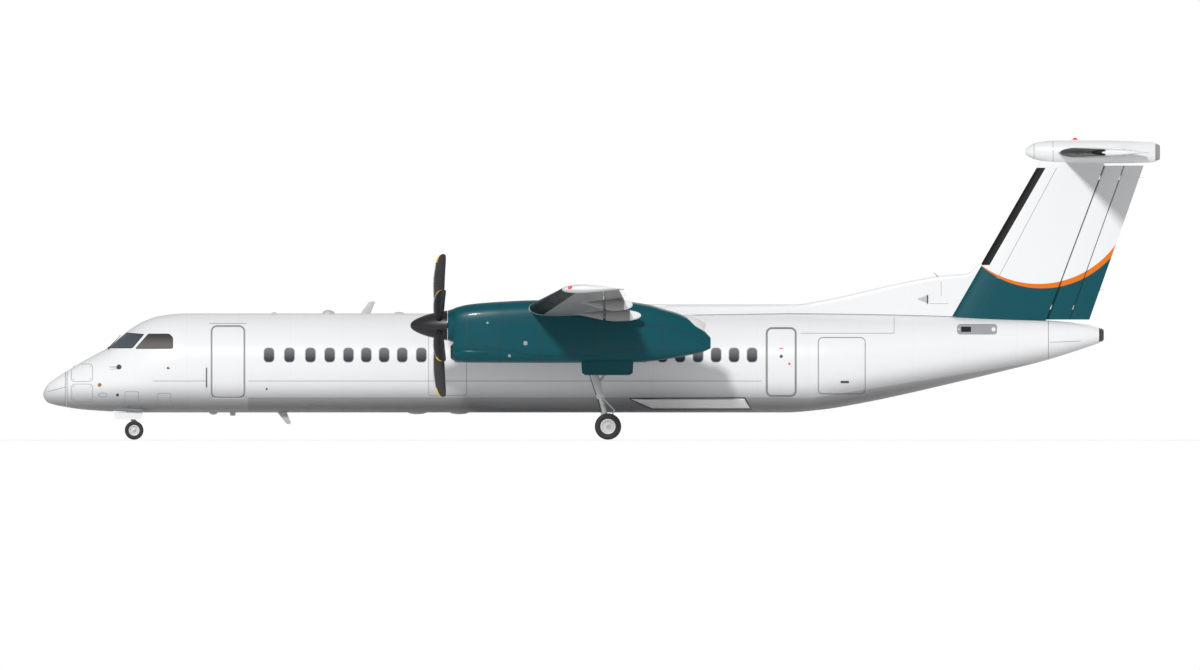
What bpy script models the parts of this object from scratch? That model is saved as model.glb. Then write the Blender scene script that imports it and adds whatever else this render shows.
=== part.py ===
"""High-wing twin-turboprop airliner on its gear. Metres, +X aft, +Y starboard, +Z up, wheels on Z = 0."""
from math import cos, pi, radians, sin, sqrt

import bmesh
import bpy
from mathutils import Matrix, Vector

# Driving dimensions. Stations run aft from the nose, heights run up from the keel line.
LENGTH = 32.81
SPAN = 28.42
NOSE_X = -LENGTH / 2
KEEL = 0.80
SEAT = 0.0003
CLEAR = 0.008
PIN_GAP = 0.0006
SIDES = ((-1, "port"), (1, "starboard"))

# Fuselage sections
# columns: station, top, keel, level of the greatest width, half width
BODY_SIDES = 32
BODY = (
    (0.000, 0.560, 0.510, 0.535, 0.025),
    (0.030, 0.640, 0.425, 0.535, 0.10),
    (0.110, 0.795, 0.312, 0.546, 0.22),
    (0.320, 0.970, 0.230, 0.574, 0.355),
    (0.691, 1.208, 0.156, 0.620, 0.50),
    (1.073, 1.449, 0.097, 0.691, 0.645),
    (1.485, 1.673, 0.062, 0.779, 0.79),
    (1.896, 1.902, 0.035, 0.882, 0.92),
    (2.220, 2.173, 0.018, 0.970, 1.02),
    (2.560, 2.440, 0.007, 1.072, 1.118),
    (2.970, 2.685, 0.000, 1.200, 1.215),
    (3.450, 2.838, 0.000, 1.337, 1.295),
    (4.189, 2.911, 0.000, 1.455, 1.345),
    (21.800, 2.902, 0.000, 1.455, 1.345),
    (22.888, 2.887, 0.085, 1.485, 1.33),
    (24.005, 2.872, 0.268, 1.543, 1.265),
    (25.181, 2.849, 0.509, 1.646, 1.155),
    (26.651, 2.808, 0.847, 1.808, 0.965),
    (28.121, 2.758, 1.197, 1.970, 0.745),
    (29.532, 2.702, 1.555, 2.131, 0.525),
    (30.600, 2.600, 1.895, 2.245, 0.335),
    (31.160, 2.470, 2.090, 2.280, 0.190),
)
RADOME_END = 0.691
TAIL_CONE_START = 29.532

# Windscreen panes in side view: stations and heights of the corners, and the half width of the centre post
FRONT_PANE = ((1.90, 1.885), (2.35, 2.36), (2.98, 2.306), (2.625, 1.885))
SIDE_PANE = ((2.70, 1.87), (3.09, 2.318), (3.71, 2.318), (3.82, 2.206), (3.82, 1.87))
CENTRE_POST = 0.10
PANE = 0.030

# Doors: station of the forward edge, of the aft edge, height of the sill, of the head
AIRSTAIR = (4.969, 5.895, 0.456, 2.520)
AFT_DOOR = (21.271, 22.094, 0.500, 2.465)
BAGGAGE = (22.770, 24.152, 0.545, 2.205)
FORWARD_SERVICE = (4.969, 5.760, 0.480, 2.050)
AFT_SERVICE = (21.271, 22.020, 0.500, 2.050)
DOOR_WALL = 0.07
SHUT_LINE = 0.006
VESTIBULE_WALL = 0.30
AIRSTAIR_OPEN = 120.0
SILL_GAP = 0.010
STEP_DEPTH = 0.25
STEPS = 6
STAIR_WIDTH = 0.66

# Wing, given where the panel meets the nacelle and at the tip
NACELLE_Y = 4.40
WING_LE = 14.195
WING_CHORD = 3.03
WING_H = 3.02
WING_THICK = 0.176
TIP_LE = 15.295
TIP_CHORD = 1.60
TIP_H = 3.645
TIP_THICK = 0.14
WING_REAR = 16.465
TIP_Y = SPAN / 2
CAMBER = 0.010
FLAP_IN = (1.25, 3.715)
FLAP_OUT = (5.085, 10.56)
AILERON = (10.60, 13.72)
FLAP_DROP = 0.17
LUG_HALF = 0.022
EYE_R = 0.031
# Flap fairings, columns: distance behind the wing's rear face, half width, low and high from the wing's underside.
# Their lengths hold at the root chord and shrink with it, apart from the ends that face each other.
CANOE_FRONT = (
    (-0.92, 0.020, -0.010, 0.030),
    (-0.62, 0.078, -0.075, 0.040),
    (-0.30, 0.106, -0.175, 0.045),
    (-0.045, 0.114, -0.255, 0.050),
)
CANOE_BACK = (
    (0.060, 0.112, -0.272, 0.055),
    (0.38, 0.110, -0.300, 0.070),
    (0.70, 0.098, -0.290, 0.045),
    (0.95, 0.078, -0.255, 0.000),
    (1.10, 0.050, -0.205, -0.045),
    (1.16, 0.020, -0.160, -0.090),
)
CANOE_JOIN = 0.1
SPOILER = (5.75, 8.60)
SPOILER_CHORD = 0.42
SPOILER_THICK = 0.030

# Nacelle sections
# columns: station, top, bottom, half width
NACELLE_SIDES = 24
PIN_SIDES = 20
NACELLE_ROUND = 4.0
NACELLE = (
    (12.050, 3.060, 1.535, 0.500),
    (12.127, 3.084, 1.500, 0.530),
    (12.451, 3.166, 1.467, 0.590),
    (12.921, 3.219, 1.464, 0.630),
    (13.421, 3.255, 1.461, 0.648),
    (14.303, 3.296, 1.458, 0.650),
    (15.185, 3.307, 1.458, 0.650),
    (16.361, 3.296, 1.458, 0.650),
    (17.243, 3.249, 1.467, 0.640),
    (17.831, 3.160, 1.505, 0.600),
    (18.242, 3.037, 1.555, 0.550),
    (18.683, 2.905, 1.626, 0.470),
    (19.007, 2.740, 1.690, 0.390),
    (19.330, 2.500, 1.758, 0.290),
    (19.610, 2.202, 1.885, 0.160),
)
COWL_END = 14.600
PROP_H = 2.557
PROP_STATION = 11.642
SPINNER_BASE = 11.877
SPINNER_R = 0.44
# columns: station, inner radius
SPINNER_BORE = ((11.36, 0.308), (11.60, 0.360), (11.977, 0.415))
BLADE_R = 2.10
BLADES = 6
SHAFT_R = 0.08
ENGINE = (12.42, 14.86, 2.06, 2.86, 0.33)
BAY = (12.40, 14.95, 2.02, 2.92, 0.40)
INTAKE_H = 1.775
INTAKE_HALF = (0.30, 0.165)
NOZZLE = ((18.35, 2.72), (19.43, 2.43))
NOZZLE_R = 0.20
NOZZLE_SIDES = 24
NOZZLE_GAP = 0.001
# How far the nozzle's seat runs on past it, as a share of its length
NOZZLE_SEAT_SHARE = 0.435
THROAT_R = 0.185
THROAT_DEPTH = 0.45
BACK_PLATE = (11.80, 11.86)

# Landing gear
MAIN_STATION = 16.595
MAIN_PIVOT = (16.05, 1.76)
MAIN_R = 0.395
MAIN_W = 0.25
MAIN_TWIN = 0.235
NOSE_STATION = 2.645
NOSE_R = 0.28
NOSE_W = 0.165
NOSE_TWIN = 0.155
WHEEL_SIDES = 20
MAIN_WELL = (15.80, 17.35, 2.30, 0.34)
NOSE_WELL = (2.05, 2.95, 0.52, 0.20)

# Jacking pads: stations, radius, and how far they stand out
NOSE_JACK = 3.55
NACELLE_JACK = 15.30
NACELLE_FLOOR = 1.458
PAD_R = 0.055
PAD_PROUD = 0.012

# Tail
FIN_TOP = 7.256
FIN_LE = ((26.54, 2.60), (29.25, 7.30))
RUDDER_HINGE = ((29.600, 2.73), (31.269, 7.256))
TRAIL_HINGE = ((30.205, 2.73), (31.807, 7.256))
RUDDER_TE = ((30.735, 2.73), (32.331, 7.256))
FIN_HALF = (0.118, 0.089)
TRAIL_HALF = (0.062, 0.047)
TAIL_H = 7.638
TAIL_SPAN = 9.27
TAIL_LE = (29.749, 30.826)
TAIL_TE = 32.370
TAIL_THICK = 0.12
TAIL_HINGE = 0.70
ELEVATOR = (0.46, 4.44)
# columns: station, top, bottom, half width
BEACON = (30.314, 7.96)
# columns: height above the beacon's foot, radius
BEACON_RINGS = ((0.0, 0.105), (0.045, 0.095), (0.075, 0.065), (0.100, 0.050), (0.120, 0.020))
BULLET = (
    (28.860, 7.690, 7.620, 0.035),
    (28.950, 7.810, 7.520, 0.130),
    (29.200, 7.930, 7.420, 0.230),
    (29.670, 7.985, 7.345, 0.300),
    (30.400, 7.990, 7.318, 0.330),
    (31.400, 7.985, 7.318, 0.320),
    (32.200, 7.960, 7.330, 0.250),
    (32.600, 7.940, 7.350, 0.180),
    (32.810, 7.880, 7.410, 0.110),
)
# columns: station, half width, top
WING_FAIRING = (
    (13.30, 0.25, 2.93),
    (13.70, 0.62, 3.03),
    (14.20, 0.95, 3.14),
    (14.80, 1.12, 3.20),
    (16.60, 1.12, 3.195),
    (17.30, 0.92, 3.19),
    (17.90, 0.60, 3.18),
    (18.30, 0.42, 3.173),
)
DORSAL = (
    (18.30, 0.42, 3.173),
    (20.50, 0.30, 3.173),
    (22.15, 0.17, 3.178),
    (22.70, 0.13, 3.260),
    (26.50, 0.10, 4.030),
    (27.18, 0.09, 4.085),
    (27.52, 0.08, 4.370),
    (27.90, 0.07, 4.370),
)
BELLY_FAIRING = ((17.26, 0.397), (17.89, 0.118), (20.77, 0.118), (20.60, 0.412))

# Colours: base colour, roughness, metallic
PAINTS = {
    "white_paint": ((0.86, 0.87, 0.88), 0.30, 0.0),
    "teal_paint": ((0.015, 0.09, 0.12), 0.30, 0.0),
    "wing_grey": ((0.55, 0.57, 0.60), 0.40, 0.0),
    "glazing": ((0.10, 0.12, 0.15), 0.10, 0.0),
    "propeller_black": ((0.03, 0.03, 0.035), 0.35, 0.0),
    "bare_metal": ((0.55, 0.55, 0.56), 0.35, 1.0),
    "gear_grey": ((0.62, 0.63, 0.64), 0.45, 0.2),
    "tyre_rubber": ((0.03, 0.03, 0.03), 0.85, 0.0),
    "engine_grey": ((0.35, 0.36, 0.38), 0.50, 0.6),
    "stair_grey": ((0.70, 0.71, 0.72), 0.50, 0.0),
}


def clear_scene():
    """Start from an empty file."""
    for item in list(bpy.data.objects):
        bpy.data.objects.remove(item, do_unlink=True)


def paint(name):
    """The named material, made once."""
    found = bpy.data.materials.get(name)
    if found:
        return found
    colour, roughness, metallic = PAINTS[name]
    made = bpy.data.materials.new(name)
    made.use_nodes = True
    shader = made.node_tree.nodes["Principled BSDF"]
    shader.inputs["Base Color"].default_value = (*colour, 1.0)
    shader.inputs["Roughness"].default_value = roughness
    shader.inputs["Metallic"].default_value = metallic
    made.diffuse_color = (*colour, 1.0)
    return made


def point(station, height, y=0.0):
    """A point from its station, its height over the keel line and its side position."""
    return Vector((NOSE_X + station, y, KEEL + height))


def make(name, bm, material, smooth=35.0):
    """Turn a bmesh into a named object with its faces pointing out."""
    bmesh.ops.recalc_face_normals(bm, faces=bm.faces[:])
    mesh = bpy.data.meshes.new(name)
    bm.to_mesh(mesh)
    bm.free()
    made = bpy.data.objects.new(name, mesh)
    bpy.context.scene.collection.objects.link(made)
    mesh.materials.append(paint(material))
    if smooth:
        mesh.shade_smooth()
        mesh.set_sharp_from_angle(angle=radians(smooth))
    return made


def loft(name, rings, material, smooth=35.0, warped=False):
    """Skin equal rings of points: lay down the first, extrude each next one to its place, close both ends.

    A warped skin is split into flat triangles first, so that cuts at any place agree with each other.
    """
    bm = bmesh.new()
    count = len(rings[0])
    row = [bm.verts.new(p) for p in rings[0]]
    edges = [bm.edges.new((row[i], row[(i + 1) % count])) for i in range(count)]
    first = row
    for ring in rings[1:]:
        grown = bmesh.ops.extrude_edge_only(bm, edges=edges)["geom"]
        fresh = {v for v in grown if isinstance(v, bmesh.types.BMVert)}
        row = [next(e.other_vert(v) for e in v.link_edges if e.other_vert(v) in fresh) for v in row]
        for vert, place in zip(row, ring):
            vert.co = place
        edges = [bm.edges.get((row[i], row[(i + 1) % count])) for i in range(count)]
    if warped:
        bmesh.ops.triangulate(bm, faces=bm.faces[:], quad_method="FIXED")
    bm.faces.new(first)
    bm.faces.new(row)
    return make(name, bm, material, smooth)


def box(name, low, high, material="bare_metal"):
    """A box between two corners."""
    bm = bmesh.new()
    size = Vector(high) - Vector(low)
    middle = (Vector(high) + Vector(low)) / 2
    grow = Matrix.Translation(middle) @ Matrix.Diagonal((*size, 1.0))
    bmesh.ops.create_cube(bm, size=1.0, matrix=grow)
    return make(name, bm, material, 0.0)


def ring_round(centre, axis, forward, radius, sides):
    """Points on a circle about an axis, the first one lying towards forward."""
    axis = Vector(axis).normalized()
    start = Vector(forward) - axis * Vector(forward).dot(axis)
    if start.length < 0.01:
        start = Vector((0, 0, 1)) - axis * axis.z
    start.normalize()
    across = axis.cross(start)
    turns = [2 * pi * k / sides for k in range(sides)]
    return [Vector(centre) + radius * (cos(t) * start + sin(t) * across) for t in turns]


def rod(name, start, end, radius, sides=16, material="gear_grey", end_radius=None, forward=(1, 0, 0)):
    """A round bar between two points, tapered if it has an end radius."""
    start, end = Vector(start), Vector(end)
    axis = end - start
    last = radius if end_radius is None else end_radius
    rings = [ring_round(start, axis, forward, radius, sides), ring_round(end, axis, forward, last, sides)]
    return loft(name, rings, material)


def prism(name, outline, y_low, y_high, material="bare_metal"):
    """A side-view outline, as stations and heights, extruded across."""
    rings = [[point(s, h, y) for s, h in outline] for y in (y_low, y_high)]
    return loft(name, rings, material, 0.0)


def closed(mesh):
    """Whether every edge of a mesh, cut into triangles, has exactly two faces."""
    bm = bmesh.new()
    bm.from_mesh(mesh)
    bmesh.ops.triangulate(bm, faces=bm.faces[:])
    whole = len(bm.faces) > 0 and all(len(edge.link_faces) == 2 for edge in bm.edges)
    bm.free()
    return whole


def boolean(target, others, operation):
    """Cut, join or keep the overlap with other solids, which are used up."""
    for other in others:
        step = target.modifiers.new("form", "BOOLEAN")
        step.operation = operation
        step.object = other
        for solver in ("EXACT", "MANIFOLD"):
            step.solver = solver
            bpy.context.view_layer.update()
            shaped = target.evaluated_get(bpy.context.evaluated_depsgraph_get())
            mesh = bpy.data.meshes.new_from_object(shaped)
            if closed(mesh):
                break
        old = target.data
        target.modifiers.clear()
        target.data = mesh
        mesh.name = target.name
        bpy.data.meshes.remove(old)
        bpy.data.objects.remove(other, do_unlink=True)
    return target


def cut(target, *others):
    return boolean(target, others, "DIFFERENCE")


def fuse(target, *others):
    return boolean(target, others, "UNION")


def keep(target, *others):
    return boolean(target, others, "INTERSECT")


def tidy(target, smooth=35.0):
    """Shade the round faces smooth after the cuts."""
    target.data.shade_smooth()
    target.data.set_sharp_from_angle(angle=radians(smooth))
    return target


def hang_on(target, axis_point):
    """Put a moving piece's origin on its joint's axis, with the piece where it was."""
    axis_point = Vector(axis_point)
    target.data.transform(Matrix.Translation(-axis_point))
    target.location = axis_point
    return target


# Fuselage

def body_section(station):
    """Top, keel, level and half width of the fuselage at a station."""
    for low, high in zip(BODY, BODY[1:]):
        if station <= high[0]:
            share = (station - low[0]) / (high[0] - low[0])
            return [a + (b - a) * share for a, b in zip(low[1:], high[1:])]
    return list(BODY[-1][1:])


def body_ring(station, grow=0.0):
    """One fuselage ring: two half ellipses that meet at the greatest width."""
    top, keel_line, level, half = body_section(station)
    ring = []
    for k in range(BODY_SIDES):
        turn = 2 * pi * k / BODY_SIDES
        rise = top - level if sin(turn) > 0 else level - keel_line
        ring.append(point(station, level + (rise + grow) * sin(turn), (half + grow) * cos(turn)))
    return ring


def body_loft(name, start, end, grow=0.0, material="white_paint"):
    """The fuselage skin between two stations, grown or shrunk."""
    inner = [row[0] for row in BODY if start + 0.001 < row[0] < end - 0.001]
    return loft(name, [body_ring(s, grow) for s in (start, *inner, end)], material, warped=True)


def skin_side(height, station, side, grow=0.0):
    """Side position of the skin at a height."""
    top, keel_line, level, half = body_section(station)
    rise = top - level if height > level else level - keel_line
    return side * (half + grow) * sqrt(max(0.0, 1 - ((height - level) / (rise + grow)) ** 2))


def door_box(name, door, side, spread, depth=0.0):
    """A block that passes through the skin at a door, on one side."""
    fore, aft, sill, head = door
    near, far = sorted((side * depth, side * 1.8))
    low = point(fore - spread, sill - spread, near)
    high = point(aft + spread, head + spread, far)
    return box(name, low, high)


def patch(name, shape, start, end, outer, inner, material):
    """A piece of skin: what a block keeps of the shell between two grown skins."""
    piece = body_loft(name, start, end, outer, material)
    core = body_loft("core", start, end, inner)
    keep(piece, shape)
    return cut(piece, core)


def pocket(shape, start, end, depth):
    """The cutter for a recess that follows the skin at a depth."""
    core = body_loft("core", start, end, -depth)
    return cut(shape, core)


def build_fuselage():
    """Radome, fuselage with its recesses, tail cone, windscreen panes, doors and belly fairings."""
    radome = body_loft("radome", 0.0, RADOME_END - SEAT)
    tidy(radome)
    tail_cone = body_loft("tail_cone", TAIL_CONE_START + SEAT, BODY[-1][0])
    tidy(tail_cone)
    fuselage = body_loft("fuselage", RADOME_END, TAIL_CONE_START)

    doors = (
        ("aft_passenger_door", AFT_DOOR, -1),
        ("baggage_door", BAGGAGE, -1),
        ("forward_service_door", FORWARD_SERVICE, 1),
        ("aft_service_door", AFT_SERVICE, 1),
    )
    for name, door, side in doors:
        start, end = door[0] - 0.4, door[1] + 0.4
        panel = patch(name, door_box("block", door, side, 0.0), start, end, 0.0, -DOOR_WALL, "white_paint")
        tidy(panel)
        recess = door_box("recess", door, side, SHUT_LINE)
        cut(fuselage, pocket(recess, start, end, DOOR_WALL + SEAT))

    panes = (("windscreen", FRONT_PANE, CENTRE_POST), ("side_window", SIDE_PANE, 0.3))
    for name, outline, inner_y in panes:
        for side, tag in SIDES:
            near, far = sorted((side * inner_y, side * 1.6))
            start, end = outline[0][0] - 0.15, max(s for s, h in outline) + 0.15
            block = prism("block", outline, near, far)
            glass = patch(f"{name}_{tag}", block, start, end, 0.0, -PANE, "glazing")
            tidy(glass, 20.0)
            middle = Vector((sum(s for s, h in outline), sum(h for s, h in outline))) / len(outline)
            wide = []
            for s, h in outline:
                away = (Vector((s, h)) - middle).normalized() * SHUT_LINE
                wide.append((s + away.x, h + away.y))
            near, far = sorted((side * (inner_y - SHUT_LINE), side * 1.6))
            hole = prism("hole", wide, near, far)
            cut(fuselage, pocket(hole, start, end, PANE + SEAT))

    fore, aft, sill, head = AIRSTAIR
    lobby_low = point(fore - CLEAR, sill - CLEAR, -1.8)
    lobby_high = point(aft + CLEAR, head + 0.012, -VESTIBULE_WALL)
    cut(fuselage, box("lobby", lobby_low, lobby_high))
    fore, aft, depth, half = NOSE_WELL
    cut(fuselage, box("well", point(fore, -0.3, -half), point(aft, depth, half)))
    jack_pad(fuselage, NOSE_JACK, 0.0, 0.0)

    for side, tag in SIDES:
        near, far = sorted((side * 0.2, side * 1.6))
        block = prism("block", BELLY_FAIRING, near, far)
        start, end = BELLY_FAIRING[0][0] - 0.1, BELLY_FAIRING[2][0] + 0.1
        tidy(patch(f"belly_fairing_{tag}", block, start, end, 0.05, SEAT, "white_paint"))
    return fuselage


def airstair_axis():
    """The airstair door's hinge, on its sill just inside the skin."""
    sill = AIRSTAIR[2]
    return point((AIRSTAIR[0] + AIRSTAIR[1]) / 2, sill + 0.022, skin_side(sill, AIRSTAIR[0], -1) + 0.022)


def jack_pad(target, station, y, level):
    """A round jacking pad with a flat face, a little proud of the skin."""
    top, low = point(station, level + 0.10, y), point(station, level - PAD_PROUD, y)
    fuse(target, rod("pad", top, low, PAD_R, 16))


def build_airstair(fuselage):
    """The door with its flight of steps, turning on two pins in the jambs."""
    fore, aft, sill, head = AIRSTAIR
    start, end = fore - 0.4, aft + 0.4
    block = door_box("block", AIRSTAIR, -1, 0.0)
    door = patch("airstair_door", block, start, end, 0.0, -DOOR_WALL, "white_paint")
    hinge = airstair_axis()
    slope = radians(AIRSTAIR_OPEN)
    tread = Vector((0.0, -cos(slope), sin(slope))) * STEP_DEPTH
    along = STEP_DEPTH / cos(radians(AIRSTAIR_OPEN - 90))
    base = Vector((0.0, hinge.y + 0.045, hinge.z + 0.075))
    teeth = []
    for k in range(STEPS):
        foot = base + Vector((0.0, 0.0, along * k))
        teeth.append(foot)
        teeth.append(foot + tread)
    top = base + Vector((0.0, 0.0, along * STEPS))
    outline = teeth + [top, Vector((0.0, -1.6, top.z)), Vector((0.0, -1.6, base.z))]
    middle = hinge.x
    rings = []
    for x in (middle - STAIR_WIDTH / 2, middle + STAIR_WIDTH / 2):
        rings.append([Vector((x, p.y, p.z)) for p in outline])
    stair = loft("stair", rings, "stair_grey", 0.0)
    keep(stair, body_loft("limit", start, end, -DOOR_WALL / 2))
    fuse(door, stair)
    for end_station, sign in ((fore, -1), (aft, 1)):
        inner = Vector((NOSE_X + end_station - sign * 0.06, hinge.y, hinge.z))
        outer = Vector((NOSE_X + end_station + sign * 0.05, hinge.y, hinge.z))
        fuse(door, rod("pin", inner, outer, 0.018, PIN_SIDES, forward=(0, 0, 1)))
        deep = Vector((outer.x + sign * 0.02, hinge.y, hinge.z))
        bore = (0.018 + PIN_GAP / 2) / cos(pi / PIN_SIDES)
        cut(fuselage, rod("bore", inner, deep, bore, PIN_SIDES, forward=(0, 0, 1)))
    cut(fuselage, sill_relief(hinge, fore, aft, slope))
    tidy(door)
    return hang_on(door, hinge)


def sill_relief(hinge, fore, aft, slope):
    """The wedge of the sill's outer edge that the open door's outer face lies in."""
    low, high = on_skin(fore, AIRSTAIR[2]), on_skin(fore, AIRSTAIR[2] + 0.05)
    turn = Matrix.Rotation(slope, 3, "X")
    face = (turn @ (high - low)).normalized()
    start = hinge + turn @ (low - hinge) + Vector((0, -face.z, face.y)) * SILL_GAP
    top = start - face * 0.02
    foot = start + face * 0.20
    rings = []
    for station in (fore - CLEAR, aft + CLEAR):
        x = NOSE_X + station
        outer = top.y - 0.40
        rings.append([Vector((x, y, z)) for y, z in (
            (top.y, top.z), (outer, top.z), (outer, foot.z), (foot.y, foot.z))])
    return loft("relief", rings, "white_paint", 0.0)


def on_skin(station, height):
    """A point on the port skin."""
    return point(station, height, skin_side(height, station, -1))


# Wing

def thickness(share, thick):
    """Half thickness of the section as a share of the chord."""
    terms = 0.2969 * sqrt(share) - 0.1260 * share - 0.3516 * share**2 + 0.2843 * share**3 - 0.1015 * share**4
    return 5 * thick * max(terms, 0.0)


def camber(share):
    """Height of the mean line, greatest at two fifths of the chord."""
    if share < 0.4:
        return CAMBER / 0.16 * (0.8 * share - share**2)
    return CAMBER / 0.36 * (0.2 + 0.8 * share - share**2)


CHORDWISE = (0.0, 0.006, 0.025, 0.07, 0.15, 0.28, 0.42, 0.58, 0.75, 0.88, 1.0)


def aerofoil(chord, thick, bend=1.0, end=1.0):
    """Section as pairs along the chord and up, from the tail over the top and back underneath."""
    shares = [s for s in CHORDWISE if s < end - 0.01] + [end]
    upper = [(s * chord, (bend * camber(s) + thickness(s, thick) + 0.0015) * chord) for s in shares]
    lower = [(s * chord, (bend * camber(s) - thickness(s, thick) - 0.0015) * chord) for s in shares]
    return list(reversed(upper)) + lower


def wing_at(y):
    """Leading edge, chord, height and thickness of the wing at a side position."""
    share = max(0.0, (abs(y) - NACELLE_Y) / (TIP_Y - NACELLE_Y))
    mix = [a + (b - a) * share for a, b in (
        (WING_LE, TIP_LE), (WING_CHORD, TIP_CHORD), (WING_H, TIP_H), (WING_THICK, TIP_THICK))]
    return mix


def wing_ring(y, shrink=1.0, grow=0.0):
    """One ring of the wing."""
    lead, chord, height, thick = wing_at(y)
    ring = []
    for x, z in aerofoil(chord * shrink, thick * shrink):
        out_x = grow if x > chord * shrink / 2 else -grow
        out_z = grow if z > 0 else -grow
        ring.append(point(lead + chord * (1 - shrink) * 0.5 + x + out_x, height + z + out_z, y))
    return ring


def wing_skin(station, y, upper=True):
    """Height of the wing's skin at a station and side position."""
    lead, chord, height, thick = wing_at(y)
    share = (station - lead) / chord
    lift = thickness(share, thick) + 0.0015
    return height + chord * (camber(share) + (lift if upper else -lift))


def surface(name, ends, material, discs=(), wall=CLEAR, lean=1.0):
    """A hinged surface: round nose about the hinge line, straight sides to a thin tail.

    Each end gives the hinge point, the tail point and the nose radius. discs are shares of the span
    where a hinge fitting reaches the wall ahead; lean is the cosine of that wall's sweep.
    """
    rings = []
    nose_steps = 6
    for hinge, tail, radius in ends:
        aft = (Vector(tail) - Vector(hinge)).normalized()
        span = (Vector(ends[1][0]) - Vector(ends[0][0])).normalized()
        lift = aft.cross(span).normalized()
        ring = [Vector(tail) + lift * 0.004]
        for k in range(nose_steps + 1):
            turn = pi / 2 + pi * k / nose_steps
            ring.append(Vector(hinge) + radius * (cos(turn) * aft + sin(turn) * lift))
        ring.append(Vector(tail) - lift * 0.004)
        rings.append(ring)
    piece = loft(name, rings, material)
    (hinge_a, tail_a, radius_a), (hinge_b, tail_b, radius_b) = ends
    span = Vector(hinge_b) - Vector(hinge_a)
    for share in discs:
        centre = Vector(hinge_a) + span * share
        radius = (radius_a + (radius_b - radius_a) * share + wall) * lean - PIN_GAP
        half = span.normalized() * 0.010
        forward = Vector(hinge_a) - Vector(tail_a)
        fuse(piece, rod("disc", centre - half, centre + half, radius, 24, forward=forward))
    return piece


def wing_hinge(y, side, gap):
    """Hinge point, tail point and nose radius of a plain surface behind the wing's rear face."""
    lead, chord, height, thick = wing_at(y)
    share = (WING_REAR - lead) / chord
    radius = chord * thickness(share, thick) * 0.97
    level = height + chord * camber(share)
    hinge = point(WING_REAR + gap + radius, level, side * y)
    tail = point(lead + chord, height, side * y)
    return hinge, tail, radius


def flap_axis(y_span, side):
    """Two points on a flap's hinge line, below the wing's rear edge."""
    ends = []
    for y in y_span:
        ends.append(point(WING_REAR + 0.004, wing_skin(WING_REAR, y, False) - FLAP_DROP, side * y))
    return ends


def canoe(name, y, side, rows):
    """A flap fairing half, hung below the wing."""
    scale = wing_at(y)[1] / WING_CHORD
    rings = []
    for behind, half, low, high in rows:
        station = WING_REAR + (behind if abs(behind) < CANOE_JOIN else behind * scale)
        skin = wing_skin(min(station, WING_REAR), y, False)
        mid, rise = skin + (low + high) / 2, (high - low) / 2
        ring = ring_round((0, 0, 0), (1, 0, 0), (0, 1, 0), 1.0, 10)
        rings.append([point(station, mid + p.z * rise, side * y + p.y * half) for p in ring])
    return loft(name, rings, "wing_grey", warped=True)


def flap_carriers(y_span):
    """Side positions of the fairings that carry a flap."""
    width = y_span[1] - y_span[0]
    if width < 3:
        return (y_span[0] + width / 2,)
    return (y_span[0] + 0.45, y_span[1] - 0.65)


def build_flap(name, y_span, side, wing):
    """A slotted flap on drop hinges: the fairings' front halves join the wing, the rear halves the flap."""
    ends = []
    for y in y_span:
        hinge, tail, radius = wing_hinge(y, side, 0.014)
        ends.append((hinge, tail, radius * 0.99))
    flap = surface(name, ends, "wing_grey")
    axis = flap_axis(y_span, side)
    across = (axis[1] - axis[0]).normalized() * side
    rise = Vector((1, 0, 0)).cross(across)
    for y in flap_carriers(y_span):
        share = (y - y_span[0]) / (y_span[1] - y_span[0])
        centre = axis[0] + (axis[1] - axis[0]) * share
        fuse(wing, canoe("front", y, side, CANOE_FRONT))
        for owner, hand, reach in ((wing, -1, -0.10), (flap, 1, 0.12)):
            rings = []
            for aside in (0.002, 0.026):
                middle = centre + across * hand * aside
                rings.append([middle + Vector((x, 0, 0)) + rise * z for x, z in (
                    (0, -LUG_HALF), (reach, -LUG_HALF), (reach, LUG_HALF), (0, LUG_HALF))])
            fuse(owner, loft("lug", rings, "wing_grey", 0.0))
            start = centre + across * hand * 0.0004
            fuse(owner, rod("eye", start, centre + across * hand * 0.028, EYE_R, 12))
        fuse(flap, canoe("back", y, side, CANOE_BACK))
    tidy(flap)
    return hang_on(flap, (axis[0] + axis[1]) / 2)


def spoiler_ends(side):
    """Hinge point, tail point and nose radius at both ends of the spoiler."""
    ends = []
    for y in SPOILER:
        front = WING_REAR - 0.03 - SPOILER_CHORD
        back = WING_REAR - 0.03
        hinge = point(front, wing_skin(front, y) - SPOILER_THICK / 2, side * y)
        tail = point(back, wing_skin(back, y) - SPOILER_THICK / 2, side * y)
        ends.append((hinge, tail, SPOILER_THICK / 2))
    return ends


def build_spoiler(name, side, wing):
    """A lift panel in the top of the wing, hinged at its front edge."""
    ends = spoiler_ends(side)
    span = (ends[1][0] - ends[0][0]).normalized()
    panel_rings, recess_rings = [], []
    for index, (hinge, tail, radius) in enumerate(ends):
        aft = (tail - hinge).normalized()
        lift = Vector((0, 0, 1))
        ring = [tail + lift * radius]
        for k in range(7):
            turn = pi / 2 + pi * k / 6
            ring.append(hinge + radius * (cos(turn) * aft + sin(turn) * lift))
        ring.append(tail - lift * radius)
        panel_rings.append(ring)
        out = span * (SHUT_LINE if index else -SHUT_LINE)
        front = hinge - aft * (radius + SHUT_LINE) + out
        back = tail + aft * SHUT_LINE + out
        under = lift * (radius + SHUT_LINE)
        recess_rings.append([front - under, back - under, back + lift * 0.25, front + lift * 0.25])
    panel = loft(name, panel_rings, "wing_grey")
    cut(wing, loft("recess", recess_rings, "wing_grey", 0.0))
    for share in (0.12, 0.88):
        centre = ends[0][0] + (ends[1][0] - ends[0][0]) * share
        radius = SPOILER_THICK / 2 + SHUT_LINE - PIN_GAP
        fuse(panel, rod("disc", centre - span * 0.01, centre + span * 0.01, radius, 24, forward=(0, 0, -1)))
    tidy(panel)
    return hang_on(panel, (ends[0][0] + ends[1][0]) / 2)


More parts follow.
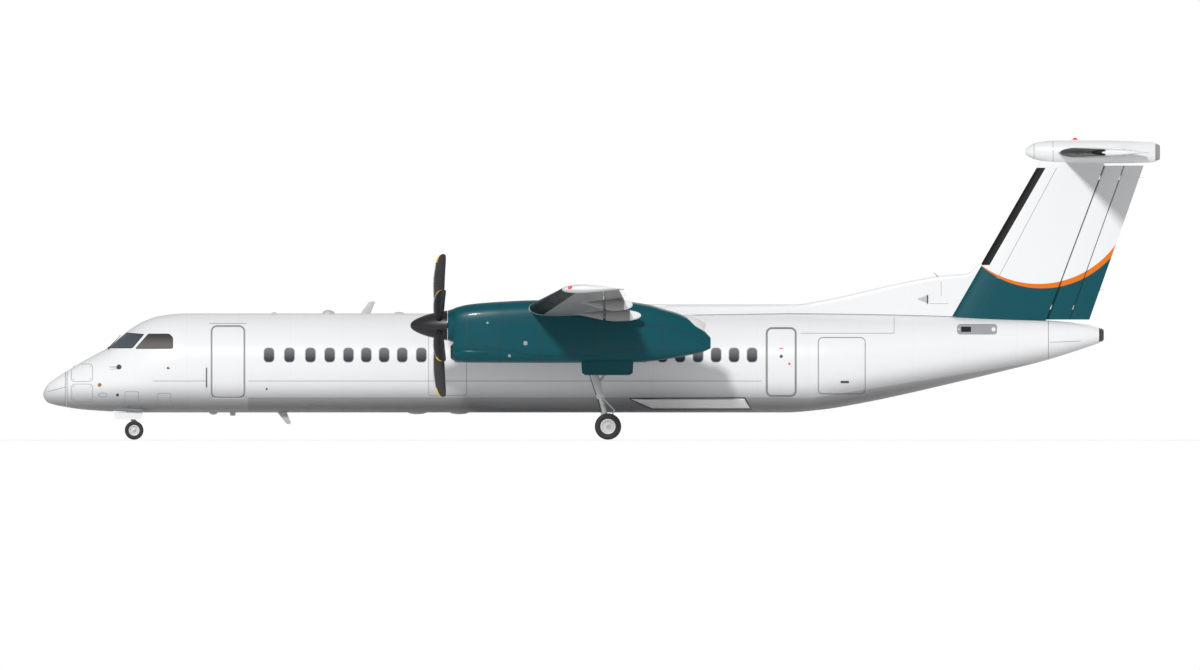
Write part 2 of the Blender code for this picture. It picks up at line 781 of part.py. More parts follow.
def build_wing(nacelle_core):
    """Centre section, outer panels, flaps, ailerons and spoilers."""
    centre = loft("wing_centre", [wing_ring(y) for y in (-3.96, 3.96)], "wing_grey")
    for side, tag in SIDES:
        inner, outer = sorted((side * (FLAP_IN[0] - 0.012), side * 4.5))
        bay = box("bay", point(WING_REAR, 2.4, inner), point(18.0, 3.8, outer))
        cut(centre, bay)
        cut(centre, nacelle_core(side))
        build_flap(f"inboard_flap_{tag}", FLAP_IN, side, centre)

        rings = [wing_ring(side * 4.84), wing_ring(side * 13.90), wing_ring(side * 14.12, 0.90)]
        rings.append(wing_ring(side * TIP_Y, 0.62))
        outer_wing = loft(f"wing_outer_{tag}", rings, "wing_grey", warped=True)
        near, far = sorted((side * 4.6, side * (AILERON[1] + 0.012)))
        cut(outer_wing, box("bay", point(WING_REAR, 2.2, near), point(18.0, 4.6, far)))
        cut(outer_wing, nacelle_core(side))
        build_flap(f"outboard_flap_{tag}", FLAP_OUT, side, outer_wing)
        build_spoiler(f"spoiler_{tag}", side, outer_wing)
        tidy(outer_wing)
        ends = [wing_hinge(y, side, CLEAR) for y in AILERON]
        aileron = surface(f"aileron_{tag}", ends, "wing_grey", (0.15, 0.85))
        tidy(aileron)
        hang_on(aileron, (ends[0][0] + ends[1][0]) / 2)
    tidy(centre)


# Nacelles and propellers

def nacelle_ring(row, side, grow=0.0):
    """One nacelle ring, a rounded rectangle."""
    station, top, bottom, half = row
    middle = (top + bottom) / 2
    rise = (top - bottom) / 2
    power = 2 / NACELLE_ROUND
    ring = []
    for k in range(NACELLE_SIDES):
        turn = 2 * pi * k / NACELLE_SIDES
        c, s = cos(turn), sin(turn)
        across = abs(c) ** power * (1 if c > 0 else -1)
        lift = abs(s) ** power * (1 if s > 0 else -1)
        ring.append(point(station, middle + (rise + grow) * lift, side * NACELLE_Y + (half + grow) * across))
    return ring


def nacelle_loft(name, start, end, side, grow=0.0, material="teal_paint"):
    """The nacelle skin between two stations."""
    rows = [row for row in NACELLE if start + 0.001 < row[0] < end - 0.001]
    ends = []
    for station in (start, end):
        for low, high in zip(NACELLE, NACELLE[1:]):
            if low[0] <= station <= high[0]:
                share = (station - low[0]) / (high[0] - low[0])
                ends.append([a + (b - a) * share for a, b in zip(low, high)])
                break
    rings = [nacelle_ring(row, side, grow) for row in (ends[0], *rows, ends[1])]
    return loft(name, rings, material, warped=True)


def build_nacelle(side, tag):
    """Front cowl with its intake, rear nacelle with the gear bay, engine block and exhaust."""
    y = side * NACELLE_Y
    cowl = nacelle_loft(f"engine_cowl_{tag}", NACELLE[0][0], COWL_END - SEAT, side)
    collar_start = point(SPINNER_BASE + 0.015, PROP_H, y)
    collar_end = point(NACELLE[0][0] + 0.05, PROP_H, y)
    fuse(cowl, rod("collar", collar_start, collar_end, SPINNER_R - 0.005, 24, end_radius=SPINNER_R + 0.03))
    lip_rings = []
    front = NACELLE[0][0]
    for ahead, spread in ((-0.08, 0.012), (-0.05, 0.035), (0.20, 0.020)):
        ring = ring_round((0, 0, 0), (1, 0, 0), (0, 1, 0), 1.0, 20)
        wide, tall = INTAKE_HALF[0] + spread, INTAKE_HALF[1] + spread
        lip_rings.append([point(front + ahead, INTAKE_H + p.z * tall, y + p.y * wide) for p in ring])
    fuse(cowl, loft("lip", lip_rings, "teal_paint"))
    duct_rings = []
    for ahead, share in ((-0.20, 1.0), (0.30, 0.85), (0.50, 0.6)):
        ring = ring_round((0, 0, 0), (1, 0, 0), (0, 1, 0), 1.0, 20)
        wide, tall = INTAKE_HALF[0] * share, INTAKE_HALF[1] * share
        duct_rings.append([point(front + ahead, INTAKE_H + p.z * tall, y + p.y * wide) for p in ring])
    cut(cowl, loft("duct", duct_rings, "teal_paint"))
    fore, aft, low, high, half = BAY
    cut(cowl, box("bay", point(fore, low, y - half), point(aft, high, y + half)))
    cut(cowl, rod("bore", point(11.0, PROP_H, y), point(fore + 0.1, PROP_H, y), SHAFT_R + 0.03, 14))
    tidy(cowl)

    rear = nacelle_loft(f"nacelle_rear_{tag}", COWL_END, NACELLE[-1][0], side)
    cut(rear, box("bay", point(COWL_END - 1, low, y - half), point(aft, high, y + half)))
    fore, aft, top, half = MAIN_WELL
    cut(rear, box("well", point(fore, 1.0, y - half), point(aft, top, y + half)))
    for hand in (-1, 1):
        flange = y + hand * (half + 0.045)
        low_y, high_y = sorted((flange, flange + hand * 0.022))
        fuse(rear, box("door", point(fore, 1.10, low_y), point(aft, 1.60, high_y)))
    jack_pad(rear, NACELLE_JACK, y, NACELLE_FLOOR)
    start, end = [point(*place, y) for place in NOZZLE]
    beyond = end + (end - start) * NOZZLE_SEAT_SHARE
    cut(rear, rod("seat", start, beyond, NOZZLE_R + SEAT * 2, NOZZLE_SIDES, forward=(0, 0, 1)))
    tidy(rear)

    start.x += NOZZLE_GAP
    nozzle = rod(f"exhaust_{tag}", start, end, NOZZLE_R, NOZZLE_SIDES, "bare_metal", forward=(0, 0, 1))
    along = (end - point(*NOZZLE[0], y)).normalized()
    throat_start, throat_end = end - along * THROAT_DEPTH, end + along * 0.1
    cut(nozzle, rod("throat", throat_start, throat_end, THROAT_R, NOZZLE_SIDES, forward=(0, 0, 1)))
    tidy(nozzle)

    fore, aft, low, high, half = ENGINE
    block = box(f"engine_block_{tag}", point(fore, low, y - half), point(aft, high, y + half), "engine_grey")
    bay_half = BAY[4]
    for station in (12.9, 14.2):
        pad_low = point(station, 2.40, y - bay_half + SEAT)
        pad_high = point(station + 0.16, 2.52, y + bay_half - SEAT)
        fuse(block, box("pads", pad_low, pad_high))
    tidy(block)


def blade_rings():
    """Sections of one blade that points up, its chord along X as it is feathered."""
    # columns: radius, chord, thickness, sweep aft
    table = (
        (0.26, 0.14, 0.120, 0.00),
        (0.47, 0.15, 0.110, 0.00),
        (0.75, 0.30, 0.060, -0.02),
        (1.30, 0.34, 0.038, -0.01),
        (1.85, 0.30, 0.024, 0.04),
        (2.04, 0.22, 0.016, 0.08),
        (BLADE_R, 0.10, 0.010, 0.11),
    )
    rings = []
    for radius, chord, thick, sweep in table:
        ring = []
        for p in ring_round((0, 0, 0), (0, 0, 1), (1, 0, 0), 1.0, 8):
            ring.append(Vector((sweep + p.x * chord / 2, p.y * thick / 2, radius)))
        rings.append(ring)
    return rings


def spinner_bore(station):
    """Radius of the spinner's hollow at a station aft of its middle ring."""
    (_, _), (s0, r0), (s1, r1) = SPINNER_BORE
    return r0 + (r1 - r0) * (station - s0) / (s1 - s0)


def build_propeller(side, tag):
    """Hub with shaft and six blades, and the spinner that covers the roots."""
    centre = point(PROP_STATION, PROP_H, side * NACELLE_Y)
    front = centre - Vector((0.17, 0, 0))
    back = centre + Vector((0.19, 0, 0))
    prop = rod(f"propeller_{tag}", front, back, 0.30, 18, "propeller_black")
    shaft_end = point(ENGINE[0], PROP_H, side * NACELLE_Y) - Vector((SEAT * 2, 0, 0))
    fuse(prop, rod("shaft", centre, shaft_end, SHAFT_R, 14))
    for k in range(BLADES):
        spin = Matrix.Rotation(2 * pi * k / BLADES, 4, "X")
        rings = [[centre + spin @ p for p in ring] for ring in blade_rings()]
        fuse(prop, loft("blade", rings, "propeller_black"))
    y = side * NACELLE_Y
    plate = []
    for s in BACK_PLATE:
        plate.append(ring_round(point(s, PROP_H, y), (1, 0, 0), (0, 0, 1), spinner_bore(s) - 0.0004, 20))
    fuse(prop, loft("plate", plate, "propeller_black"))
    tidy(prop)

    # columns: station, outer radius
    shape = (
        (10.787, 0.03), (10.83, 0.10), (10.95, 0.185), (11.15, 0.275), (11.40, 0.35), (11.65, 0.405),
        (SPINNER_BASE, SPINNER_R),
    )
    outer = [ring_round(point(s, PROP_H, y), (1, 0, 0), (0, 0, 1), r, 20) for s, r in shape]
    spinner = loft(f"spinner_{tag}", outer, "propeller_black")
    inner = [ring_round(point(s, PROP_H, y), (1, 0, 0), (0, 0, 1), r, 20) for s, r in SPINNER_BORE]
    cut(spinner, loft("hollow", inner, "propeller_black"))
    for k in range(BLADES):
        spin = Matrix.Rotation(2 * pi * k / BLADES, 4, "X")
        away = spin @ Vector((0, 0, 1))
        cut(spinner, rod("root", centre + away * 0.2, centre + away * 0.8, 0.085, 10))
    tidy(spinner)
    for item in (prop, spinner):
        hang_on(item, centre)


# Landing gear

def spin_profile(name, centre, profile, material):
    """Turn a closed outline of side offsets and radii about an axle that lies across."""
    bm = bmesh.new()
    half_step = pi / WHEEL_SIDES
    tilt = Matrix.Rotation(half_step, 4, "Y")
    verts = [bm.verts.new(tilt @ Vector((0, y, -r))) for y, r in profile]
    edges = [bm.edges.new((a, b)) for a, b in zip(verts, verts[1:] + verts[:1])]
    bmesh.ops.spin(bm, geom=verts + edges, cent=(0, 0, 0), axis=(0, 1, 0), dvec=(0, 0, 0),
                   angle=2 * pi, steps=WHEEL_SIDES, use_merge=True, use_duplicate=False)
    bmesh.ops.remove_doubles(bm, verts=bm.verts[:], dist=0.0001)
    bmesh.ops.translate(bm, verts=bm.verts[:], vec=Vector(centre))
    return make(name, bm, material, 30.0)


def tyre_outline(radius, width, bead):
    """Outline of a tyre: beads, bulging sides and a flat crown."""
    half = []
    for y, r in ((0.32, bead), (0.47, bead + 0.25 * (radius - bead)), (0.50, bead + 0.55 * (radius - bead)),
                 (0.44, bead + 0.86 * (radius - bead)), (0.30, radius)):
        half.append((y * width, r))
    return half + [(-y, r) for y, r in reversed(half)]


def build_wheels(tag, station, y, radius, width, twin, axle_r):
    """A twin wheel: axle with both rims as one piece, and two tyres."""
    height = radius * cos(pi / WHEEL_SIDES)
    centre = point(station, height - KEEL, y)
    bead = radius * 0.56
    reach = twin + width * 0.30
    hub = rod(f"{tag}_rims", centre - Vector((0, reach, 0)), centre + Vector((0, reach, 0)), axle_r, PIN_SIDES)
    rim_r = bead - SEAT
    for hand, name in ((-1, "left"), (1, "right")):
        middle = centre + Vector((0, hand * twin, 0))
        profile = [(0.30, 0.14), (0.30, 1.0), (-0.30, 1.0), (-0.30, 0.80), (-0.12, 0.45), (-0.12, 0.14)]
        outline = [(-hand * a * width, b * rim_r) for a, b in profile]
        rim = spin_profile("rim", middle, outline, "gear_grey")
        fuse(hub, rim)
        outline = tyre_outline(radius, width, bead)
        tyre = spin_profile(f"{tag}_tyre_{name}", middle, outline, "tyre_rubber")
        hang_on(tyre, centre)
    tidy(hub)
    hang_on(hub, centre)
    return centre


def eye(target, centre, half, outer, axle_r):
    """Fuse a bearing to a leg and bore it for the axle."""
    across = Vector((0, half, 0))
    fuse(target, rod("eye", centre - across, centre + across, outer, PIN_SIDES))
    bore = (axle_r + PIN_GAP / 2) / cos(pi / PIN_SIDES)
    cut(target, rod("bore", centre - across * 2, centre + across * 2, bore, PIN_SIDES))


def build_main_gear(side, tag):
    """Main leg with its trunnion, drag brace and torque links, and the twin wheels."""
    y = side * NACELLE_Y
    axle_r = 0.045
    axle = build_wheels(f"main_{tag}", MAIN_STATION, y, MAIN_R, MAIN_W, MAIN_TWIN, axle_r)
    pivot = point(*MAIN_PIVOT, y)
    down = axle - pivot
    knee = pivot + down * 0.62
    leg = rod(f"main_leg_{tag}", pivot, knee, 0.105, 14)
    fuse(leg, rod("piston", pivot + down * 0.5, axle, 0.072, 14))
    well_half = MAIN_WELL[3] - SEAT
    fuse(leg, rod("trunnion", pivot - Vector((0, well_half, 0)), pivot + Vector((0, well_half, 0)), 0.085, 12))
    anchor = point(17.15, 2.10, y)
    fuse(leg, rod("brace", pivot + down * 0.45, anchor, 0.045, 8))
    fuse(leg, rod("cross", anchor - Vector((0, well_half, 0)), anchor + Vector((0, well_half, 0)), 0.05, 8))
    link_top = pivot + down * 0.60 + Vector((0.13, 0, 0.0))
    link_mid = pivot + down * 0.78 + Vector((0.30, 0, 0.0))
    link_low = pivot + down * 0.95 + Vector((0.06, 0, 0.0))
    fuse(leg, rod("link", pivot + down * 0.58, link_mid, 0.030, 6))
    fuse(leg, rod("link", link_mid + (link_top - link_mid) * 0.05, link_low, 0.030, 6))
    eye(leg, axle, 0.085, 0.095, axle_r)
    tidy(leg)


def build_nose_gear():
    """Nose leg, the steering piston that turns in it, and the twin wheels."""
    axle_r = 0.030
    axle = build_wheels("nose", NOSE_STATION + 0.03, 0.0, NOSE_R, NOSE_W, NOSE_TWIN, axle_r)
    top = point(NOSE_STATION, NOSE_WELL[2] - SEAT)
    foot = Vector((top.x, 0.0, 0.62))
    leg = rod("nose_leg", top, foot, 0.075, 14)
    brace_end = point(NOSE_WELL[0] + 0.07, 0.40)
    fuse(leg, rod("brace", foot + Vector((0, 0, 0.05)), brace_end, 0.032, 8))
    half = NOSE_WELL[3] - SEAT
    fuse(leg, rod("cross", brace_end - Vector((0, half, 0)), brace_end + Vector((0, half, 0)), 0.030, 8))
    tidy(leg)
    piston = rod("nose_steering", foot - Vector((0, 0, 0.0006)), Vector((top.x, 0, axle.z)), 0.055, 14)
    fuse(piston, rod("collar", foot - Vector((0, 0, 0.0006)), foot - Vector((0, 0, 0.07)), 0.075, 14))
    eye(piston, axle, 0.065, 0.060, axle_r)
    tidy(piston)
    hang_on(piston, foot)


# Tail

def slant(line, height):
    """Station of a slanted line at a height."""
    (s0, h0), (s1, h1) = line
    return s0 + (s1 - s0) * (height - h0) / (h1 - h0)


def fin_ring(height, half, grow=0.0):
    """Fin section from its leading edge to the wall ahead of the rudder."""
    lead = slant(FIN_LE, height)
    rear = slant(RUDDER_HINGE, height) - half - 0.02
    chord = slant(RUDDER_TE, height) - lead
    end = (rear - lead) / chord
    thick = half / (chord * thickness(end, 1.0))
    ring = []
    for x, z in aerofoil(chord, thick, 0.0, end):
        aside = grow if z > 0 else -grow
        ahead = -grow if x < chord * end / 2 else grow
        ring.append(point(lead + x + ahead, height, z + aside))
    return ring


def fin_half(height):
    """Half thickness of the tail at the rudder hinge."""
    share = (height - RUDDER_HINGE[0][1]) / (RUDDER_HINGE[1][1] - RUDDER_HINGE[0][1])
    return FIN_HALF[0] + (FIN_HALF[1] - FIN_HALF[0]) * share


def fin_loft(name, grow=0.0):
    """The fixed fin."""
    return loft(name, [fin_ring(h, fin_half(h), grow) for h in (2.30, 4.5, 7.60)], "white_paint", warped=True)


def bullet_loft(name, grow=0.0):
    """The fairing where fin and tailplane meet."""
    rings = []
    for station, top, bottom, half in BULLET:
        middle, rise = (top + bottom) / 2, (top - bottom) / 2
        unit = ring_round((0, 0, 0), (1, 0, 0), (0, 1, 0), 1.0, 20)
        rings.append([point(station, middle + p.z * (rise + grow), p.y * (half + grow)) for p in unit])
    return loft(name, rings, "white_paint", warped=True)


def build_tail(fuselage_core):
    """Fin, rudders, bullet, tailplane and elevators."""
    fin = fin_loft("fin")
    cut(fin, fuselage_core(), bullet_loft("cutter", SEAT))
    tidy(fin)
    bullet = bullet_loft("bullet_fairing")
    station, foot = BEACON
    rings = [ring_round(point(station, foot + rise), (0, 0, 1), (1, 0, 0), r, 12) for rise, r in BEACON_RINGS]
    fuse(bullet, loft("beacon", rings, "white_paint"))
    tidy(bullet)

    low, high = RUDDER_HINGE[0][1], FIN_TOP
    fore_ends, trail_ends = [], []
    for height, half, trail in ((low, FIN_HALF[0], TRAIL_HALF[0]), (high, FIN_HALF[1], TRAIL_HALF[1])):
        hinge = point(slant(RUDDER_HINGE, height), height)
        wall = point(slant(TRAIL_HINGE, height) - trail - 0.015, height)
        fore_ends.append((hinge, wall, half))
        trail_hinge, tail = point(slant(TRAIL_HINGE, height), height), point(slant(RUDDER_TE, height), height)
        trail_ends.append((trail_hinge, tail, trail))
    rings = []
    for (hinge, wall, half), (_, _, trail) in zip(fore_ends, trail_ends):
        ring = [wall + Vector((0, trail, 0))]
        for k in range(7):
            turn = pi / 2 + pi * k / 6
            ring.append(hinge + half * Vector((cos(turn), sin(turn), 0)))
        ring.append(wall - Vector((0, trail, 0)))
        rings.append(ring)
    fore = loft("fore_rudder", rings, "white_paint")
    axis = (fore_ends[1][0] - fore_ends[0][0]).normalized()
    lean = axis.z
    for share in (0.08, 0.92):
        centre = fore_ends[0][0] + (fore_ends[1][0] - fore_ends[0][0]) * share
        half = FIN_HALF[0] + (FIN_HALF[1] - FIN_HALF[0]) * share
        radius = (half + 0.02) * lean - PIN_GAP - 0.0004
        fuse(fore, rod("disc", centre - axis * 0.01, centre + axis * 0.01, radius, 32, forward=(-1, 0, 0)))
    tidy(fore)
    hang_on(fore, fore_ends[0][0])

    trail = surface("trailing_rudder", [(h, t, r) for h, t, r in trail_ends], "white_paint")
    axis = (trail_ends[1][0] - trail_ends[0][0]).normalized()
    lean = axis.z
    for share in (0.08, 0.92):
        centre = trail_ends[0][0] + (trail_ends[1][0] - trail_ends[0][0]) * share
        half = TRAIL_HALF[0] + (TRAIL_HALF[1] - TRAIL_HALF[0]) * share
        radius = (half + 0.015) * lean - PIN_GAP - 0.0004
        fuse(trail, rod("disc", centre - axis * 0.01, centre + axis * 0.01, radius, 32, forward=(-1, 0, 0)))
    tidy(trail)
    hang_on(trail, trail_ends[0][0])

    half_span = TAIL_SPAN / 2
    for side, tag in SIDES:
        def tail_at(y):
            share = max(0.0, abs(y) / half_span)
            lead = TAIL_LE[0] + (TAIL_LE[1] - TAIL_LE[0]) * share
            return lead, TAIL_TE - lead

        rings = []
        for y, shrink in ((0.10, 1.0), (half_span - 0.12, 1.0), (half_span, 0.70)):
            lead, chord = tail_at(y)
            ring = []
            for x, z in aerofoil(chord * shrink, TAIL_THICK * shrink, 0.0):
                ring.append(point(lead + chord * (1 - shrink) * 0.6 + x, TAIL_H + z, side * y))
            rings.append(ring)
        plane = loft(f"tailplane_{tag}", rings, "wing_grey")
        bay = []
        for y in (0.05, ELEVATOR[1] + 0.012):
            lead, chord = tail_at(y)
            start = lead + chord * TAIL_HINGE
            corners = ((start, -0.5), (33.5, -0.5), (33.5, 0.5), (start, 0.5))
            bay.append([point(s, TAIL_H + h, side * y) for s, h in corners])
        cut(plane, loft("bay", bay, "wing_grey", 0.0), bullet_loft("cutter", SEAT))
        tidy(plane)
        ends = []
        for y in ELEVATOR:
            lead, chord = tail_at(y)
            radius = chord * thickness(TAIL_HINGE, TAIL_THICK) * 0.97
            hinge = point(lead + chord * TAIL_HINGE + CLEAR + radius, TAIL_H, side * y)
            ends.append((hinge, point(TAIL_TE, TAIL_H, side * y), radius))
        slope = (TAIL_LE[1] - TAIL_LE[0]) * (1 - TAIL_HINGE) / half_span
        elevator = surface(f"elevator_{tag}", ends, "wing_grey", (0.12, 0.88), CLEAR, 1 / sqrt(1 + slope**2))
        tidy(elevator)
        hang_on(elevator, (ends[0][0] + ends[1][0]) / 2)


def build_fairings(fuselage_core, wing_core):
    """Wing fairing, and the ridge that grows into the dorsal fin."""
    def saddle(name, table):
        rings = []
        for station, half, top in table:
            base = 1.9
            ring = [point(station, base, half)]
            for k in range(9):
                turn = pi * k / 8
                lift = abs(sin(turn)) ** 0.6
                across = abs(cos(turn)) ** 0.6 * (1 if cos(turn) > 0 else -1)
                ring.append(point(station, top - 0.22 + 0.22 * lift, half * across))
            ring.append(point(station, base, -half))
            rings.append(ring)
        return loft(name, rings, "white_paint")

    fairing = saddle("wing_fairing", WING_FAIRING)
    cut(fairing, fuselage_core(), wing_core())
    tidy(fairing)
    table = [(s + (SEAT if s == DORSAL[0][0] else 0), half, top) for s, half, top in DORSAL]
    dorsal = saddle("dorsal_fin", table)
    cut(dorsal, fuselage_core(), fin_loft("cutter", SEAT))
    tidy(dorsal)


def main():
    clear_scene()

    def fuselage_core():
        return body_loft("cutter", 10.0, BODY[-1][0], SEAT)

    def wing_core():
        return loft("cutter", [wing_ring(y, 1.0, SEAT) for y in (-3.9, 3.9)], "wing_grey")

    def nacelle_core(side):
        return nacelle_loft("cutter", NACELLE[0][0], NACELLE[-1][0], side, SEAT)

    fuselage = build_fuselage()
    build_airstair(fuselage)
    cut(fuselage, wing_core())
    tidy(fuselage)
    build_wing(nacelle_core)
    for side, tag in SIDES:
        build_nacelle(side, tag)
        build_propeller(side, tag)
        build_main_gear(side, tag)
    build_nose_gear()
    build_tail(fuselage_core)
    build_fairings(fuselage_core, wing_core)


main()
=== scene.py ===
"""Turboprop airliner: skins, glazing, boots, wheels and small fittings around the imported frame, in metres."""
from math import ceil, cos, pi, radians, sin, sqrt

import bmesh
import bpy
from bpy.props import FloatProperty, FloatVectorProperty, IntProperty, PointerProperty
from bpy.types import Operator, Panel, PropertyGroup
from mathutils import Matrix, Vector


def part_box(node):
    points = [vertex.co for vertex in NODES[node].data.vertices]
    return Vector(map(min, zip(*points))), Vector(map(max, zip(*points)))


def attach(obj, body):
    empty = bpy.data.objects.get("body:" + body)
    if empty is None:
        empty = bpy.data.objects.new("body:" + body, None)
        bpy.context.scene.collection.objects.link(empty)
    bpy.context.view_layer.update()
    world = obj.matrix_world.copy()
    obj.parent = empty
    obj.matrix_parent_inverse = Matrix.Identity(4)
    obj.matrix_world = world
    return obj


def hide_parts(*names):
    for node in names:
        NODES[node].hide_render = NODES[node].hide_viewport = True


bl_info = {
    "name": "Turboprop Airliner",
    "version": (1, 0, 0),
    "blender": (4, 5, 0),
    "location": "View3D > Sidebar > Airliner",
    "description": "Builds the airliner's surfaces, windows and fittings on its packed frame",
    "category": "Add Mesh",
}

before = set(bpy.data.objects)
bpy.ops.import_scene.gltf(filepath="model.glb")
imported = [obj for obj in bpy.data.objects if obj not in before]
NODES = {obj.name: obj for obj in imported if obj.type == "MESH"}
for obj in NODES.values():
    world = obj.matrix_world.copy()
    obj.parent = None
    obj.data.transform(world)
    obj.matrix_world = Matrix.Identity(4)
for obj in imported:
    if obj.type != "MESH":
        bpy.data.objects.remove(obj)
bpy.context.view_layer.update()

# Stations run aft from the nose and heights run up from the keel line.
NOSE_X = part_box("radome")[0].x
BODY_TOP = 2.911
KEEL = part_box("fuselage")[1].z - BODY_TOP
SIDES = ((-1, "port"), (1, "starboard"))

# Body sections
# columns: station, top, keel, level of the greatest width, half width
BODY = (
    (0.000, 0.560, 0.510, 0.535, 0.025),
    (0.030, 0.640, 0.425, 0.535, 0.10),
    (0.110, 0.795, 0.312, 0.546, 0.22),
    (0.320, 0.970, 0.230, 0.574, 0.355),
    (0.691, 1.208, 0.156, 0.620, 0.50),
    (1.073, 1.449, 0.097, 0.691, 0.645),
    (1.485, 1.673, 0.062, 0.779, 0.79),
    (1.896, 1.902, 0.035, 0.882, 0.92),
    (2.220, 2.173, 0.018, 0.970, 1.02),
    (2.560, 2.440, 0.007, 1.072, 1.118),
    (2.970, 2.685, 0.000, 1.200, 1.215),
    (3.450, 2.838, 0.000, 1.337, 1.295),
    (4.189, BODY_TOP, 0.000, 1.455, 1.345),
    (21.800, 2.902, 0.000, 1.455, 1.345),
    (22.888, 2.887, 0.085, 1.485, 1.33),
    (24.005, 2.872, 0.268, 1.543, 1.265),
    (25.181, 2.849, 0.509, 1.646, 1.155),
    (26.651, 2.808, 0.847, 1.808, 0.965),
    (28.121, 2.758, 1.197, 1.970, 0.745),
    (29.532, 2.702, 1.555, 2.131, 0.525),
    (30.600, 2.600, 1.895, 2.245, 0.335),
    (31.160, 2.470, 2.090, 2.280, 0.190),
)
HULL_ROWS = [(sqrt(row[0]), *row[1:]) for row in BODY]
RADOME_END = 0.691
TAIL_CONE_START = 29.532
HULL_END = BODY[-1][0]
LAMP_START = HULL_END - 0.14
# Ribbed end caps, columns: distance behind the cap's front, growth of the ring
CAP_STEPS = ((0.0, -0.014), (0.030, -0.014), (0.034, -0.032), (0.050, -0.032), (0.054, -0.016),
             (0.110, -0.020), (0.134, -0.040), (0.1399, -0.075))

# Doors: forward edge, aft edge, sill and head
AIRSTAIR = (4.969, 5.895, 0.456, 2.520)
AFT_DOOR = (21.271, 22.094, 0.500, 2.465)
BAGGAGE = (22.770, 24.152, 0.545, 2.205)
FORWARD_SERVICE = (4.969, 5.760, 0.480, 2.050)
AFT_SERVICE = (21.271, 22.020, 0.500, 2.050)
FIXED_DOORS = (
    ("aft_passenger_door", AFT_DOOR, -1),
    ("baggage_door", BAGGAGE, -1),
    ("forward_service_door", FORWARD_SERVICE, 1),
    ("aft_service_door", AFT_SERVICE, 1),
)
DOOR_WALL = 0.07
AIRSTAIR_OPEN = 120.0
SILL_GAP = 0.010
STEP_DEPTH = 0.25
STEPS = 6
STAIR_WIDTH = 0.66
LOBBY_INNER = 0.30

# Cockpit panes, as stations and heights of their corners
FRONT_PANE = ((1.90, 1.885), (2.35, 2.36), (2.98, 2.306), (2.625, 1.885))
SIDE_PANE = ((2.70, 1.87), (3.09, 2.318), (3.71, 2.318), (3.82, 2.206), (3.82, 1.87))
CENTRE_POST = 0.10
PANE_DEPTH = 0.030

# Cabin windows
WINDOW_LEVEL = 1.689
FORWARD_WINDOWS = (6.637, 7.236, 7.853, 8.420, 8.970, 9.493, 10.018, 10.550)
REAR_WINDOWS = (11.111, 18.191, 13)
LAST_WINDOWS = (18.711, 19.240, 19.769, 20.297, 20.826)

# Wing
NACELLE_Y = 4.40
WING_LE, TIP_LE = 14.195, 15.295
WING_CHORD, TIP_CHORD = 3.03, 1.60
WING_H, TIP_H = 3.02, 3.645
WING_THICK, TIP_THICK = 0.176, 0.14
WING_REAR = 16.465
TIP_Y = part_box("wing_outer_starboard")[1].y
CAMBER = 0.010
FLAP_IN = (1.25, 3.715)
FLAP_OUT = (5.085, 10.56)
AILERON = (10.60, 13.72)
FLAP_DROP = 0.17
# Flap fairings, columns: distance behind the wing's rear face, half width,
# low and high from the wing's underside
CANOE_FRONT = (
    (-0.92, 0.020, -0.010, 0.030),
    (-0.62, 0.078, -0.075, 0.040),
    (-0.30, 0.106, -0.175, 0.045),
    (-0.045, 0.114, -0.255, 0.050),
)
CANOE_BACK = (
    (0.060, 0.112, -0.272, 0.055),
    (0.38, 0.110, -0.300, 0.070),
    (0.70, 0.098, -0.290, 0.045),
    (0.95, 0.078, -0.255, 0.000),
    (1.10, 0.050, -0.205, -0.045),
    (1.16, 0.020, -0.160, -0.090),
)
CANOE_JOIN = 0.1
SPOILER = (5.75, 8.60)
SPOILER_CHORD = 0.42
SPOILER_THICK = 0.030

# Nacelle sections
# columns: station, top, bottom, half width
POD = (
    (12.050, 3.060, 1.535, 0.500),
    (12.127, 3.084, 1.500, 0.530),
    (12.451, 3.166, 1.467, 0.590),
    (12.921, 3.219, 1.464, 0.630),
    (13.421, 3.255, 1.461, 0.648),
    (14.303, 3.296, 1.458, 0.650),
    (15.185, 3.307, 1.458, 0.650),
    (16.361, 3.296, 1.458, 0.650),
    (17.243, 3.249, 1.467, 0.640),
    (17.831, 3.160, 1.505, 0.600),
    (18.242, 3.037, 1.555, 0.550),
    (18.683, 2.905, 1.626, 0.470),
    (19.007, 2.740, 1.690, 0.390),
    (19.330, 2.500, 1.758, 0.290),
    (19.610, 2.202, 1.885, 0.160),
)
POD_ROUND = 4.0
COWL_END = 14.600
INTAKE_H = 1.775
INTAKE_HALF = (0.30, 0.165)
NOZZLE = ((18.35, 2.72), (19.43, 2.43))
NOZZLE_R = 0.20
PROP_H = 2.557
PROP_STATION = 11.642
SPINNER_BASE = 11.877
SPINNER_R = 0.44
BLADE_R = 2.10
BLADES = 6

# Landing gear
MAIN_STATION = 16.595
MAIN_PIVOT = (16.05, 1.76)
MAIN_R, MAIN_W, MAIN_TWIN = 0.395, 0.25, 0.235
NOSE_STATION = 2.645
NOSE_R, NOSE_W, NOSE_TWIN = 0.28, 0.165, 0.155
WHEEL_DROP = cos(pi / 20)
MAIN_WELL = (15.80, 17.35, 2.30, 0.34)
NOSE_WELL = (2.05, 2.95, 0.52, 0.20)

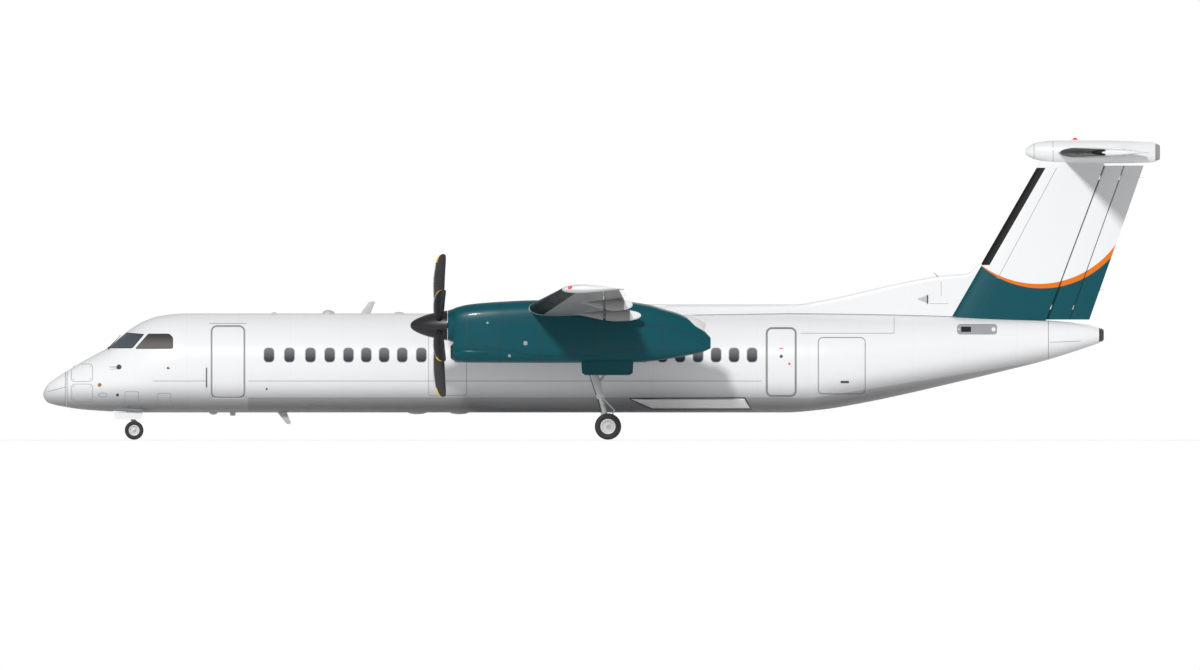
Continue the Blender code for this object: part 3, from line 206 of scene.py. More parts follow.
# Tail
FIN_TOP = 7.256
FIN_BOOT = 0.265
FIN_LE = ((26.54, 2.60), (29.25, 7.30))
RUDDER_HINGE = ((29.600, 2.73), (31.269, 7.256))
TRAIL_HINGE = ((30.205, 2.73), (31.807, 7.256))
RUDDER_TE = ((30.735, 2.73), (32.331, 7.256))
FIN_HALF = (0.118, 0.089)
TRAIL_HALF = (0.062, 0.047)
TAIL_H = 7.638
TAIL_SPAN = 9.27
TAIL_LE = (29.749, 30.826)
TAIL_TE = 32.370
TAIL_THICK = 0.12
TAIL_BOOT = 0.38
TAIL_HINGE = 0.70
ELEVATOR = (0.46, 4.44)
CLEAR = 0.008
# columns: station, top, bottom, half width
BULLET = (
    (28.860, 7.690, 7.620, 0.035),
    (28.950, 7.810, 7.520, 0.130),
    (29.200, 7.930, 7.420, 0.230),
    (29.670, 7.985, 7.345, 0.300),
    (30.400, 7.990, 7.318, 0.330),
    (31.400, 7.985, 7.318, 0.320),
    (32.200, 7.960, 7.330, 0.250),
    (32.600, 7.940, 7.350, 0.180),
    (32.810, 7.880, 7.410, 0.110),
)
# columns: station, half width, top
WING_FAIRING = (
    (13.30, 0.25, 2.93),
    (13.70, 0.62, 3.03),
    (14.20, 0.95, 3.14),
    (14.80, 1.12, 3.20),
    (16.60, 1.12, 3.195),
    (17.30, 0.92, 3.19),
    (17.90, 0.60, 3.18),
    (18.30, 0.42, 3.173),
)
DORSAL = (
    (18.30, 0.42, 3.173),
    (20.50, 0.30, 3.173),
    (22.15, 0.17, 3.178),
    (22.70, 0.13, 3.260),
    (26.50, 0.10, 4.030),
    (27.18, 0.09, 4.085),
    (27.52, 0.08, 4.370),
    (27.90, 0.07, 4.370),
)
BELLY_FAIRING = ((17.26, 0.397), (17.89, 0.118), (20.77, 0.118), (20.60, 0.412))

# Exhaust, as distances along its axis and radii, back inside from its rim
NOZZLE_ROWS = ((0.30, 0.20), (0.42, 0.27), (0.55, 0.315), (0.68, 0.327), (0.82, 0.310), (0.94, 0.275),
               (1.03, 0.240), (1.09, 0.210), (1.118, 0.192), (1.112, 0.184), (1.00, 0.180), (0.67, 0.178))
# Intake scoop, columns: station, half width, half height
CHIN = ((12.00, 0.350, 0.215), (12.04, 0.42, 0.236), (12.12, 0.510, 0.252), (12.25, 0.585, 0.262),
        (12.45, 0.632, 0.262), (12.70, 0.650, 0.245), (13.05, 0.640, 0.190))
COWL_ROUND = ((0.0, -0.05), (0.005, -0.030), (0.020, -0.012), (0.045, -0.002))
COLLAR = ((11.889, 0.430), (11.894, 0.437), (11.96, 0.462), (12.04, 0.487), (12.127, 0.512), (12.30, 0.545))
SPINNER_SHAPE = ((10.787, 0.0), (10.80, 0.055), (10.83, 0.10), (10.95, 0.185), (11.15, 0.275), (11.40, 0.35),
                 (11.65, 0.405), (11.877, 0.44))
# columns: radius, chord, thickness, sweep aft
BLADE = (
    (0.26, 0.14, 0.120, 0.00),
    (0.47, 0.15, 0.110, 0.00),
    (0.75, 0.30, 0.060, -0.02),
    (1.30, 0.34, 0.038, -0.01),
    (1.85, 0.30, 0.024, 0.04),
    (2.04, 0.22, 0.016, 0.08),
    (2.10, 0.10, 0.010, 0.11),
)
# Intake lip, columns: distance behind the cowl's front, growth of the duct's outline
LIP = ((0.16, 0.020), (-0.02, 0.036), (-0.050, 0.034), (-0.070, 0.024), (-0.080, 0.012), (-0.076, 0.002),
       (-0.06, -0.003), (0.0, -0.006))
POD_SEAMS = (((13.43, 2.717), (14.59, 2.717)), ((12.46, 2.04), (14.5, 1.66)), ((14.5, 1.66), (16.30, 1.66)),
             ((16.2, 2.556), (18.17, 2.556)), ((18.19, 2.556), (19.42, 2.16)))
WELL_EDGE = ((16.332, 1.52), (16.332, 1.78), (16.40, 1.836), (18.20, 1.836), (18.27, 1.78), (18.27, 1.60))
CHAMFERED = ((-1, -0.7), (-0.7, -1), (0.7, -1), (1, -0.7), (1, 0.7), (0.7, 1), (-0.7, 1), (-1, 0.7))
# Half of a rim, as shares of the tyre's width and of the bead's radius
RIM_PROFILE = (
    (0.30, 0.14), (0.30, 0.30), (0.27, 0.33), (0.10, 0.40), (0.05, 0.52), (0.10, 0.66), (0.24, 0.80),
    (0.31, 0.84), (0.33, 0.94), (0.33, 1.03), (0.30, 1.03), (0.28, 0.97), (-0.28, 0.97), (-0.30, 1.03),
    (-0.33, 1.03), (-0.33, 0.94), (-0.28, 0.90), (-0.26, 0.82), (-0.12, 0.72), (-0.10, 0.40), (-0.12, 0.14),
)

# Body trim: seams from end to end, access panels as corners and radius, probe and vane
BODY_SEAMS = (
    ((3.22, 0.925), (4.78, 0.925)), ((6.03, 0.925), (21.1, 0.925)), ((6.03, 0.426), (17.2, 0.426)),
    ((20.65, 0.426), (22.0, 0.426)), ((0.14, 0.612), (0.65, 0.742)), ((22.25, 2.33), (25.0, 2.33)),
    ((25.0, 2.33), (25.0, 2.80)), ((29.57, 2.06), (30.47, 2.10)), ((4.874, 2.618), (5.961, 2.618)),
)
BODY_PANELS = (
    ((0.83, 0.915), (1.452, 1.425), 0.09), ((0.84, 0.308), (1.452, 0.835), 0.09),
    ((2.407, 0.176), (2.80, 0.611), 0.03), ((3.37, 0.176), (3.752, 0.564), 0.03),
    ((11.326, 0.50), (12.442, 2.45), 0.06),
)
PITOT, VANE = (2.23, 1.337), (3.67, 1.307)
# Cabin window frame, columns: growth of the outline, height above the skin
WINDOW_STEPS = ((0.020, -0.001), (0.017, 0.005), (0.004, 0.006), (0.0, 0.003))

# Stage. The suns are name, strength, angle and turn in degrees
FLOOR_HALF = 56
WORLD_LIGHT = (0.37, (0.98, 0.985, 1.0, 1.0))
SUNS = (("key", 2.05, 5.0, (64.5, 0, -12.7)), ("fill", 0.65, 40.0, (58, 0, 155)))
CAMERA_AT = (-0.045, -60.0, 3.077)
CAMERA_WIDTH = 35.25

# Fairing of the fin and tailplane, with the square root of the distance behind its nose
BULLET_ROWS = [(sqrt(row[0] - BULLET[0][0]), *row[1:]) for row in BULLET]


def length(name, description, default, low, high):
    """A length of the sidebar, in metres."""
    return FloatProperty(name=name, description=description, default=default, min=low, max=high,
                         unit="LENGTH")


def paint(name, description, default):
    """A colour of the sidebar."""
    return FloatVectorProperty(name=name, description=description, default=default, subtype="COLOR", size=3,
                               min=0.0, max=1.0)


class AirlinerSizes(PropertyGroup):
    """Sizes of what is added to the frame."""

    window_width: length("Window width", "Clear width of a cabin window", 0.285, 0.1, 0.6)
    window_height: length("Window height", "Clear height of a cabin window", 0.405, 0.1, 0.8)
    seal_width: length("Seal width", "Width of the seal round a door", 0.046, 0.005, 0.08)
    seam_width: length("Seam width", "Width of a skin seam", 0.018, 0.002, 0.05)
    boot_width: length("Wing boot width", "Width of the wing's de-icing boot along the chord", 0.40, 0.1, 0.6)
    tip_band: length("Blade tip band", "Length of the yellow mark at a blade tip", 0.27, 0.0, 0.6)
    hull_sides: IntProperty(name="Hull sides", description="Points round a body section",
                            default=96, min=24, max=256)


class AirlinerColours(PropertyGroup):
    """Paint colours, among them the belly and wing greys, which are painted shade."""

    white: paint("White", "Body paint", (0.86, 0.865, 0.87))
    # The belly grey is painted shade, laid under the body towards the keel.
    belly: paint("Belly", "Grey under the body", (0.20, 0.20, 0.205))
    teal: paint("Teal", "Nacelle and tail paint", (0.0045, 0.080, 0.101))
    orange: paint("Orange", "Band on the tail", (0.80, 0.185, 0.013))
    # The wing grey is painted shade: the undersides take it, darker than the tops.
    wing_grey: paint("Wing grey", "Underside of the wing", (0.29, 0.29, 0.292))
    boot: paint("Boot", "Black rubber of the boots", (0.011, 0.011, 0.0115))


# Curves and points

def sideways(y):
    """A step across, to starboard."""
    return Vector((0, y, 0))


def spot(station, height, y=0.0):
    """A point from its station, height over the keel line and side position."""
    return Vector((NOSE_X + station, y, KEEL + height))


def through(rows, x):
    """Values at x on smooth curves through the rows, which never overshoot them."""
    last = len(rows) - 1
    i = 0
    while i < last - 1 and rows[i + 1][0] <= x:
        i += 1
    a, b = rows[i], rows[i + 1]
    span = b[0] - a[0]
    t = min(1.0, max(0.0, (x - a[0]) / span))

    def tangent(j, c):
        if j == 0 or j == last:
            return (rows[min(j + 1, last)][c] - rows[max(j - 1, 0)][c]) / (
                rows[min(j + 1, last)][0] - rows[max(j - 1, 0)][0])
        before = (rows[j][c] - rows[j - 1][c]) / (rows[j][0] - rows[j - 1][0])
        after = (rows[j + 1][c] - rows[j][c]) / (rows[j + 1][0] - rows[j][0])
        return 0.0 if before * after <= 0 else 2 * before * after / (before + after)

    values = []
    for c in range(1, len(a)):
        start, end = tangent(i, c) * span, tangent(i + 1, c) * span
        values.append(
            a[c] * (1 + 2 * t) * (1 - t) ** 2 + start * t * (1 - t) ** 2
            + b[c] * t * t * (3 - 2 * t) + end * t * t * (t - 1))
    return values


def spread(start, end, count):
    """Evenly spaced values from start to end."""
    return [start + (end - start) * k / count for k in range(count + 1)]


def circle(centre, axis, forward, radius, sides):
    """Points round an axis, the first one towards forward."""
    axis = Vector(axis).normalized()
    start = Vector(forward) - axis * Vector(forward).dot(axis)
    start.normalize()
    across = axis.cross(start)
    turns = [2 * pi * k / sides for k in range(sides)]
    return [Vector(centre) + radius * (cos(t) * start + sin(t) * across) for t in turns]


def ellipse(station, middle, rise, half, sides, y=0.0):
    """An upright ring at a station, from its starboard side upwards."""
    turns = [2 * pi * k / sides for k in range(sides)]
    return [spot(station, middle + rise * sin(t), y + half * cos(t)) for t in turns]


def rounded(low, high, radius, steps=6):
    """Outline of a rectangle with round corners, as pairs, anticlockwise."""
    radius = max(0.001, min(radius, (high[0] - low[0]) / 2 - 0.0005, (high[1] - low[1]) / 2 - 0.0005))
    corners = ((high[0], low[1], -1, 1, -pi / 2), (high[0], high[1], -1, -1, 0.0),
               (low[0], high[1], 1, -1, pi / 2), (low[0], low[1], 1, 1, pi))
    outline = []
    for x, z, inward_x, inward_z, start in corners:
        for k in range(steps + 1):
            turn = start + pi / 2 * k / steps
            outline.append((x + inward_x * radius + radius * cos(turn),
                            z + inward_z * radius + radius * sin(turn)))
    return outline


def nested(low, high, radius, insets, shrink=1.0, steps=6):
    """Outlines of the same rounded rectangle, each moved inwards by an inset."""
    return [rounded((low[0] + i, low[1] + i), (high[0] - i, high[1] - i), radius - i * shrink,
                    steps) for i in insets]


def filleted(corners, radius, inset=0.0, steps=4):
    """Outline of a convex polygon, moved inwards by inset, with round corners."""
    count = len(corners)
    points = [Vector(c) for c in corners]
    area = sum(a.x * b.y - b.x * a.y for a, b in zip(points, points[1:] + points[:1]))
    if area < 0:
        points.reverse()
    moved = []
    for i in range(count):
        before, here, after = points[i - 1], points[i], points[(i + 1) % count]
        a, b = (here - before).normalized(), (after - here).normalized()
        normal_a, normal_b = Vector((-a.y, a.x)), Vector((-b.y, b.x))
        moved.append(here + (normal_a + normal_b) * inset / (1 + normal_a.dot(normal_b)))
    outline = []
    for i in range(count):
        before, here, after = moved[i - 1], moved[i], moved[(i + 1) % count]
        a, b = (before - here).normalized(), (after - here).normalized()
        start, end = here + a * radius, here + b * radius
        for k in range(steps + 1):
            t = k / steps
            outline.append(tuple(start * (1 - t) ** 2 + here * 2 * t * (1 - t) + end * t * t))
    return outline


# Mesh makers

def finished(name, bm, materials, smooth=32.0, recalc=True):
    """Turn a bmesh into an object that sits at the origin."""
    if recalc:
        bmesh.ops.recalc_face_normals(bm, faces=bm.faces[:])
    mesh = bpy.data.meshes.new(name)
    bm.to_mesh(mesh)
    bm.free()
    made = bpy.data.objects.new(name, mesh)
    bpy.context.scene.collection.objects.link(made)
    for material in materials if isinstance(materials, (list, tuple)) else [materials]:
        mesh.materials.append(finish(material))
    if smooth:
        mesh.shade_smooth()
        mesh.set_sharp_from_angle(angle=radians(smooth))
    return made


def seated(piece, body, slot, *nodes):
    """Let a piece ride on a body and stand for the nodes that it replaces; its slot is not used."""
    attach(piece, body)
    if nodes:
        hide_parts(*nodes)
    return piece


def keep(name, bm, materials, body, slot, *nodes, smooth=32.0):
    """Turn a bmesh into a piece and seat it."""
    return seated(finished(name, bm, materials, smooth), body, slot, *nodes)


def grow_rings(bm, rings, cap_start=True, cap_end=True, material=0):
    """Lay down the first ring, extrude each next one to its place, and close the ends."""
    count = len(rings[0])
    row = [bm.verts.new(p) for p in rings[0]]
    edges = [bm.edges.new((row[i], row[(i + 1) % count])) for i in range(count)]
    first = row
    faces = []
    for ring in rings[1:]:
        grown = bmesh.ops.extrude_edge_only(bm, edges=edges)["geom"]
        fresh = {v for v in grown if isinstance(v, bmesh.types.BMVert)}
        faces += [f for f in grown if isinstance(f, bmesh.types.BMFace)]
        row = [next(e.other_vert(v) for e in v.link_edges if e.other_vert(v) in fresh) for v in row]
        for vert, place in zip(row, ring):
            vert.co = place
        edges = [bm.edges.get((row[i], row[(i + 1) % count])) for i in range(count)]
    if cap_start:
        faces.append(bm.faces.new(first))
    if cap_end:
        faces.append(bm.faces.new(row))
    for face in faces:
        face.material_index = material
    return faces


def tube(name, rings, materials, smooth=32.0):
    """A closed skin through rings of points."""
    bm = bmesh.new()
    grow_rings(bm, rings)
    return finished(name, bm, materials, smooth)


def add_bar(bm, start, end, radius, end_radius=None, sides=16, lip=0.0, material=0):
    """Add a round bar with chamfered rims to a bmesh."""
    start, end = Vector(start), Vector(end)
    last = radius if end_radius is None else end_radius
    axis = (end - start).normalized()
    forward = Vector((0, 0, 1)) if abs(axis.z) < 0.9 else Vector((1, 0, 0))
    rings = [circle(start, axis, forward, radius - lip, sides)]
    if lip:
        rings.append(circle(start + axis * lip, axis, forward, radius, sides))
        rings.append(circle(end - axis * lip, axis, forward, last, sides))
    rings.append(circle(end, axis, forward, last - lip, sides))
    return grow_rings(bm, rings, material=material)


def add_block(bm, low, high, material=0):
    """Add a box between two corners."""
    low, high = Vector(low), Vector(high)
    place = Matrix.Translation((low + high) / 2) @ Matrix.Diagonal((*(high - low), 1.0))
    made = bmesh.ops.create_cube(bm, size=1.0, matrix=place)["verts"]
    for face in {f for v in made for f in v.link_faces}:
        face.material_index = material


def add_pin(bm, centre, half, radius, **shape):
    """Add a round bar that lies across, on both sides of a centre."""
    return add_bar(bm, centre - sideways(half), centre + sideways(half), radius, **shape)


def add_ball(bm, centre, radius, segments, rings):
    """Add a ball, which rounds the joint of two bars."""
    bmesh.ops.create_uvsphere(bm, u_segments=segments, v_segments=rings, radius=radius,
                              matrix=Matrix.Translation(centre))


def add_wick(bm, tail, reach, drop=0.0, material=0):
    """Add a static wick behind a trailing edge."""
    add_bar(bm, tail - Vector((0.03, 0, 0)), tail + Vector((reach, 0, -drop)), 0.006, 0.003, sides=8,
            material=material)


def add_pivots(bm, ends, shares, trim, lean=1.0):
    """Add the round fittings that bridge the joint ahead of a hinged surface."""
    (hinge_a, _, radius_a), (hinge_b, _, radius_b) = ends
    span = hinge_b - hinge_a
    half = span.normalized() * 0.010
    for share in shares:
        centre = hinge_a + span * share
        radius = (radius_a + (radius_b - radius_a) * share + CLEAR) * lean - trim
        add_bar(bm, centre - half, centre + half, radius, sides=40, material=1)


def add_slab(bm, outline, across, material=0):
    """Add a flat outline of points, extruded by a vector."""
    face = bm.faces.new([bm.verts.new(p) for p in outline])
    face.material_index = material
    grown = bmesh.ops.extrude_face_region(bm, geom=[face])["geom"]
    bmesh.ops.translate(bm, verts=[v for v in grown if isinstance(v, bmesh.types.BMVert)], vec=Vector(across))
    return grown


def gear_door(fore, aft, corners):
    """Outline of a gear door from the corners of its fore end: how far in, and height."""
    return [(fore + x, h) for x, h in corners] + [(aft - x, h) for x, h in reversed(corners)]


def add_leaf(bm, outline, y_from, y_to):
    """Add an upright leaf between two side positions."""
    low_y, high_y = sorted((y_from, y_to))
    add_slab(bm, [spot(s, h, low_y) for s, h in outline], (0, high_y - low_y, 0))


def add_links(bm, joints, wide, narrow, radius, sides):
    """Add a pair of arms, folded at a middle joint."""
    for a, b in zip(joints, joints[1:]):
        for hand in (-1, 1):
            add_bar(bm, a + sideways(hand * wide), b + sideways(hand * narrow), radius, sides=sides)


def carve(target, cutter, operation="DIFFERENCE"):
    """Cut, join or keep the overlap with another piece, which is used up."""
    step = target.modifiers.new("form", "BOOLEAN")
    step.operation = operation
    step.solver = "EXACT"
    step.object = cutter
    bpy.context.view_layer.update()
    shaped = target.evaluated_get(bpy.context.evaluated_depsgraph_get())
    mesh = bpy.data.meshes.new_from_object(shaped)
    old = target.data
    target.modifiers.clear()
    target.data = mesh
    mesh.name = target.name
    bpy.data.meshes.remove(old)
    bpy.data.objects.remove(cutter, do_unlink=True)
    return target


def shaded(piece, smooth=32.0):
    """Shade a carved piece smooth again, with its sharp edges kept."""
    piece.data.shade_smooth()
    piece.data.set_sharp_from_angle(angle=radians(smooth))
    return piece


# Materials

RELIEF_DEPTH = 0.002


def node(tree, kind, x, y, **settings):
    """Add a shader node and set its properties."""
    made = tree.nodes.new(kind)
    made.location = (x, y)
    for key, value in settings.items():
        setattr(made, key, value)
    return made


def group_of(name, inputs, outputs):
    """A new shader group with named sockets, and its two ends."""
    tree = bpy.data.node_groups.new(name, "ShaderNodeTree")
    for label, kind, value in inputs:
        socket = tree.interface.new_socket(label, in_out="INPUT", socket_type=kind)
        if value is not None:
            socket.default_value = value
    for label, kind in outputs:
        tree.interface.new_socket(label, in_out="OUTPUT", socket_type=kind)
    return tree, node(tree, "NodeGroupInput", -900, 0), node(tree, "NodeGroupOutput", 700, 0)


def film_group():
    """Paint film: soft colour variation, roughness variation and a fine orange-peel height."""
    if "paint_film" in bpy.data.node_groups:
        return bpy.data.node_groups["paint_film"]
    tree, start, end = group_of(
        "paint_film",
        (("Vector", "NodeSocketVector", None), ("Color", "NodeSocketColor", (1, 1, 1, 1)),
         ("Variation", "NodeSocketFloat", 0.04), ("Scale", "NodeSocketFloat", 0.8),
         ("Roughness", "NodeSocketFloat", 0.3), ("Peel", "NodeSocketFloat", 90.0)),
        (("Color", "NodeSocketColor"), ("Roughness", "NodeSocketFloat"), ("Height", "NodeSocketFloat")))
    given, link = start.outputs, tree.links.new
    broad, fine = [node(tree, "ShaderNodeTexNoise", -650, y) for y in (200, -200)]
    for noise, detail, scale in ((broad, 5.0, "Scale"), (fine, 1.0, "Peel")):
        noise.inputs["Detail"].default_value = detail
        link(given["Vector"], noise.inputs["Vector"])
        link(given[scale], noise.inputs["Scale"])
    swing = math(tree, "MULTIPLY", math(tree, "SUBTRACT", broad.outputs["Fac"], 0.5), given["Variation"])
    tint = node(tree, "ShaderNodeVectorMath", 300, 200, operation="SCALE")
    link(given["Color"], tint.inputs[0])
    link(math(tree, "ADD", swing, 1.0), tint.inputs["Scale"])
    rough = math(tree, "ADD", math(tree, "MULTIPLY", swing, 1.5), given["Roughness"], clamp=True)
    for label, socket in (("Color", tint.outputs[0]), ("Roughness", rough), ("Height", fine.outputs["Fac"])):
        link(socket, end.inputs[label])
    return tree


def seam_group():
    """Dark seams at an even pitch along one direction of a vector."""
    if "panel_seams" in bpy.data.node_groups:
        return bpy.data.node_groups["panel_seams"]
    tree, start, end = group_of(
        "panel_seams",
        (("Position", "NodeSocketFloat", 0.0), ("Pitch", "NodeSocketFloat", 1.0),
         ("Width", "NodeSocketFloat", 0.01)),
        (("Seam", "NodeSocketFloat"),))
    given = start.outputs
    fold = math(tree, "PINGPONG", given["Position"], math(tree, "MULTIPLY", given["Pitch"], 0.5))
    seam = math(tree, "SUBTRACT", 1.0, math(tree, "DIVIDE", fold, given["Width"]), clamp=True)
    tree.links.new(seam, end.inputs["Seam"])
    return tree


def new_material(name, metallic=0.0, coat=0.0, shine=0.5):
    """A material with a bare Principled shader, and the parts that go on it."""
    made = bpy.data.materials.new(name)
    made.use_nodes = True
    shader = made.node_tree.nodes["Principled BSDF"]
    for label, value in (("Metallic", metallic), ("Specular IOR Level", shine), ("Coat Weight", coat),
                         ("Coat Roughness", 0.06)):
        shader.inputs[label].default_value = value
    place = node(made.node_tree, "ShaderNodeTexCoord", -1400, 0)
    return made, shader, place.outputs["Object"]


def add_film(made, shader, vector, colour, rough, variation=0.04, scale=0.8, peel=90.0, bump=0.02):
    """Put the paint film between a colour and the shader. The colour is a value or a socket."""
    tree = made.node_tree
    film = node(tree, "ShaderNodeGroup", -400, 0, node_tree=film_group())
    relief = node(tree, "ShaderNodeBump", -180, -300)
    for part, label, value in ((film, "Variation", variation), (film, "Scale", scale),
                               (film, "Roughness", rough), (film, "Peel", peel), (relief, "Strength", bump),
                               (relief, "Distance", RELIEF_DEPTH)):
        part.inputs[label].default_value = value
    link = tree.links.new
    link(vector, film.inputs["Vector"])
    if isinstance(colour, bpy.types.NodeSocket):
        link(colour, film.inputs["Color"])
    else:
        film.inputs["Color"].default_value = (*colour, 1.0)
    link(film.outputs["Color"], shader.inputs["Base Color"])
    link(film.outputs["Roughness"], shader.inputs["Roughness"])
    link(film.outputs["Height"], relief.inputs["Height"])
    link(relief.outputs["Normal"], shader.inputs["Normal"])


def math(tree, operation, *values, clamp=False):
    """A math node fed by sockets or numbers, as its result socket."""
    made = node(tree, "ShaderNodeMath", -900, 0, operation=operation, use_clamp=clamp)
    for index, value in enumerate(values):
        if isinstance(value, bpy.types.NodeSocket):
            tree.links.new(value, made.inputs[index])
        else:
            made.inputs[index].default_value = value
    return made.outputs[0]


def mixed(tree, factor, a, b):
    """Mix two colours, each a value or a socket, by a factor socket."""
    made = node(tree, "ShaderNodeMix", -650, 0, data_type="RGBA")
    tree.links.new(factor, made.inputs["Factor"])
    for socket, value in ((made.inputs[6], a), (made.inputs[7], b)):
        if isinstance(value, bpy.types.NodeSocket):
            tree.links.new(value, socket)
        else:
            socket.default_value = (*value, 1.0)
    return made.outputs[2]


def ramp(tree, value, low, high):
    """A value from 0 at low to 1 at high, eased at both ends."""
    made = node(tree, "ShaderNodeMapRange", -800, 0, interpolation_type="SMOOTHSTEP")
    made.inputs["From Min"].default_value = low
    made.inputs["From Max"].default_value = high
    tree.links.new(value, made.inputs["Value"])
    return made.outputs["Result"]


def seams(tree, value, pitch, width):
    """Seams at a pitch along a value, as a mask socket."""
    made = node(tree, "ShaderNodeGroup", -900, -300, node_tree=seam_group())
    made.inputs["Pitch"].default_value = pitch
    made.inputs["Width"].default_value = width
    tree.links.new(value, made.inputs["Position"])
    return made.outputs["Seam"]


def split(tree, vector):
    """X, Y and Z of a vector socket."""
    made = node(tree, "ShaderNodeSeparateXYZ", -1200, 0)
    tree.links.new(vector, made.inputs[0])
    return made.outputs


def hull_white():
    """White body paint that turns grey under the belly, as painted shade, with faint frame seams."""
    colours = bpy.context.scene.airliner_colours
    made, shader, vector = new_material("hull_white", coat=0.2, shine=0.4)
    tree = made.node_tree
    x, _, z = split(tree, vector)
    # Painted shade: the white turns to the belly grey towards the keel, and starts higher towards the tail.
    aft = math(tree, "MAXIMUM", math(tree, "SUBTRACT", x, NOSE_X + 22.6), 0.0)
    level = math(tree, "SUBTRACT", z, math(tree, "MULTIPLY", aft, 0.16))
    unshaded_share = ramp(tree, level, KEEL + 0.02, KEEL + 0.95)
    paint = mixed(tree, unshaded_share, tuple(colours.belly), tuple(colours.white))
    below = ramp(tree, level, KEEL + 0.430, KEEL + 0.422)
    behind = ramp(tree, x, NOSE_X + 6.015, NOSE_X + 6.025)
    panel = math(tree, "MULTIPLY", math(tree, "MULTIPLY", below, behind), 0.24)
    paint = mixed(tree, panel, paint, (0.0, 0.0, 0.0))
    seam = math(tree, "MULTIPLY", seams(tree, x, 1.524, 0.006), 0.16)
    paint = mixed(tree, seam, paint, (0.30, 0.30, 0.31))
    add_film(made, shader, vector, paint, 0.26, variation=0.025, scale=0.5)
    return made


def tail_paint():
    """Fin paint: white above, an orange sweep, and teal below it."""
    colours = bpy.context.scene.airliner_colours
    made, shader, vector = new_material("tail_paint", coat=0.10, shine=0.2)
    tree = made.node_tree
    x, _, z = split(tree, vector)

    def distance(centre, radius):
        """How far a point lies outside a circle seen from the side."""
        dx = math(tree, "SUBTRACT", x, NOSE_X + centre[0])
        dz = math(tree, "SUBTRACT", z, KEEL + centre[1])
        squares = math(tree, "ADD", math(tree, "MULTIPLY", dx, dx), math(tree, "MULTIPLY", dz, dz))
        return math(tree, "SUBTRACT", math(tree, "SQRT", squares), radius)

    edge = 0.004
    low = ramp(tree, z, KEEL + 5.15, KEEL + 5.05)
    upper, lower = [math(tree, "MULTIPLY", ramp(tree, distance(*band), -edge, edge), low)
                    for band in (BAND_UPPER, BAND_LOWER)]
    paint = mixed(tree, upper, tuple(colours.white), tuple(colours.orange))
    paint = mixed(tree, lower, paint, tuple(colours.teal))
    add_film(made, shader, vector, paint, 0.26, variation=0.03, scale=0.6)
    return made


def arc_through(a, b, c):
    """Centre and radius of the circle through three points."""
    ax, az, bx, bz, cx, cz = *a, *b, *c
    d = 2 * (ax * (bz - cz) + bx * (cz - az) + cx * (az - bz))
    ux = ((ax**2 + az**2) * (bz - cz) + (bx**2 + bz**2) * (cz - az) + (cx**2 + cz**2) * (az - bz)) / d
    uz = ((ax**2 + az**2) * (cx - bx) + (bx**2 + bz**2) * (ax - cx) + (cx**2 + cz**2) * (bx - ax)) / d
    return (ux, uz), sqrt((ax - ux) ** 2 + (az - uz) ** 2)


# Upper and lower edges of the sweep: three points each, as stations and heights
BAND_UPPER = arc_through((27.93, 4.10), (29.31, 3.78), (31.47, 4.885))
BAND_LOWER = arc_through((27.515, 4.345), (29.31, 3.648), (31.38, 4.57))


def plain(name, colour, rough, variation=0.04, scale=0.8, peel=90.0, bump=0.02, coat=0.0, shine=0.5,
          metallic=0.0):
    """A material with one colour under the film."""
    made, shader, vector = new_material(name, metallic, coat, shine)
    add_film(made, shader, vector, sidebar_colour(colour), rough, variation, scale, peel, bump)
    return made


def sidebar_colour(colour):
    """A colour of the sidebar by its name, or the colour itself."""
    return tuple(getattr(bpy.context.scene.airliner_colours, colour)) if isinstance(colour, str) else colour


def wing_paint(name, colour):
    """Wing paint with rib seams."""
    made, shader, vector = new_material(name, coat=0.2)
    tree = made.node_tree
    _, y, _ = split(tree, vector)
    colour = sidebar_colour(colour)
    rib = math(tree, "MULTIPLY", seams(tree, y, 1.10, 0.006), 0.35)
    paint = mixed(tree, rib, colour, tuple(c * 0.45 for c in colour))
    add_film(made, shader, vector, paint, 0.36, variation=0.05, scale=0.9)
    return made


def brushed(name, colour, rough):
    """Bare metal with fine streaks along the airflow."""
    made, shader, vector = new_material(name, metallic=1.0)
    stretch = node(made.node_tree, "ShaderNodeMapping", -1100, -200)
    stretch.inputs["Scale"].default_value = (0.08, 1.0, 1.0)
    made.node_tree.links.new(vector, stretch.inputs["Vector"])
    add_film(made, shader, stretch.outputs["Vector"], colour, rough, variation=0.3, scale=14.0, peel=120.0,
             bump=0.06)
    return made


def cockpit_glass():
    """Dark coated glass that pales towards its lower edge, which is a painted reflection."""
    made, shader, vector = new_material("cockpit_glass", coat=0.2, shine=0.3)
    tree = made.node_tree
    x, _, z = split(tree, vector)
    low = ramp(tree, z, KEEL + 1.95, KEEL + 2.32)
    slant = math(tree, "MULTIPLY", math(tree, "SUBTRACT", z, KEEL + 1.885), 0.84)
    aft = ramp(tree, math(tree, "SUBTRACT", x, slant), NOSE_X + 2.63, NOSE_X + 2.67)
    # Painted reflection: the panes pale towards their lower edge, the side panes most.
    front = mixed(tree, low, (0.072, 0.090, 0.112), (0.058, 0.073, 0.092))
    side = mixed(tree, low, (0.150, 0.138, 0.132), (0.045, 0.042, 0.042))
    paint = mixed(tree, aft, front, side)
    add_film(made, shader, vector, paint, 0.10, variation=0.04, scale=1.2, bump=0.0)
    return made


def cabin_glass():
    """Cabin window pane, paler above and darker below, which is a painted reflection."""
    made, shader, vector = new_material("cabin_glass", coat=0.2, shine=0.3)
    tree = made.node_tree
    _, _, z = split(tree, vector)
    low = ramp(tree, z, KEEL + WINDOW_LEVEL - 0.2, KEEL + WINDOW_LEVEL + 0.2)
    # Painted reflection: the pane is paler towards its top and darker towards its bottom.
    paint = mixed(tree, low, (0.040, 0.046, 0.060), (0.185, 0.180, 0.188))
    add_film(made, shader, vector, paint, 0.12, variation=0.04, scale=2.0, bump=0.0)
    return made


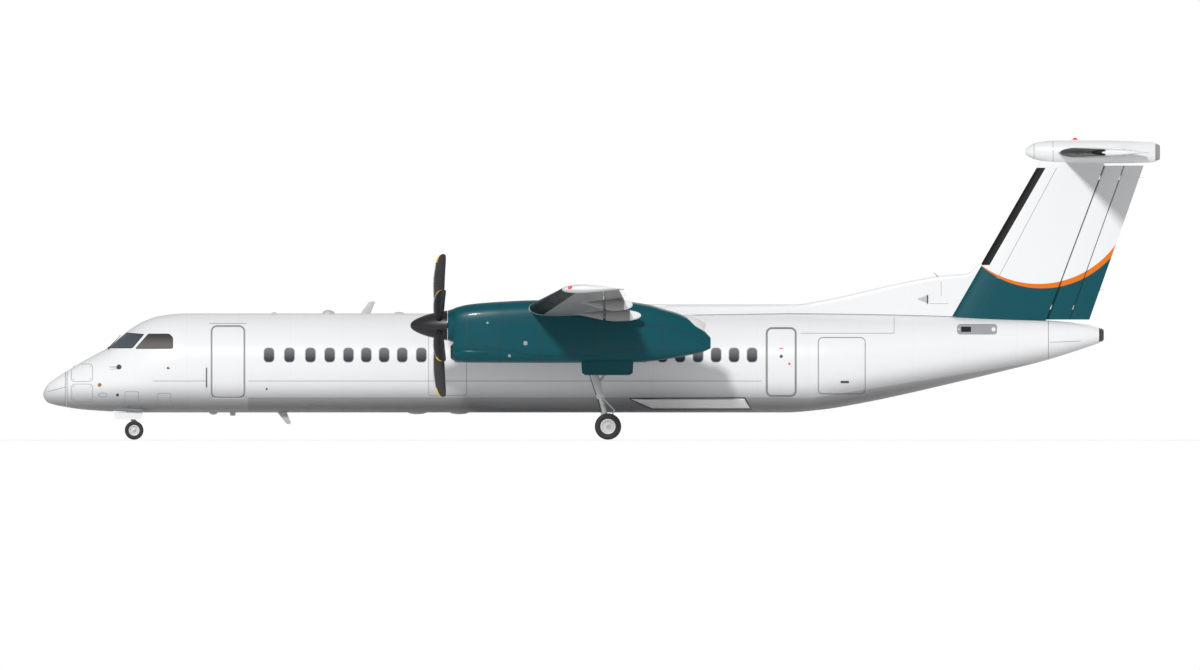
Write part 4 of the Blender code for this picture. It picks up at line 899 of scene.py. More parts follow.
def lamp(name, colour, glow):
    """A coloured lens with a faint glow."""
    made, shader, vector = new_material(name, coat=1.0)
    add_film(made, shader, vector, colour, 0.12, variation=0.05, scale=8.0, bump=0.0)
    shader.inputs["Emission Color"].default_value = (*colour, 1.0)
    shader.inputs["Emission Strength"].default_value = glow
    return made


# Plain finishes: a colour or the name of a sidebar colour, then the other values in the order plain takes
PLAIN_FINISHES = {
    "teal_gloss": ("teal", 0.30, 0.10, 0.7, 90.0, 0.02, 0.08, 0.15),
    "white_gloss": ("white", 0.28, 0.04, 0.8, 90.0, 0.02, 0.3),
    "boot_rubber": ("boot", 0.42, 0.25, 2.0, 60.0, 0.08, 0.0, 0.12),
    "tread_rubber": ((0.030, 0.029, 0.028), 0.78, 0.35, 9.0, 160.0, 0.25),
    "seal_grey": ((0.30, 0.30, 0.305), 0.6, 0.15, 4.0),
    "pane_seal": ((0.035, 0.034, 0.033), 0.5, 0.15, 6.0),
    "window_rim": ((0.42, 0.43, 0.44), 0.4, 0.1, 4.0),
    "seam_grey": ((0.26, 0.26, 0.27), 0.5, 0.2, 3.0),
    "seam_teal": ((0.002, 0.026, 0.033), 0.5, 0.2, 3.0),
    "spinner_black": ((0.020, 0.020, 0.022), 0.34, 0.15, 3.0, 200.0, 0.02, 0.05, 0.35),
    "blade_black": ((0.020, 0.020, 0.022), 0.34, 0.12, 3.0, 300.0, 0.02, 0.15),
    "nozzle_metal": ((0.76, 0.75, 0.73), 0.40, 0.12, 5.0, 90.0, 0.02, 0.0, 0.5, 0.1),
    # Near black: soot in the exhaust pipe, painted shade inside the intakes, inlets and spinners, and the
    # vents' dark middles.
    "soot": ((0.012, 0.011, 0.010), 0.85, 0.4, 5.0),
    "gear_paint": ((0.55, 0.56, 0.57), 0.38, 0.12, 6.0, 150.0),
    "rim_paint": ((0.66, 0.67, 0.68), 0.34, 0.12, 8.0, 150.0),
    "hose_black": ((0.02, 0.02, 0.02), 0.55, 0.2, 20.0),
    "lining": ((0.52, 0.51, 0.49), 0.7, 0.08, 3.0),
    "well_primer": ((0.33, 0.35, 0.27), 0.6, 0.2, 2.0),
    "tread_strip": ((0.05, 0.05, 0.052), 0.8, 0.3, 30.0, 400.0, 0.4),
    "sensor_dark": ((0.06, 0.06, 0.06), 0.4, 0.2, 20.0),
    "vent_grey": ((0.36, 0.36, 0.365), 0.45, 0.15, 5.0),
    "aerial_grey": ((0.50, 0.50, 0.505), 0.4, 0.1, 5.0),
    "tip_yellow": ((0.80, 0.50, 0.03), 0.36, 0.1, 9.0),
    "floor_pale": ((0.93, 0.93, 0.93), 0.85, 0.02, 0.3, 6.0),
    "engine_grey": ((0.20, 0.21, 0.22), 0.5, 0.3, 4.0, 90.0, 0.02, 0.0, 0.5, 0.6),
}
# The other finishes: the function that makes each, and what it is given
MADE_BY = {
    "hull_white": (hull_white,),
    "tail_paint": (tail_paint,),
    "cockpit_glass": (cockpit_glass,),
    "cabin_glass": (cabin_glass,),
    # The undersides' darker grey against the tops' paler one is painted shade.
    "wing_under": (wing_paint, "wing_under", "wing_grey"),
    "wing_top": (wing_paint, "wing_top", (0.74, 0.745, 0.75)),
    "blade_edge": (brushed, "blade_edge", (0.62, 0.62, 0.62), 0.30),
    "steel": (brushed, "steel", (0.60, 0.60, 0.60), 0.28),
    "static_brass": (brushed, "static_brass", (0.55, 0.36, 0.10), 0.35),
    "red_lens": (lamp, "red_lens", (0.75, 0.03, 0.02), 0.35),
    "green_lens": (lamp, "green_lens", (0.03, 0.45, 0.12), 0.3),
    "clear_lens": (lamp, "clear_lens", (0.85, 0.86, 0.84), 0.25),
}
MADE_FINISHES = {}


def finish(name):
    """The named material, made once."""
    if name not in MADE_FINISHES:
        maker, *given = MADE_BY.get(name) or (plain, name, *PLAIN_FINISHES[name])
        MADE_FINISHES[name] = maker(*given)
    return MADE_FINISHES[name]


# Body

def hull_at(station):
    """Top, keel, level of the greatest width and half width of the body at a station."""
    return through(HULL_ROWS, sqrt(max(station, 0.0)))


def hull_ring(station, grow=0.0, sides=None):
    """One body ring: two half ellipses that meet at the greatest width."""
    sides = sides or bpy.context.scene.airliner_sizes.hull_sides
    top, keel_line, level, half = hull_at(station)
    ring = []
    for k in range(sides):
        turn = 2 * pi * k / sides
        rise = top - level if sin(turn) > 0 else level - keel_line
        ring.append(spot(station, level + (rise + grow) * sin(turn), (half + grow) * cos(turn)))
    return ring


def hull_y(station, height, side, grow=0.0):
    """Side position of the body's skin at a station and height."""
    top, keel_line, level, half = hull_at(station)
    rise = (top - level if height > level else level - keel_line) + grow
    return side * (half + grow) * sqrt(max(0.0, 1 - ((height - level) / rise) ** 2))


def on_hull(station, height, side, grow=0.0):
    """A point on the body's side."""
    return spot(station, height, hull_y(station, height, side, grow))


def hull_level(station, height, y):
    """How far outside the body's section a point lies: zero on the skin, below zero inside."""
    top, keel_line, level, half = hull_at(station)
    rise = top - level if height > level else level - keel_line
    return (y / half) ** 2 + ((height - level) / rise) ** 2 - 1


def hull_normal(co):
    """Outward direction of the body's skin near a point, and how far off the skin it is."""
    station, height = co.x - NOSE_X, co.z - KEEL
    step = 0.004
    slope = Vector([
        hull_level(station + a, height + c, co.y + b) - hull_level(station - a, height - c, co.y - b)
        for a, b, c in ((step, 0, 0), (0, step, 0), (0, 0, step))]) / (2 * step)
    here = hull_level(station, height, co.y)
    return slope.normalized(), abs(here) / max(slope.length, 1e-6)


def polish_hull(piece):
    """Give a carved body skin the normals of the smooth form, and its recesses another material."""
    mesh = piece.data
    smooth_normals = {}
    normals = [Vector((0, 0, 0))] * len(mesh.loops)
    for polygon in mesh.polygons:
        direction, off = hull_normal(polygon.center)
        skin = direction.dot(polygon.normal) > 0.93 and off < 0.012
        polygon.material_index = 0 if skin else min(1, len(mesh.materials) - 1)
        for loop_index in polygon.loop_indices:
            vertex = mesh.loops[loop_index].vertex_index
            if skin:
                if vertex not in smooth_normals:
                    smooth_normals[vertex] = hull_normal(mesh.vertices[vertex].co)[0]
                normals[loop_index] = smooth_normals[vertex]
            else:
                normals[loop_index] = polygon.normal.copy()
    mesh.shade_smooth()
    mesh.normals_split_custom_set(normals)
    return piece


def hull_stations(start, end):
    """Ring stations between two ends, closest together where the body curves most."""
    stations = [start]
    while stations[-1] < end - 0.0001:
        here = stations[-1]
        pace = 0.02 + here * 0.09 if here < 0.7 else 0.075 if here < 4.2 else 0.36 if here < 21.5 else 0.15
        stations.append(min(end, here + pace))
    if len(stations) > 2 and end - stations[-2] < 0.012:
        stations.pop(-2)
    return stations


def hull_tube(name, start, end, grow=0.0, materials=("hull_white", "lining"), sides=None):
    """The body between two stations as a closed form."""
    return tube(name, [hull_ring(s, grow, sides) for s in hull_stations(start, end)], list(materials))


def block(name, outline, y_low, y_high):
    """A cutter: a side-view outline extruded across."""
    bm = bmesh.new()
    add_slab(bm, [spot(s, h, y_low) for s, h in outline], (0, y_high - y_low, 0))
    return finished(name, bm, "seal_grey", 0.0)


def door_outline(door, inset):
    """Rounded outline of a door, moved inwards."""
    fore, aft, sill, head = door
    return nested((fore, sill), (aft, head), 0.14, (inset,))[0]


def skin_leaf(name, outline, side, start, end, outer, inner, materials, inner_y=0.02):
    """A piece of the body's shell inside an outline."""
    y_low, y_high = sorted((side * inner_y, side * 1.6))
    leaf = hull_tube(name, start, end, outer, materials)
    carve(leaf, block("outline", outline, y_low, y_high), "INTERSECT")
    carve(leaf, hull_tube("core", start - 0.02, end + 0.02, inner))
    return polish_hull(leaf)


def joined_cutters(parts):
    """One cutter from several that don't touch."""
    bm = bmesh.new()
    for part in parts:
        bm.from_mesh(part.data)
        bpy.data.objects.remove(part, do_unlink=True)
    return finished("cutters", bm, "seal_grey", 0.0, recalc=False)


def dense(outlines, pace=0.06):
    """The same outlines with more points along their long edges, as many in each."""
    first = [Vector(p) for p in outlines[0]]
    counts = [max(1, ceil((b - a).length / pace)) for a, b in zip(first, first[1:] + first[:1])]
    result = []
    for outline in outlines:
        corners = [Vector(p) for p in outline]
        points = []
        for a, b, count in zip(corners, corners[1:] + corners[:1], counts):
            points += [tuple(a.lerp(b, k / count)) for k in range(count)]
        result.append(points)
    return result


def airstair_axis():
    """The airstair's hinge, on its sill just inside the skin."""
    fore, aft, sill, _ = AIRSTAIR
    return spot((fore + aft) / 2, sill + 0.022, hull_y(fore, sill, -1) + 0.022)


def sill_relief():
    """The wedge below the doorway in which the open airstair's outer face lies."""
    fore, aft, sill, _ = AIRSTAIR
    hinge = airstair_axis()
    turn = Matrix.Rotation(radians(AIRSTAIR_OPEN), 3, "X")
    low, high = [on_hull(fore, sill + rise, -1) for rise in (0.0, 0.05)]
    low.x = high.x = hinge.x
    face = (turn @ (high - low)).normalized()
    start = hinge + turn @ (low - hinge) + Vector((0, -face.z, face.y)) * SILL_GAP
    top, foot = start - face * 0.02, start + face * 0.20
    rings = []
    for station in (fore - CLEAR, aft + CLEAR):
        x = NOSE_X + station
        rings.append([Vector((x, y, z)) for y, z in (
            (top.y, top.z), (top.y - 0.40, top.z), (top.y - 0.40, foot.z), (foot.y, foot.z))])
    return tube("relief", rings, "seal_grey", 0.0)


def side_loops(bm, outlines, side, grows, fill=True, materials=(0, 0)):
    """Nested outlines laid on the body's side, joined by faces, with the last one filled."""
    grows = list(grows)
    outlines = dense(outlines)
    if fill:
        last = [Vector(p) for p in outlines[-1]]
        centre = sum(last, Vector((0, 0))) / len(last)
        for share in (0.72, 0.44, 0.18):
            outlines.append([tuple(centre.lerp(p, share)) for p in last])
            grows.append(grows[-1])
    rings = []
    for outline, grow in zip(outlines, grows):
        ring = [on_hull(s, h, side, grow) for s, h in outline]
        rings.append(ring if side < 0 else ring[::-1])
    faces = grow_rings(bm, rings, cap_start=False, cap_end=fill, material=materials[0])
    if fill:
        for face in faces[-3 * len(rings[0]) - 1:]:
            face.material_index = materials[1]
    return faces


def add_disc(bm, station, height, side, radii, grows, material=0):
    """A round button on the body's side."""
    turns = spread(0, 2 * pi * 23 / 24, 23)
    outlines = [[(station + r * cos(t), height + r * sin(t)) for t in turns] for r in radii]
    side_loops(bm, outlines, side, grows, materials=(material, material))


class AIRLINER_OT_body(Operator):
    """Build the nose cone, body and tail cone with their recesses"""

    bl_idname = "airliner.body"
    bl_label = "Body"

    def execute(self, context):
        body = hull_tube("body_skin", RADOME_END, TAIL_CONE_START)
        recess = DOOR_WALL + 0.006
        for _, door, side in FIXED_DOORS:
            start, end = door[0] - 0.3, door[1] + 0.3
            hole = block("hole", door_outline(door, 0.0), *sorted((side * 0.02, side * 1.6)))
            carve(hole, hull_tube("core", start, end, -recess, sides=48))
            carve(body, hole)
        for outline, inner_y in ((FRONT_PANE, CENTRE_POST), (SIDE_PANE, 0.3)):
            for side, _ in SIDES:
                shape = filleted(outline, 0.05)
                hole = block("hole", shape, *sorted((side * inner_y, side * 1.6)))
                carve(hole, hull_tube("core", 1.6, 4.2, -PANE_DEPTH, sides=64))
                carve(body, hole)
        fore, aft, sill, head = AIRSTAIR
        corners = (fore - CLEAR, sill - CLEAR), (aft + CLEAR, head + 0.012)
        tight, wide = rounded(*corners, 0.05), rounded(*corners, 0.14)
        lobby = block("lobby", tight[:7] + wide[7:21] + tight[21:], -1.8, -LOBBY_INNER)
        fore, aft, depth, half = NOSE_WELL
        bm = bmesh.new()
        add_block(bm, spot(fore, -0.3, -half), spot(aft, depth, half))
        well = finished("well", bm, "well_primer", 0.0)
        carve(body, joined_cutters([lobby, well]))
        carve(body, sill_relief())
        seated(polish_hull(body), "airframe", "white_paint", "fuselage")

        cone = hull_tube("nose_cone", 0.0, RADOME_END - 0.004, sides=96)
        seated(polish_hull(cone), "airframe", "white_paint", "radome")
        tail = hull_tube("tail_cone_skin", TAIL_CONE_START + 0.004, LAMP_START)
        seated(polish_hull(tail), "airframe", "white_paint", "tail_cone")
        rings = [hull_ring(LAMP_START + behind, grow, 48) for behind, grow in CAP_STEPS]
        seated(tube("tail_lamp_cap", rings, "sensor_dark", 30.0), "airframe", "bare_metal", "tail_cone")
        return {"FINISHED"}


class AIRLINER_OT_doors(Operator):
    """Build the fixed doors, and the seals round every door"""

    bl_idname = "airliner.doors"
    bl_label = "Doors"

    def execute(self, context):
        seal = context.scene.airliner_sizes.seal_width
        for name, door, side in FIXED_DOORS:
            start, end = door[0] - 0.2, door[1] + 0.2
            leaf = skin_leaf(f"{name}_leaf", door_outline(door, 0.012), side, start, end, 0.001, -DOOR_WALL,
                             ("hull_white", "lining"))
            seated(leaf, "airframe", "white_paint", name)
        bm = bmesh.new()
        for name, door, side in FIXED_DOORS:
            width = seal if name != "baggage_door" else seal * 0.2
            insets = (-width, -width * 0.9, -0.001, 0.001)
            outlines = [door_outline(door, i) for i in insets]
            side_loops(bm, outlines, side, (-0.001, 0.004, 0.004, -0.01), fill=False)
        keep("door_seals", bm, "seal_grey", "airframe", "white_paint", smooth=40.0)
        bm = bmesh.new()
        steps = (-seal, -0.001), (-seal * 0.9, 0.004), (-0.001, 0.004), (0.001, -0.01), (-seal, -0.001)
        outlines = [door_outline(AIRSTAIR, inset) for inset, _ in steps]
        side_loops(bm, outlines, -1, [grow for _, grow in steps], fill=False)
        bmesh.ops.remove_doubles(bm, verts=bm.verts, dist=0.0001)
        ring = finished("airstair_seal", bm, "seal_grey", 40.0)
        carve(ring, sill_relief())
        fore, aft, sill, _ = AIRSTAIR
        corners = (fore - CLEAR, sill - CLEAR), (aft + CLEAR, sill + 0.055)
        carve(ring, block("corners", rounded(*corners, 0.002), -1.8, -0.3))
        seated(shaded(ring, 40.0), "airframe", "white_paint")

        bm = bmesh.new()
        handle_station = (AFT_DOOR[0] + AFT_DOOR[1]) / 2
        for name, door, side in FIXED_DOORS:
            if name == "baggage_door":
                low, high = (23.42, 0.86), (23.68, 0.93)
            else:
                middle = (door[0] + door[1]) / 2
                low, high = (middle - 0.05, 1.60), (middle + 0.05, 1.70)
            outlines = nested(low, high, 0.05, (0, 0.004, 0.012))
            side_loops(bm, outlines, side, (0.0, 0.007, 0.008))
        keep("door_handles", bm, "sensor_dark", "airframe", "bare_metal")
        bm = bmesh.new()
        add_disc(bm, handle_station + 0.24, 1.43, -1, (0.035, 0.031), (0.001, 0.004))
        low, high = (handle_station - 0.055, 1.87), (handle_station + 0.055, 1.90)
        outlines = nested(low, high, 0.01, (0, 0.003), 0)
        side_loops(bm, outlines, -1, (0.001, 0.004))
        # The red marks take the red lens finish, so they have a painted glow though they are no lamps.
        keep("door_markers", bm, "red_lens", "airframe", "white_paint")
        return {"FINISHED"}


class AIRLINER_OT_airstair(Operator):
    """Build the airstair door with its steps, rails and hinge pins"""

    bl_idname = "airliner.airstair"
    bl_label = "Airstair"

    def execute(self, context):
        fore, aft, _, _ = AIRSTAIR
        leaf = skin_leaf("airstair_leaf", door_outline(AIRSTAIR, 0.004), -1, fore - 0.2, aft + 0.2, 0.0,
                         -DOOR_WALL, ("hull_white", "lining"))
        seated(leaf, "airstair", "white_paint", "airstair_door")

        hinge = airstair_axis()
        slope = radians(AIRSTAIR_OPEN)
        tread = Vector((0.0, -cos(slope), sin(slope))) * STEP_DEPTH
        along = STEP_DEPTH / cos(radians(AIRSTAIR_OPEN - 90))
        base = Vector((0.0, hinge.y + 0.045, hinge.z + 0.075))
        outline = []
        for k in range(STEPS):
            foot = base + Vector((0.0, 0.0, along * k))
            outline += [foot, foot + tread]
        top = base + Vector((0.0, 0.0, along * STEPS))
        noses = outline[1::2]
        back = [Vector((0.0, hull_y(fore + 0.3, z - KEEL, -1, -0.05), z)) for z in spread(top.z, base.z, 8)]
        first = outline[0]
        outline += [top, *back]
        bm = bmesh.new()
        half = STAIR_WIDTH / 2
        add_slab(bm, [Vector((hinge.x - half, p.y, p.z)) for p in outline], (2 * half, 0, 0))
        normal = Vector((0.0, tread.z, -tread.y)).normalized()
        for k in range(STEPS):
            foot = base + Vector((0.0, 0.0, along * k))
            strip = [foot + tread * a + normal * 0.001 for a in (0.12, 0.94)]
            strip = [Vector((hinge.x - half + 0.03, p.y, p.z)) for p in strip]
            strip.append(strip[1] + normal * 0.003)
            strip.append(strip[0] + normal * 0.003)
            add_slab(bm, strip, (2 * half - 0.06, 0, 0), material=1)
        for hand in (-1, 1):
            x = hinge.x + hand * (half + 0.012)
            plate = [Vector((x - 0.012, p.y, p.z)) for p in (first, *noses, top, *back)]
            add_slab(bm, plate, (0.024, 0, 0))
        keep("airstair_steps", bm, ["gear_paint", "tread_strip"], "airstair", "white_paint", smooth=20.0)

        bm = bmesh.new()
        for hand in (-1, 1):
            x = hinge.x + hand * (half + 0.03)
            low = Vector((x, hinge.y + 0.10, hinge.z + 0.22))
            high = Vector((x, hinge.y + 0.30, hinge.z + 1.45))
            rail_low = low + Vector((0, 0.20, 0.10))
            for a, b in ((low, rail_low), (rail_low, high), (high, high + Vector((0, -0.19, 0.12)))):
                add_bar(bm, a, b, 0.014, sides=14)
            for joint in (rail_low, high):
                add_ball(bm, joint, 0.0145, 14, 8)
        keep("airstair_rails", bm, "steel", "airstair", "bare_metal")
        bm = bmesh.new()
        for end_station, sign in ((fore, -1), (aft, 1)):
            inner = Vector((NOSE_X + end_station - sign * 0.06, hinge.y, hinge.z))
            outer = Vector((NOSE_X + end_station + sign * 0.045, hinge.y, hinge.z))
            add_bar(bm, inner, outer, 0.018, sides=20, lip=0.002)
        keep("airstair_pins", bm, "steel", "airstair", "bare_metal")
        return {"FINISHED"}


def cabin_stations():
    """Stations of all the cabin windows."""
    first, last, gaps = REAR_WINDOWS
    return [*FORWARD_WINDOWS, *spread(first, last, gaps), *LAST_WINDOWS]


class AIRLINER_OT_windows(Operator):
    """Build the cabin windows with their frames"""

    bl_idname = "airliner.windows"
    bl_label = "Cabin windows"

    def execute(self, context):
        sizes = context.scene.airliner_sizes
        half_w, half_h = sizes.window_width / 2, sizes.window_height / 2
        for side, tag in SIDES:
            bm = bmesh.new()
            for station in cabin_stations():
                low, high = (station - half_w, WINDOW_LEVEL - half_h), (station + half_w,
                                                                        WINDOW_LEVEL + half_h)
                outlines = nested(low, high, 0.105, [-grown for grown, _ in WINDOW_STEPS], steps=5)
                side_loops(bm, outlines, side, [lift for _, lift in WINDOW_STEPS], materials=(0, 1))
            keep(f"cabin_windows_{tag}", bm, ["window_rim", "cabin_glass"], "airframe", "glazing",
                 smooth=20.0)
        return {"FINISHED"}


class AIRLINER_OT_cockpit(Operator):
    """Build the cockpit panes, their seals, and the wipers"""

    bl_idname = "airliner.cockpit"
    bl_label = "Cockpit windows"

    def execute(self, context):
        for label, outline, inner_y in (("windscreen", FRONT_PANE, CENTRE_POST),
                                        ("side_window", SIDE_PANE, 0.3)):
            for side, tag in SIDES:
                clear = filleted(outline, 0.045, 0.018)
                depth = -PANE_DEPTH + 0.001
                pane = skin_leaf(f"{label}_pane_{tag}", clear, side, 1.75, 4.0, -0.002, depth,
                                 ("cockpit_glass", "cockpit_glass"), inner_y + 0.018)
                seated(pane, "airframe", "glazing", f"{label}_{tag}")
                bed = skin_leaf(f"{label}_seal_{tag}", filleted(outline, 0.05, 0.001), side, 1.75, 4.0,
                                -0.008, depth, ("pane_seal", "pane_seal"), inner_y + 0.001)
                carve(bed, block("outline", clear, *sorted((side * (inner_y + 0.018), side * 1.6))))
                seated(shaded(bed), "airframe", "glazing")
        bm = bmesh.new()
        for side, _ in SIDES:
            foot = on_hull(2.02, 1.83, side, 0.02)
            foot.y = side * 0.42
            foot.z = KEEL + 1.905
            foot.x = NOSE_X + 1.93
            tip = Vector((NOSE_X + 2.22, side * 0.20, KEEL + 2.215))
            add_bar(bm, foot, tip, 0.011, 0.007, sides=8)
            add_bar(bm, tip + Vector((-0.06, side * 0.16, -0.065)),
                    tip + Vector((0.05, -side * 0.08, 0.055)), 0.008, sides=8)
            add_bar(bm, foot - Vector((0.02, 0, 0.05)), foot + Vector((0, 0, 0.02)), 0.02, sides=12)
        keep("wipers", bm, "hose_black", "airframe", "bare_metal")
        return {"FINISHED"}


# Lines, bands and small fittings

def add_band(bm, points, width, place, material=0):
    """A thin raised strip along points given as pairs; place(s, h, grow) lays them on a surface."""
    rings = []
    count = len(points)
    for i, (s, h) in enumerate(points):
        before, after = points[max(i - 1, 0)], points[min(i + 1, count - 1)]
        along = Vector((after[0] - before[0], after[1] - before[1])).normalized()
        aside = Vector((-along.y, along.x)) * width / 2
        rings.append([place(s + a * aside.x, h + a * aside.y, g) for a, g in (
            (-1, -0.004), (-1, 0.002), (1, 0.002), (1, -0.004))])
    return grow_rings(bm, rings, material=material)


def layer(place, *fixed, rise=0.0):
    """A surface as add_band takes it, with its side and the like already given."""
    return lambda s, h, grow: place(s, h, *fixed, grow + rise)


def line(a, b, pace=0.05):
    """Points from a to b at about an even pace."""
    count = max(1, int(sqrt((b[0] - a[0]) ** 2 + (b[1] - a[1]) ** 2) / pace))
    return [(a[0] + (b[0] - a[0]) * k / count, a[1] + (b[1] - a[1]) * k / count) for k in range(count + 1)]


def add_outline(bm, outline, width, side, material=0):
    """A thin seam along a closed outline on the body's side."""
    rings = []
    outline = dense([outline])[0]
    count = len(outline)
    for aside, grow in ((-1, -0.003), (-1, 0.002), (1, 0.002), (1, -0.003)):
        ring = []
        for i in range(count):
            before, after = Vector(outline[i - 1]), Vector(outline[(i + 1) % count])
            along = (after - before).normalized()
            here = Vector(outline[i]) + Vector((along.y, -along.x)) * aside * width / 2
            here.y = min(here.y, hull_at(here.x)[0] - 0.05)
            ring.append(on_hull(here.x, here.y, side, grow))
        rings.append(ring)
    return grow_rings(bm, rings, cap_start=False, cap_end=False, material=material)


def add_hoop(bm, ring_at, station, width, material=0):
    """A seam right round a form."""
    rings = [ring_at(station + a * width / 2, g) for a,
             g in ((-1, -0.003), (-1, 0.0016), (1, 0.0016), (1, -0.003))]
    return grow_rings(bm, rings, cap_start=False, cap_end=False, material=material)


def add_bump(bm, start, end, foot, reach, half, material=0):
    """A streamlined blister that stands out from foot by reach, up or down."""
    middle, length = (start + end) / 2, (end - start) / 2
    made = bmesh.ops.create_uvsphere(bm, u_segments=24, v_segments=14, radius=1.0)["verts"]
    for vert in made:
        x, y, z = vert.co
        vert.co = spot(middle + z * length, foot + x * reach, y * half)
    for face in {f for v in made for f in v.link_faces}:
        face.material_index = material
    return made


def add_fin_blade(bm, root, tip, foot, top, thick, material=0):
    """A swept blade aerial from root chord to tip chord."""
    rings = []
    for (fore, aft), height, share in ((root, foot, 1.0), (tip, foot + (top - foot) * 0.93, 0.8),
                                       ((tip[0] + 0.02, tip[1] - 0.03), top, 0.35)):
        ring = []
        for k in range(16):
            turn = 2 * pi * k / 16
            x = (fore + aft) / 2 + (aft - fore) / 2 * cos(turn)
            ring.append(spot(x, height, thick * share * sin(turn)))
        rings.append(ring)
    return grow_rings(bm, rings, material=material)


class AIRLINER_OT_markings(Operator):
    """Lay the seams, access panels and waist lines on the body, and set the probes, ports, rail and vents"""

    bl_idname = "airliner.markings"
    bl_label = "Body seams and panels"

    def execute(self, context):
        width = context.scene.airliner_sizes.seam_width
        bm = bmesh.new()
        for station in (RADOME_END - 0.035, RADOME_END + 0.015, TAIL_CONE_START):
            add_hoop(bm, hull_ring, station, width)
        for side, _ in SIDES:
            lay = layer(on_hull, side)
            for a, b in BODY_SEAMS:
                add_band(bm, line(a, b), width * 0.8, lay)
            for low, high, radius in BODY_PANELS:
                add_outline(bm, rounded(low, high, radius, 4), width * 0.75, side)
            ring = [(1.752 + 0.125 * cos(pi * k / 16), 0.514 + 0.06 * sin(pi * k / 16)) for k in range(32)]
            add_outline(bm, ring, width * 0.8, side)
        keep("body_seams", bm, "seam_grey", "airframe", "white_paint", smooth=40.0)

        bm = bmesh.new()
        for side, _ in SIDES:
            dots = [(*PITOT, 0.075), (2.186, 0.514, 0.045), (*VANE, 0.035), (6.57, 0.69, 0.03)]
            for low, high, _ in BODY_PANELS[:2]:
                for s in (low[0] + 0.07, high[0] - 0.07):
                    dots += [(s, h, 0.012) for h in (low[1] + 0.07, high[1] - 0.07)]
            for s, h, radius in dots:
                radii = (radius, radius - 0.003, radius * 0.55, radius * 0.5)
                add_disc(bm, s, h, side, radii, (-0.001, 0.004, 0.008, 0.006))
            foot = on_hull(*PITOT, side)
            bend = foot + Vector((-0.05, side * 0.075, 0.0))
            add_bar(bm, foot, bend, 0.012, 0.010, sides=12)
            add_bar(bm, bend, bend + Vector((-0.24, side * 0.012, 0.0)), 0.011, 0.006, sides=12)
            add_ball(bm, bend, 0.0115, 12, 8)
            vane = on_hull(*VANE, side)
            add_bar(bm, vane, vane + Vector((0.06, side * 0.05, -0.02)), 0.010, 0.004, sides=10)
        keep("probes", bm, "sensor_dark", "airframe", "bare_metal")

        bm = bmesh.new()
        for side, _ in SIDES:
            add_disc(bm, 1.661, 0.808, side, (0.060, 0.056, 0.02), (-0.001, 0.005, 0.006))
        keep("static_ports", bm, "static_brass", "airframe", "bare_metal")

        bm = bmesh.new()
        rail = [on_hull(4.80, h, -1, 0.035) for h in spread(0.749, 1.307, 6)]
        for a, b in zip(rail, rail[1:]):
            add_bar(bm, a, b, 0.014, sides=12)
        for end in (rail[0], rail[-1]):
            add_bar(bm, end, end + sideways(0.045), 0.012, sides=12)
            add_ball(bm, end, 0.0145, 12, 8)
        keep("door_rail", bm, "sensor_dark", "airframe", "bare_metal")

        bm = bmesh.new()
        for side, _ in SIDES:
            steps = ((0.0, -0.001), (0.004, 0.006), (0.035, 0.008), (0.042, 0.003))
            outlines = nested((26.849, 2.29), (28.024, 2.60), 0.09, [i for i, _ in steps], 0.8)
            side_loops(bm, outlines, side, [g for _, g in steps])
            dark = nested((26.966, 2.365), (27.26, 2.525), 0.02, (0.0, 0.004), 0)
            side_loops(bm, dark, side, (0.001, 0.0055), materials=(1, 1))
            for s, radius in ((26.90, 0.028), (27.92, 0.062)):
                add_disc(bm, s, 2.445, side, (radius, radius - 0.005), (0.001, 0.0055), 2)
        keep("cooling_vents", bm, ["vent_grey", "soot", "white_gloss"], "airframe", "bare_metal", smooth=40.0)
        return {"FINISHED"}


class AIRLINER_OT_aerials(Operator):
    """Set the aerials, blisters and drain masts on the body"""

    bl_idname = "airliner.aerials"
    bl_label = "Aerials and masts"

    def execute(self, context):
        bm = bmesh.new()
        top = 2.90
        add_bump(bm, 6.70, 6.87, top, 0.045, 0.05)
        add_bump(bm, 8.20, 8.57, top, 0.115, 0.11)
        add_bump(bm, 10.30, 10.62, top, 0.055, 0.09)
        add_fin_blade(bm, (9.305, 9.604), (9.56, 9.751), top - 0.02, 3.264, 0.016)
        for start, end, reach in ((4.88, 5.13, -0.075), (10.72, 11.26, -0.062), (11.95, 12.50, -0.062)):
            add_bump(bm, start, end, 0.01, reach, 0.10)
        add_fin_blade(bm, (5.48, 5.66), (5.50, 5.65), 0.03, -0.094, 0.014)
        add_fin_blade(bm, (6.863, 7.148), (7.136, 7.283), 0.03, -0.338, 0.016)
        keep("aerials", bm, "aerial_grey", "airframe", "white_paint")
        bm = bmesh.new()
        for side, _ in SIDES:
            root = spot(26.28, 4.0, side * 0.055)
            add_bar(bm, root, root + Vector((-0.10, side * 0.22, 0.10)), 0.011, 0.007, sides=10)
        keep("whisker_aerial", bm, "sensor_dark", "airframe", "bare_metal")
        return {"FINISHED"}


def saddle_ring(row, low=1.9, steps=28):
    """Section of a fairing that straddles the body."""
    station, half, top = row
    ring = [spot(station, low, half)]
    for k in range(steps + 1):
        turn = pi * k / steps
        lift = abs(sin(turn)) ** 0.6
        across = abs(cos(turn)) ** 0.6 * (1 if cos(turn) > 0 else -1)
        ring.append(spot(station, top - 0.22 + 0.22 * lift, half * across))
    ring.append(spot(station, low, -half))
    return ring


def on_dorsal(station, height, side, grow):
    """A point on the dorsal fin's flank."""
    return spot(station, height, side * (through(DORSAL, station)[0] + grow))


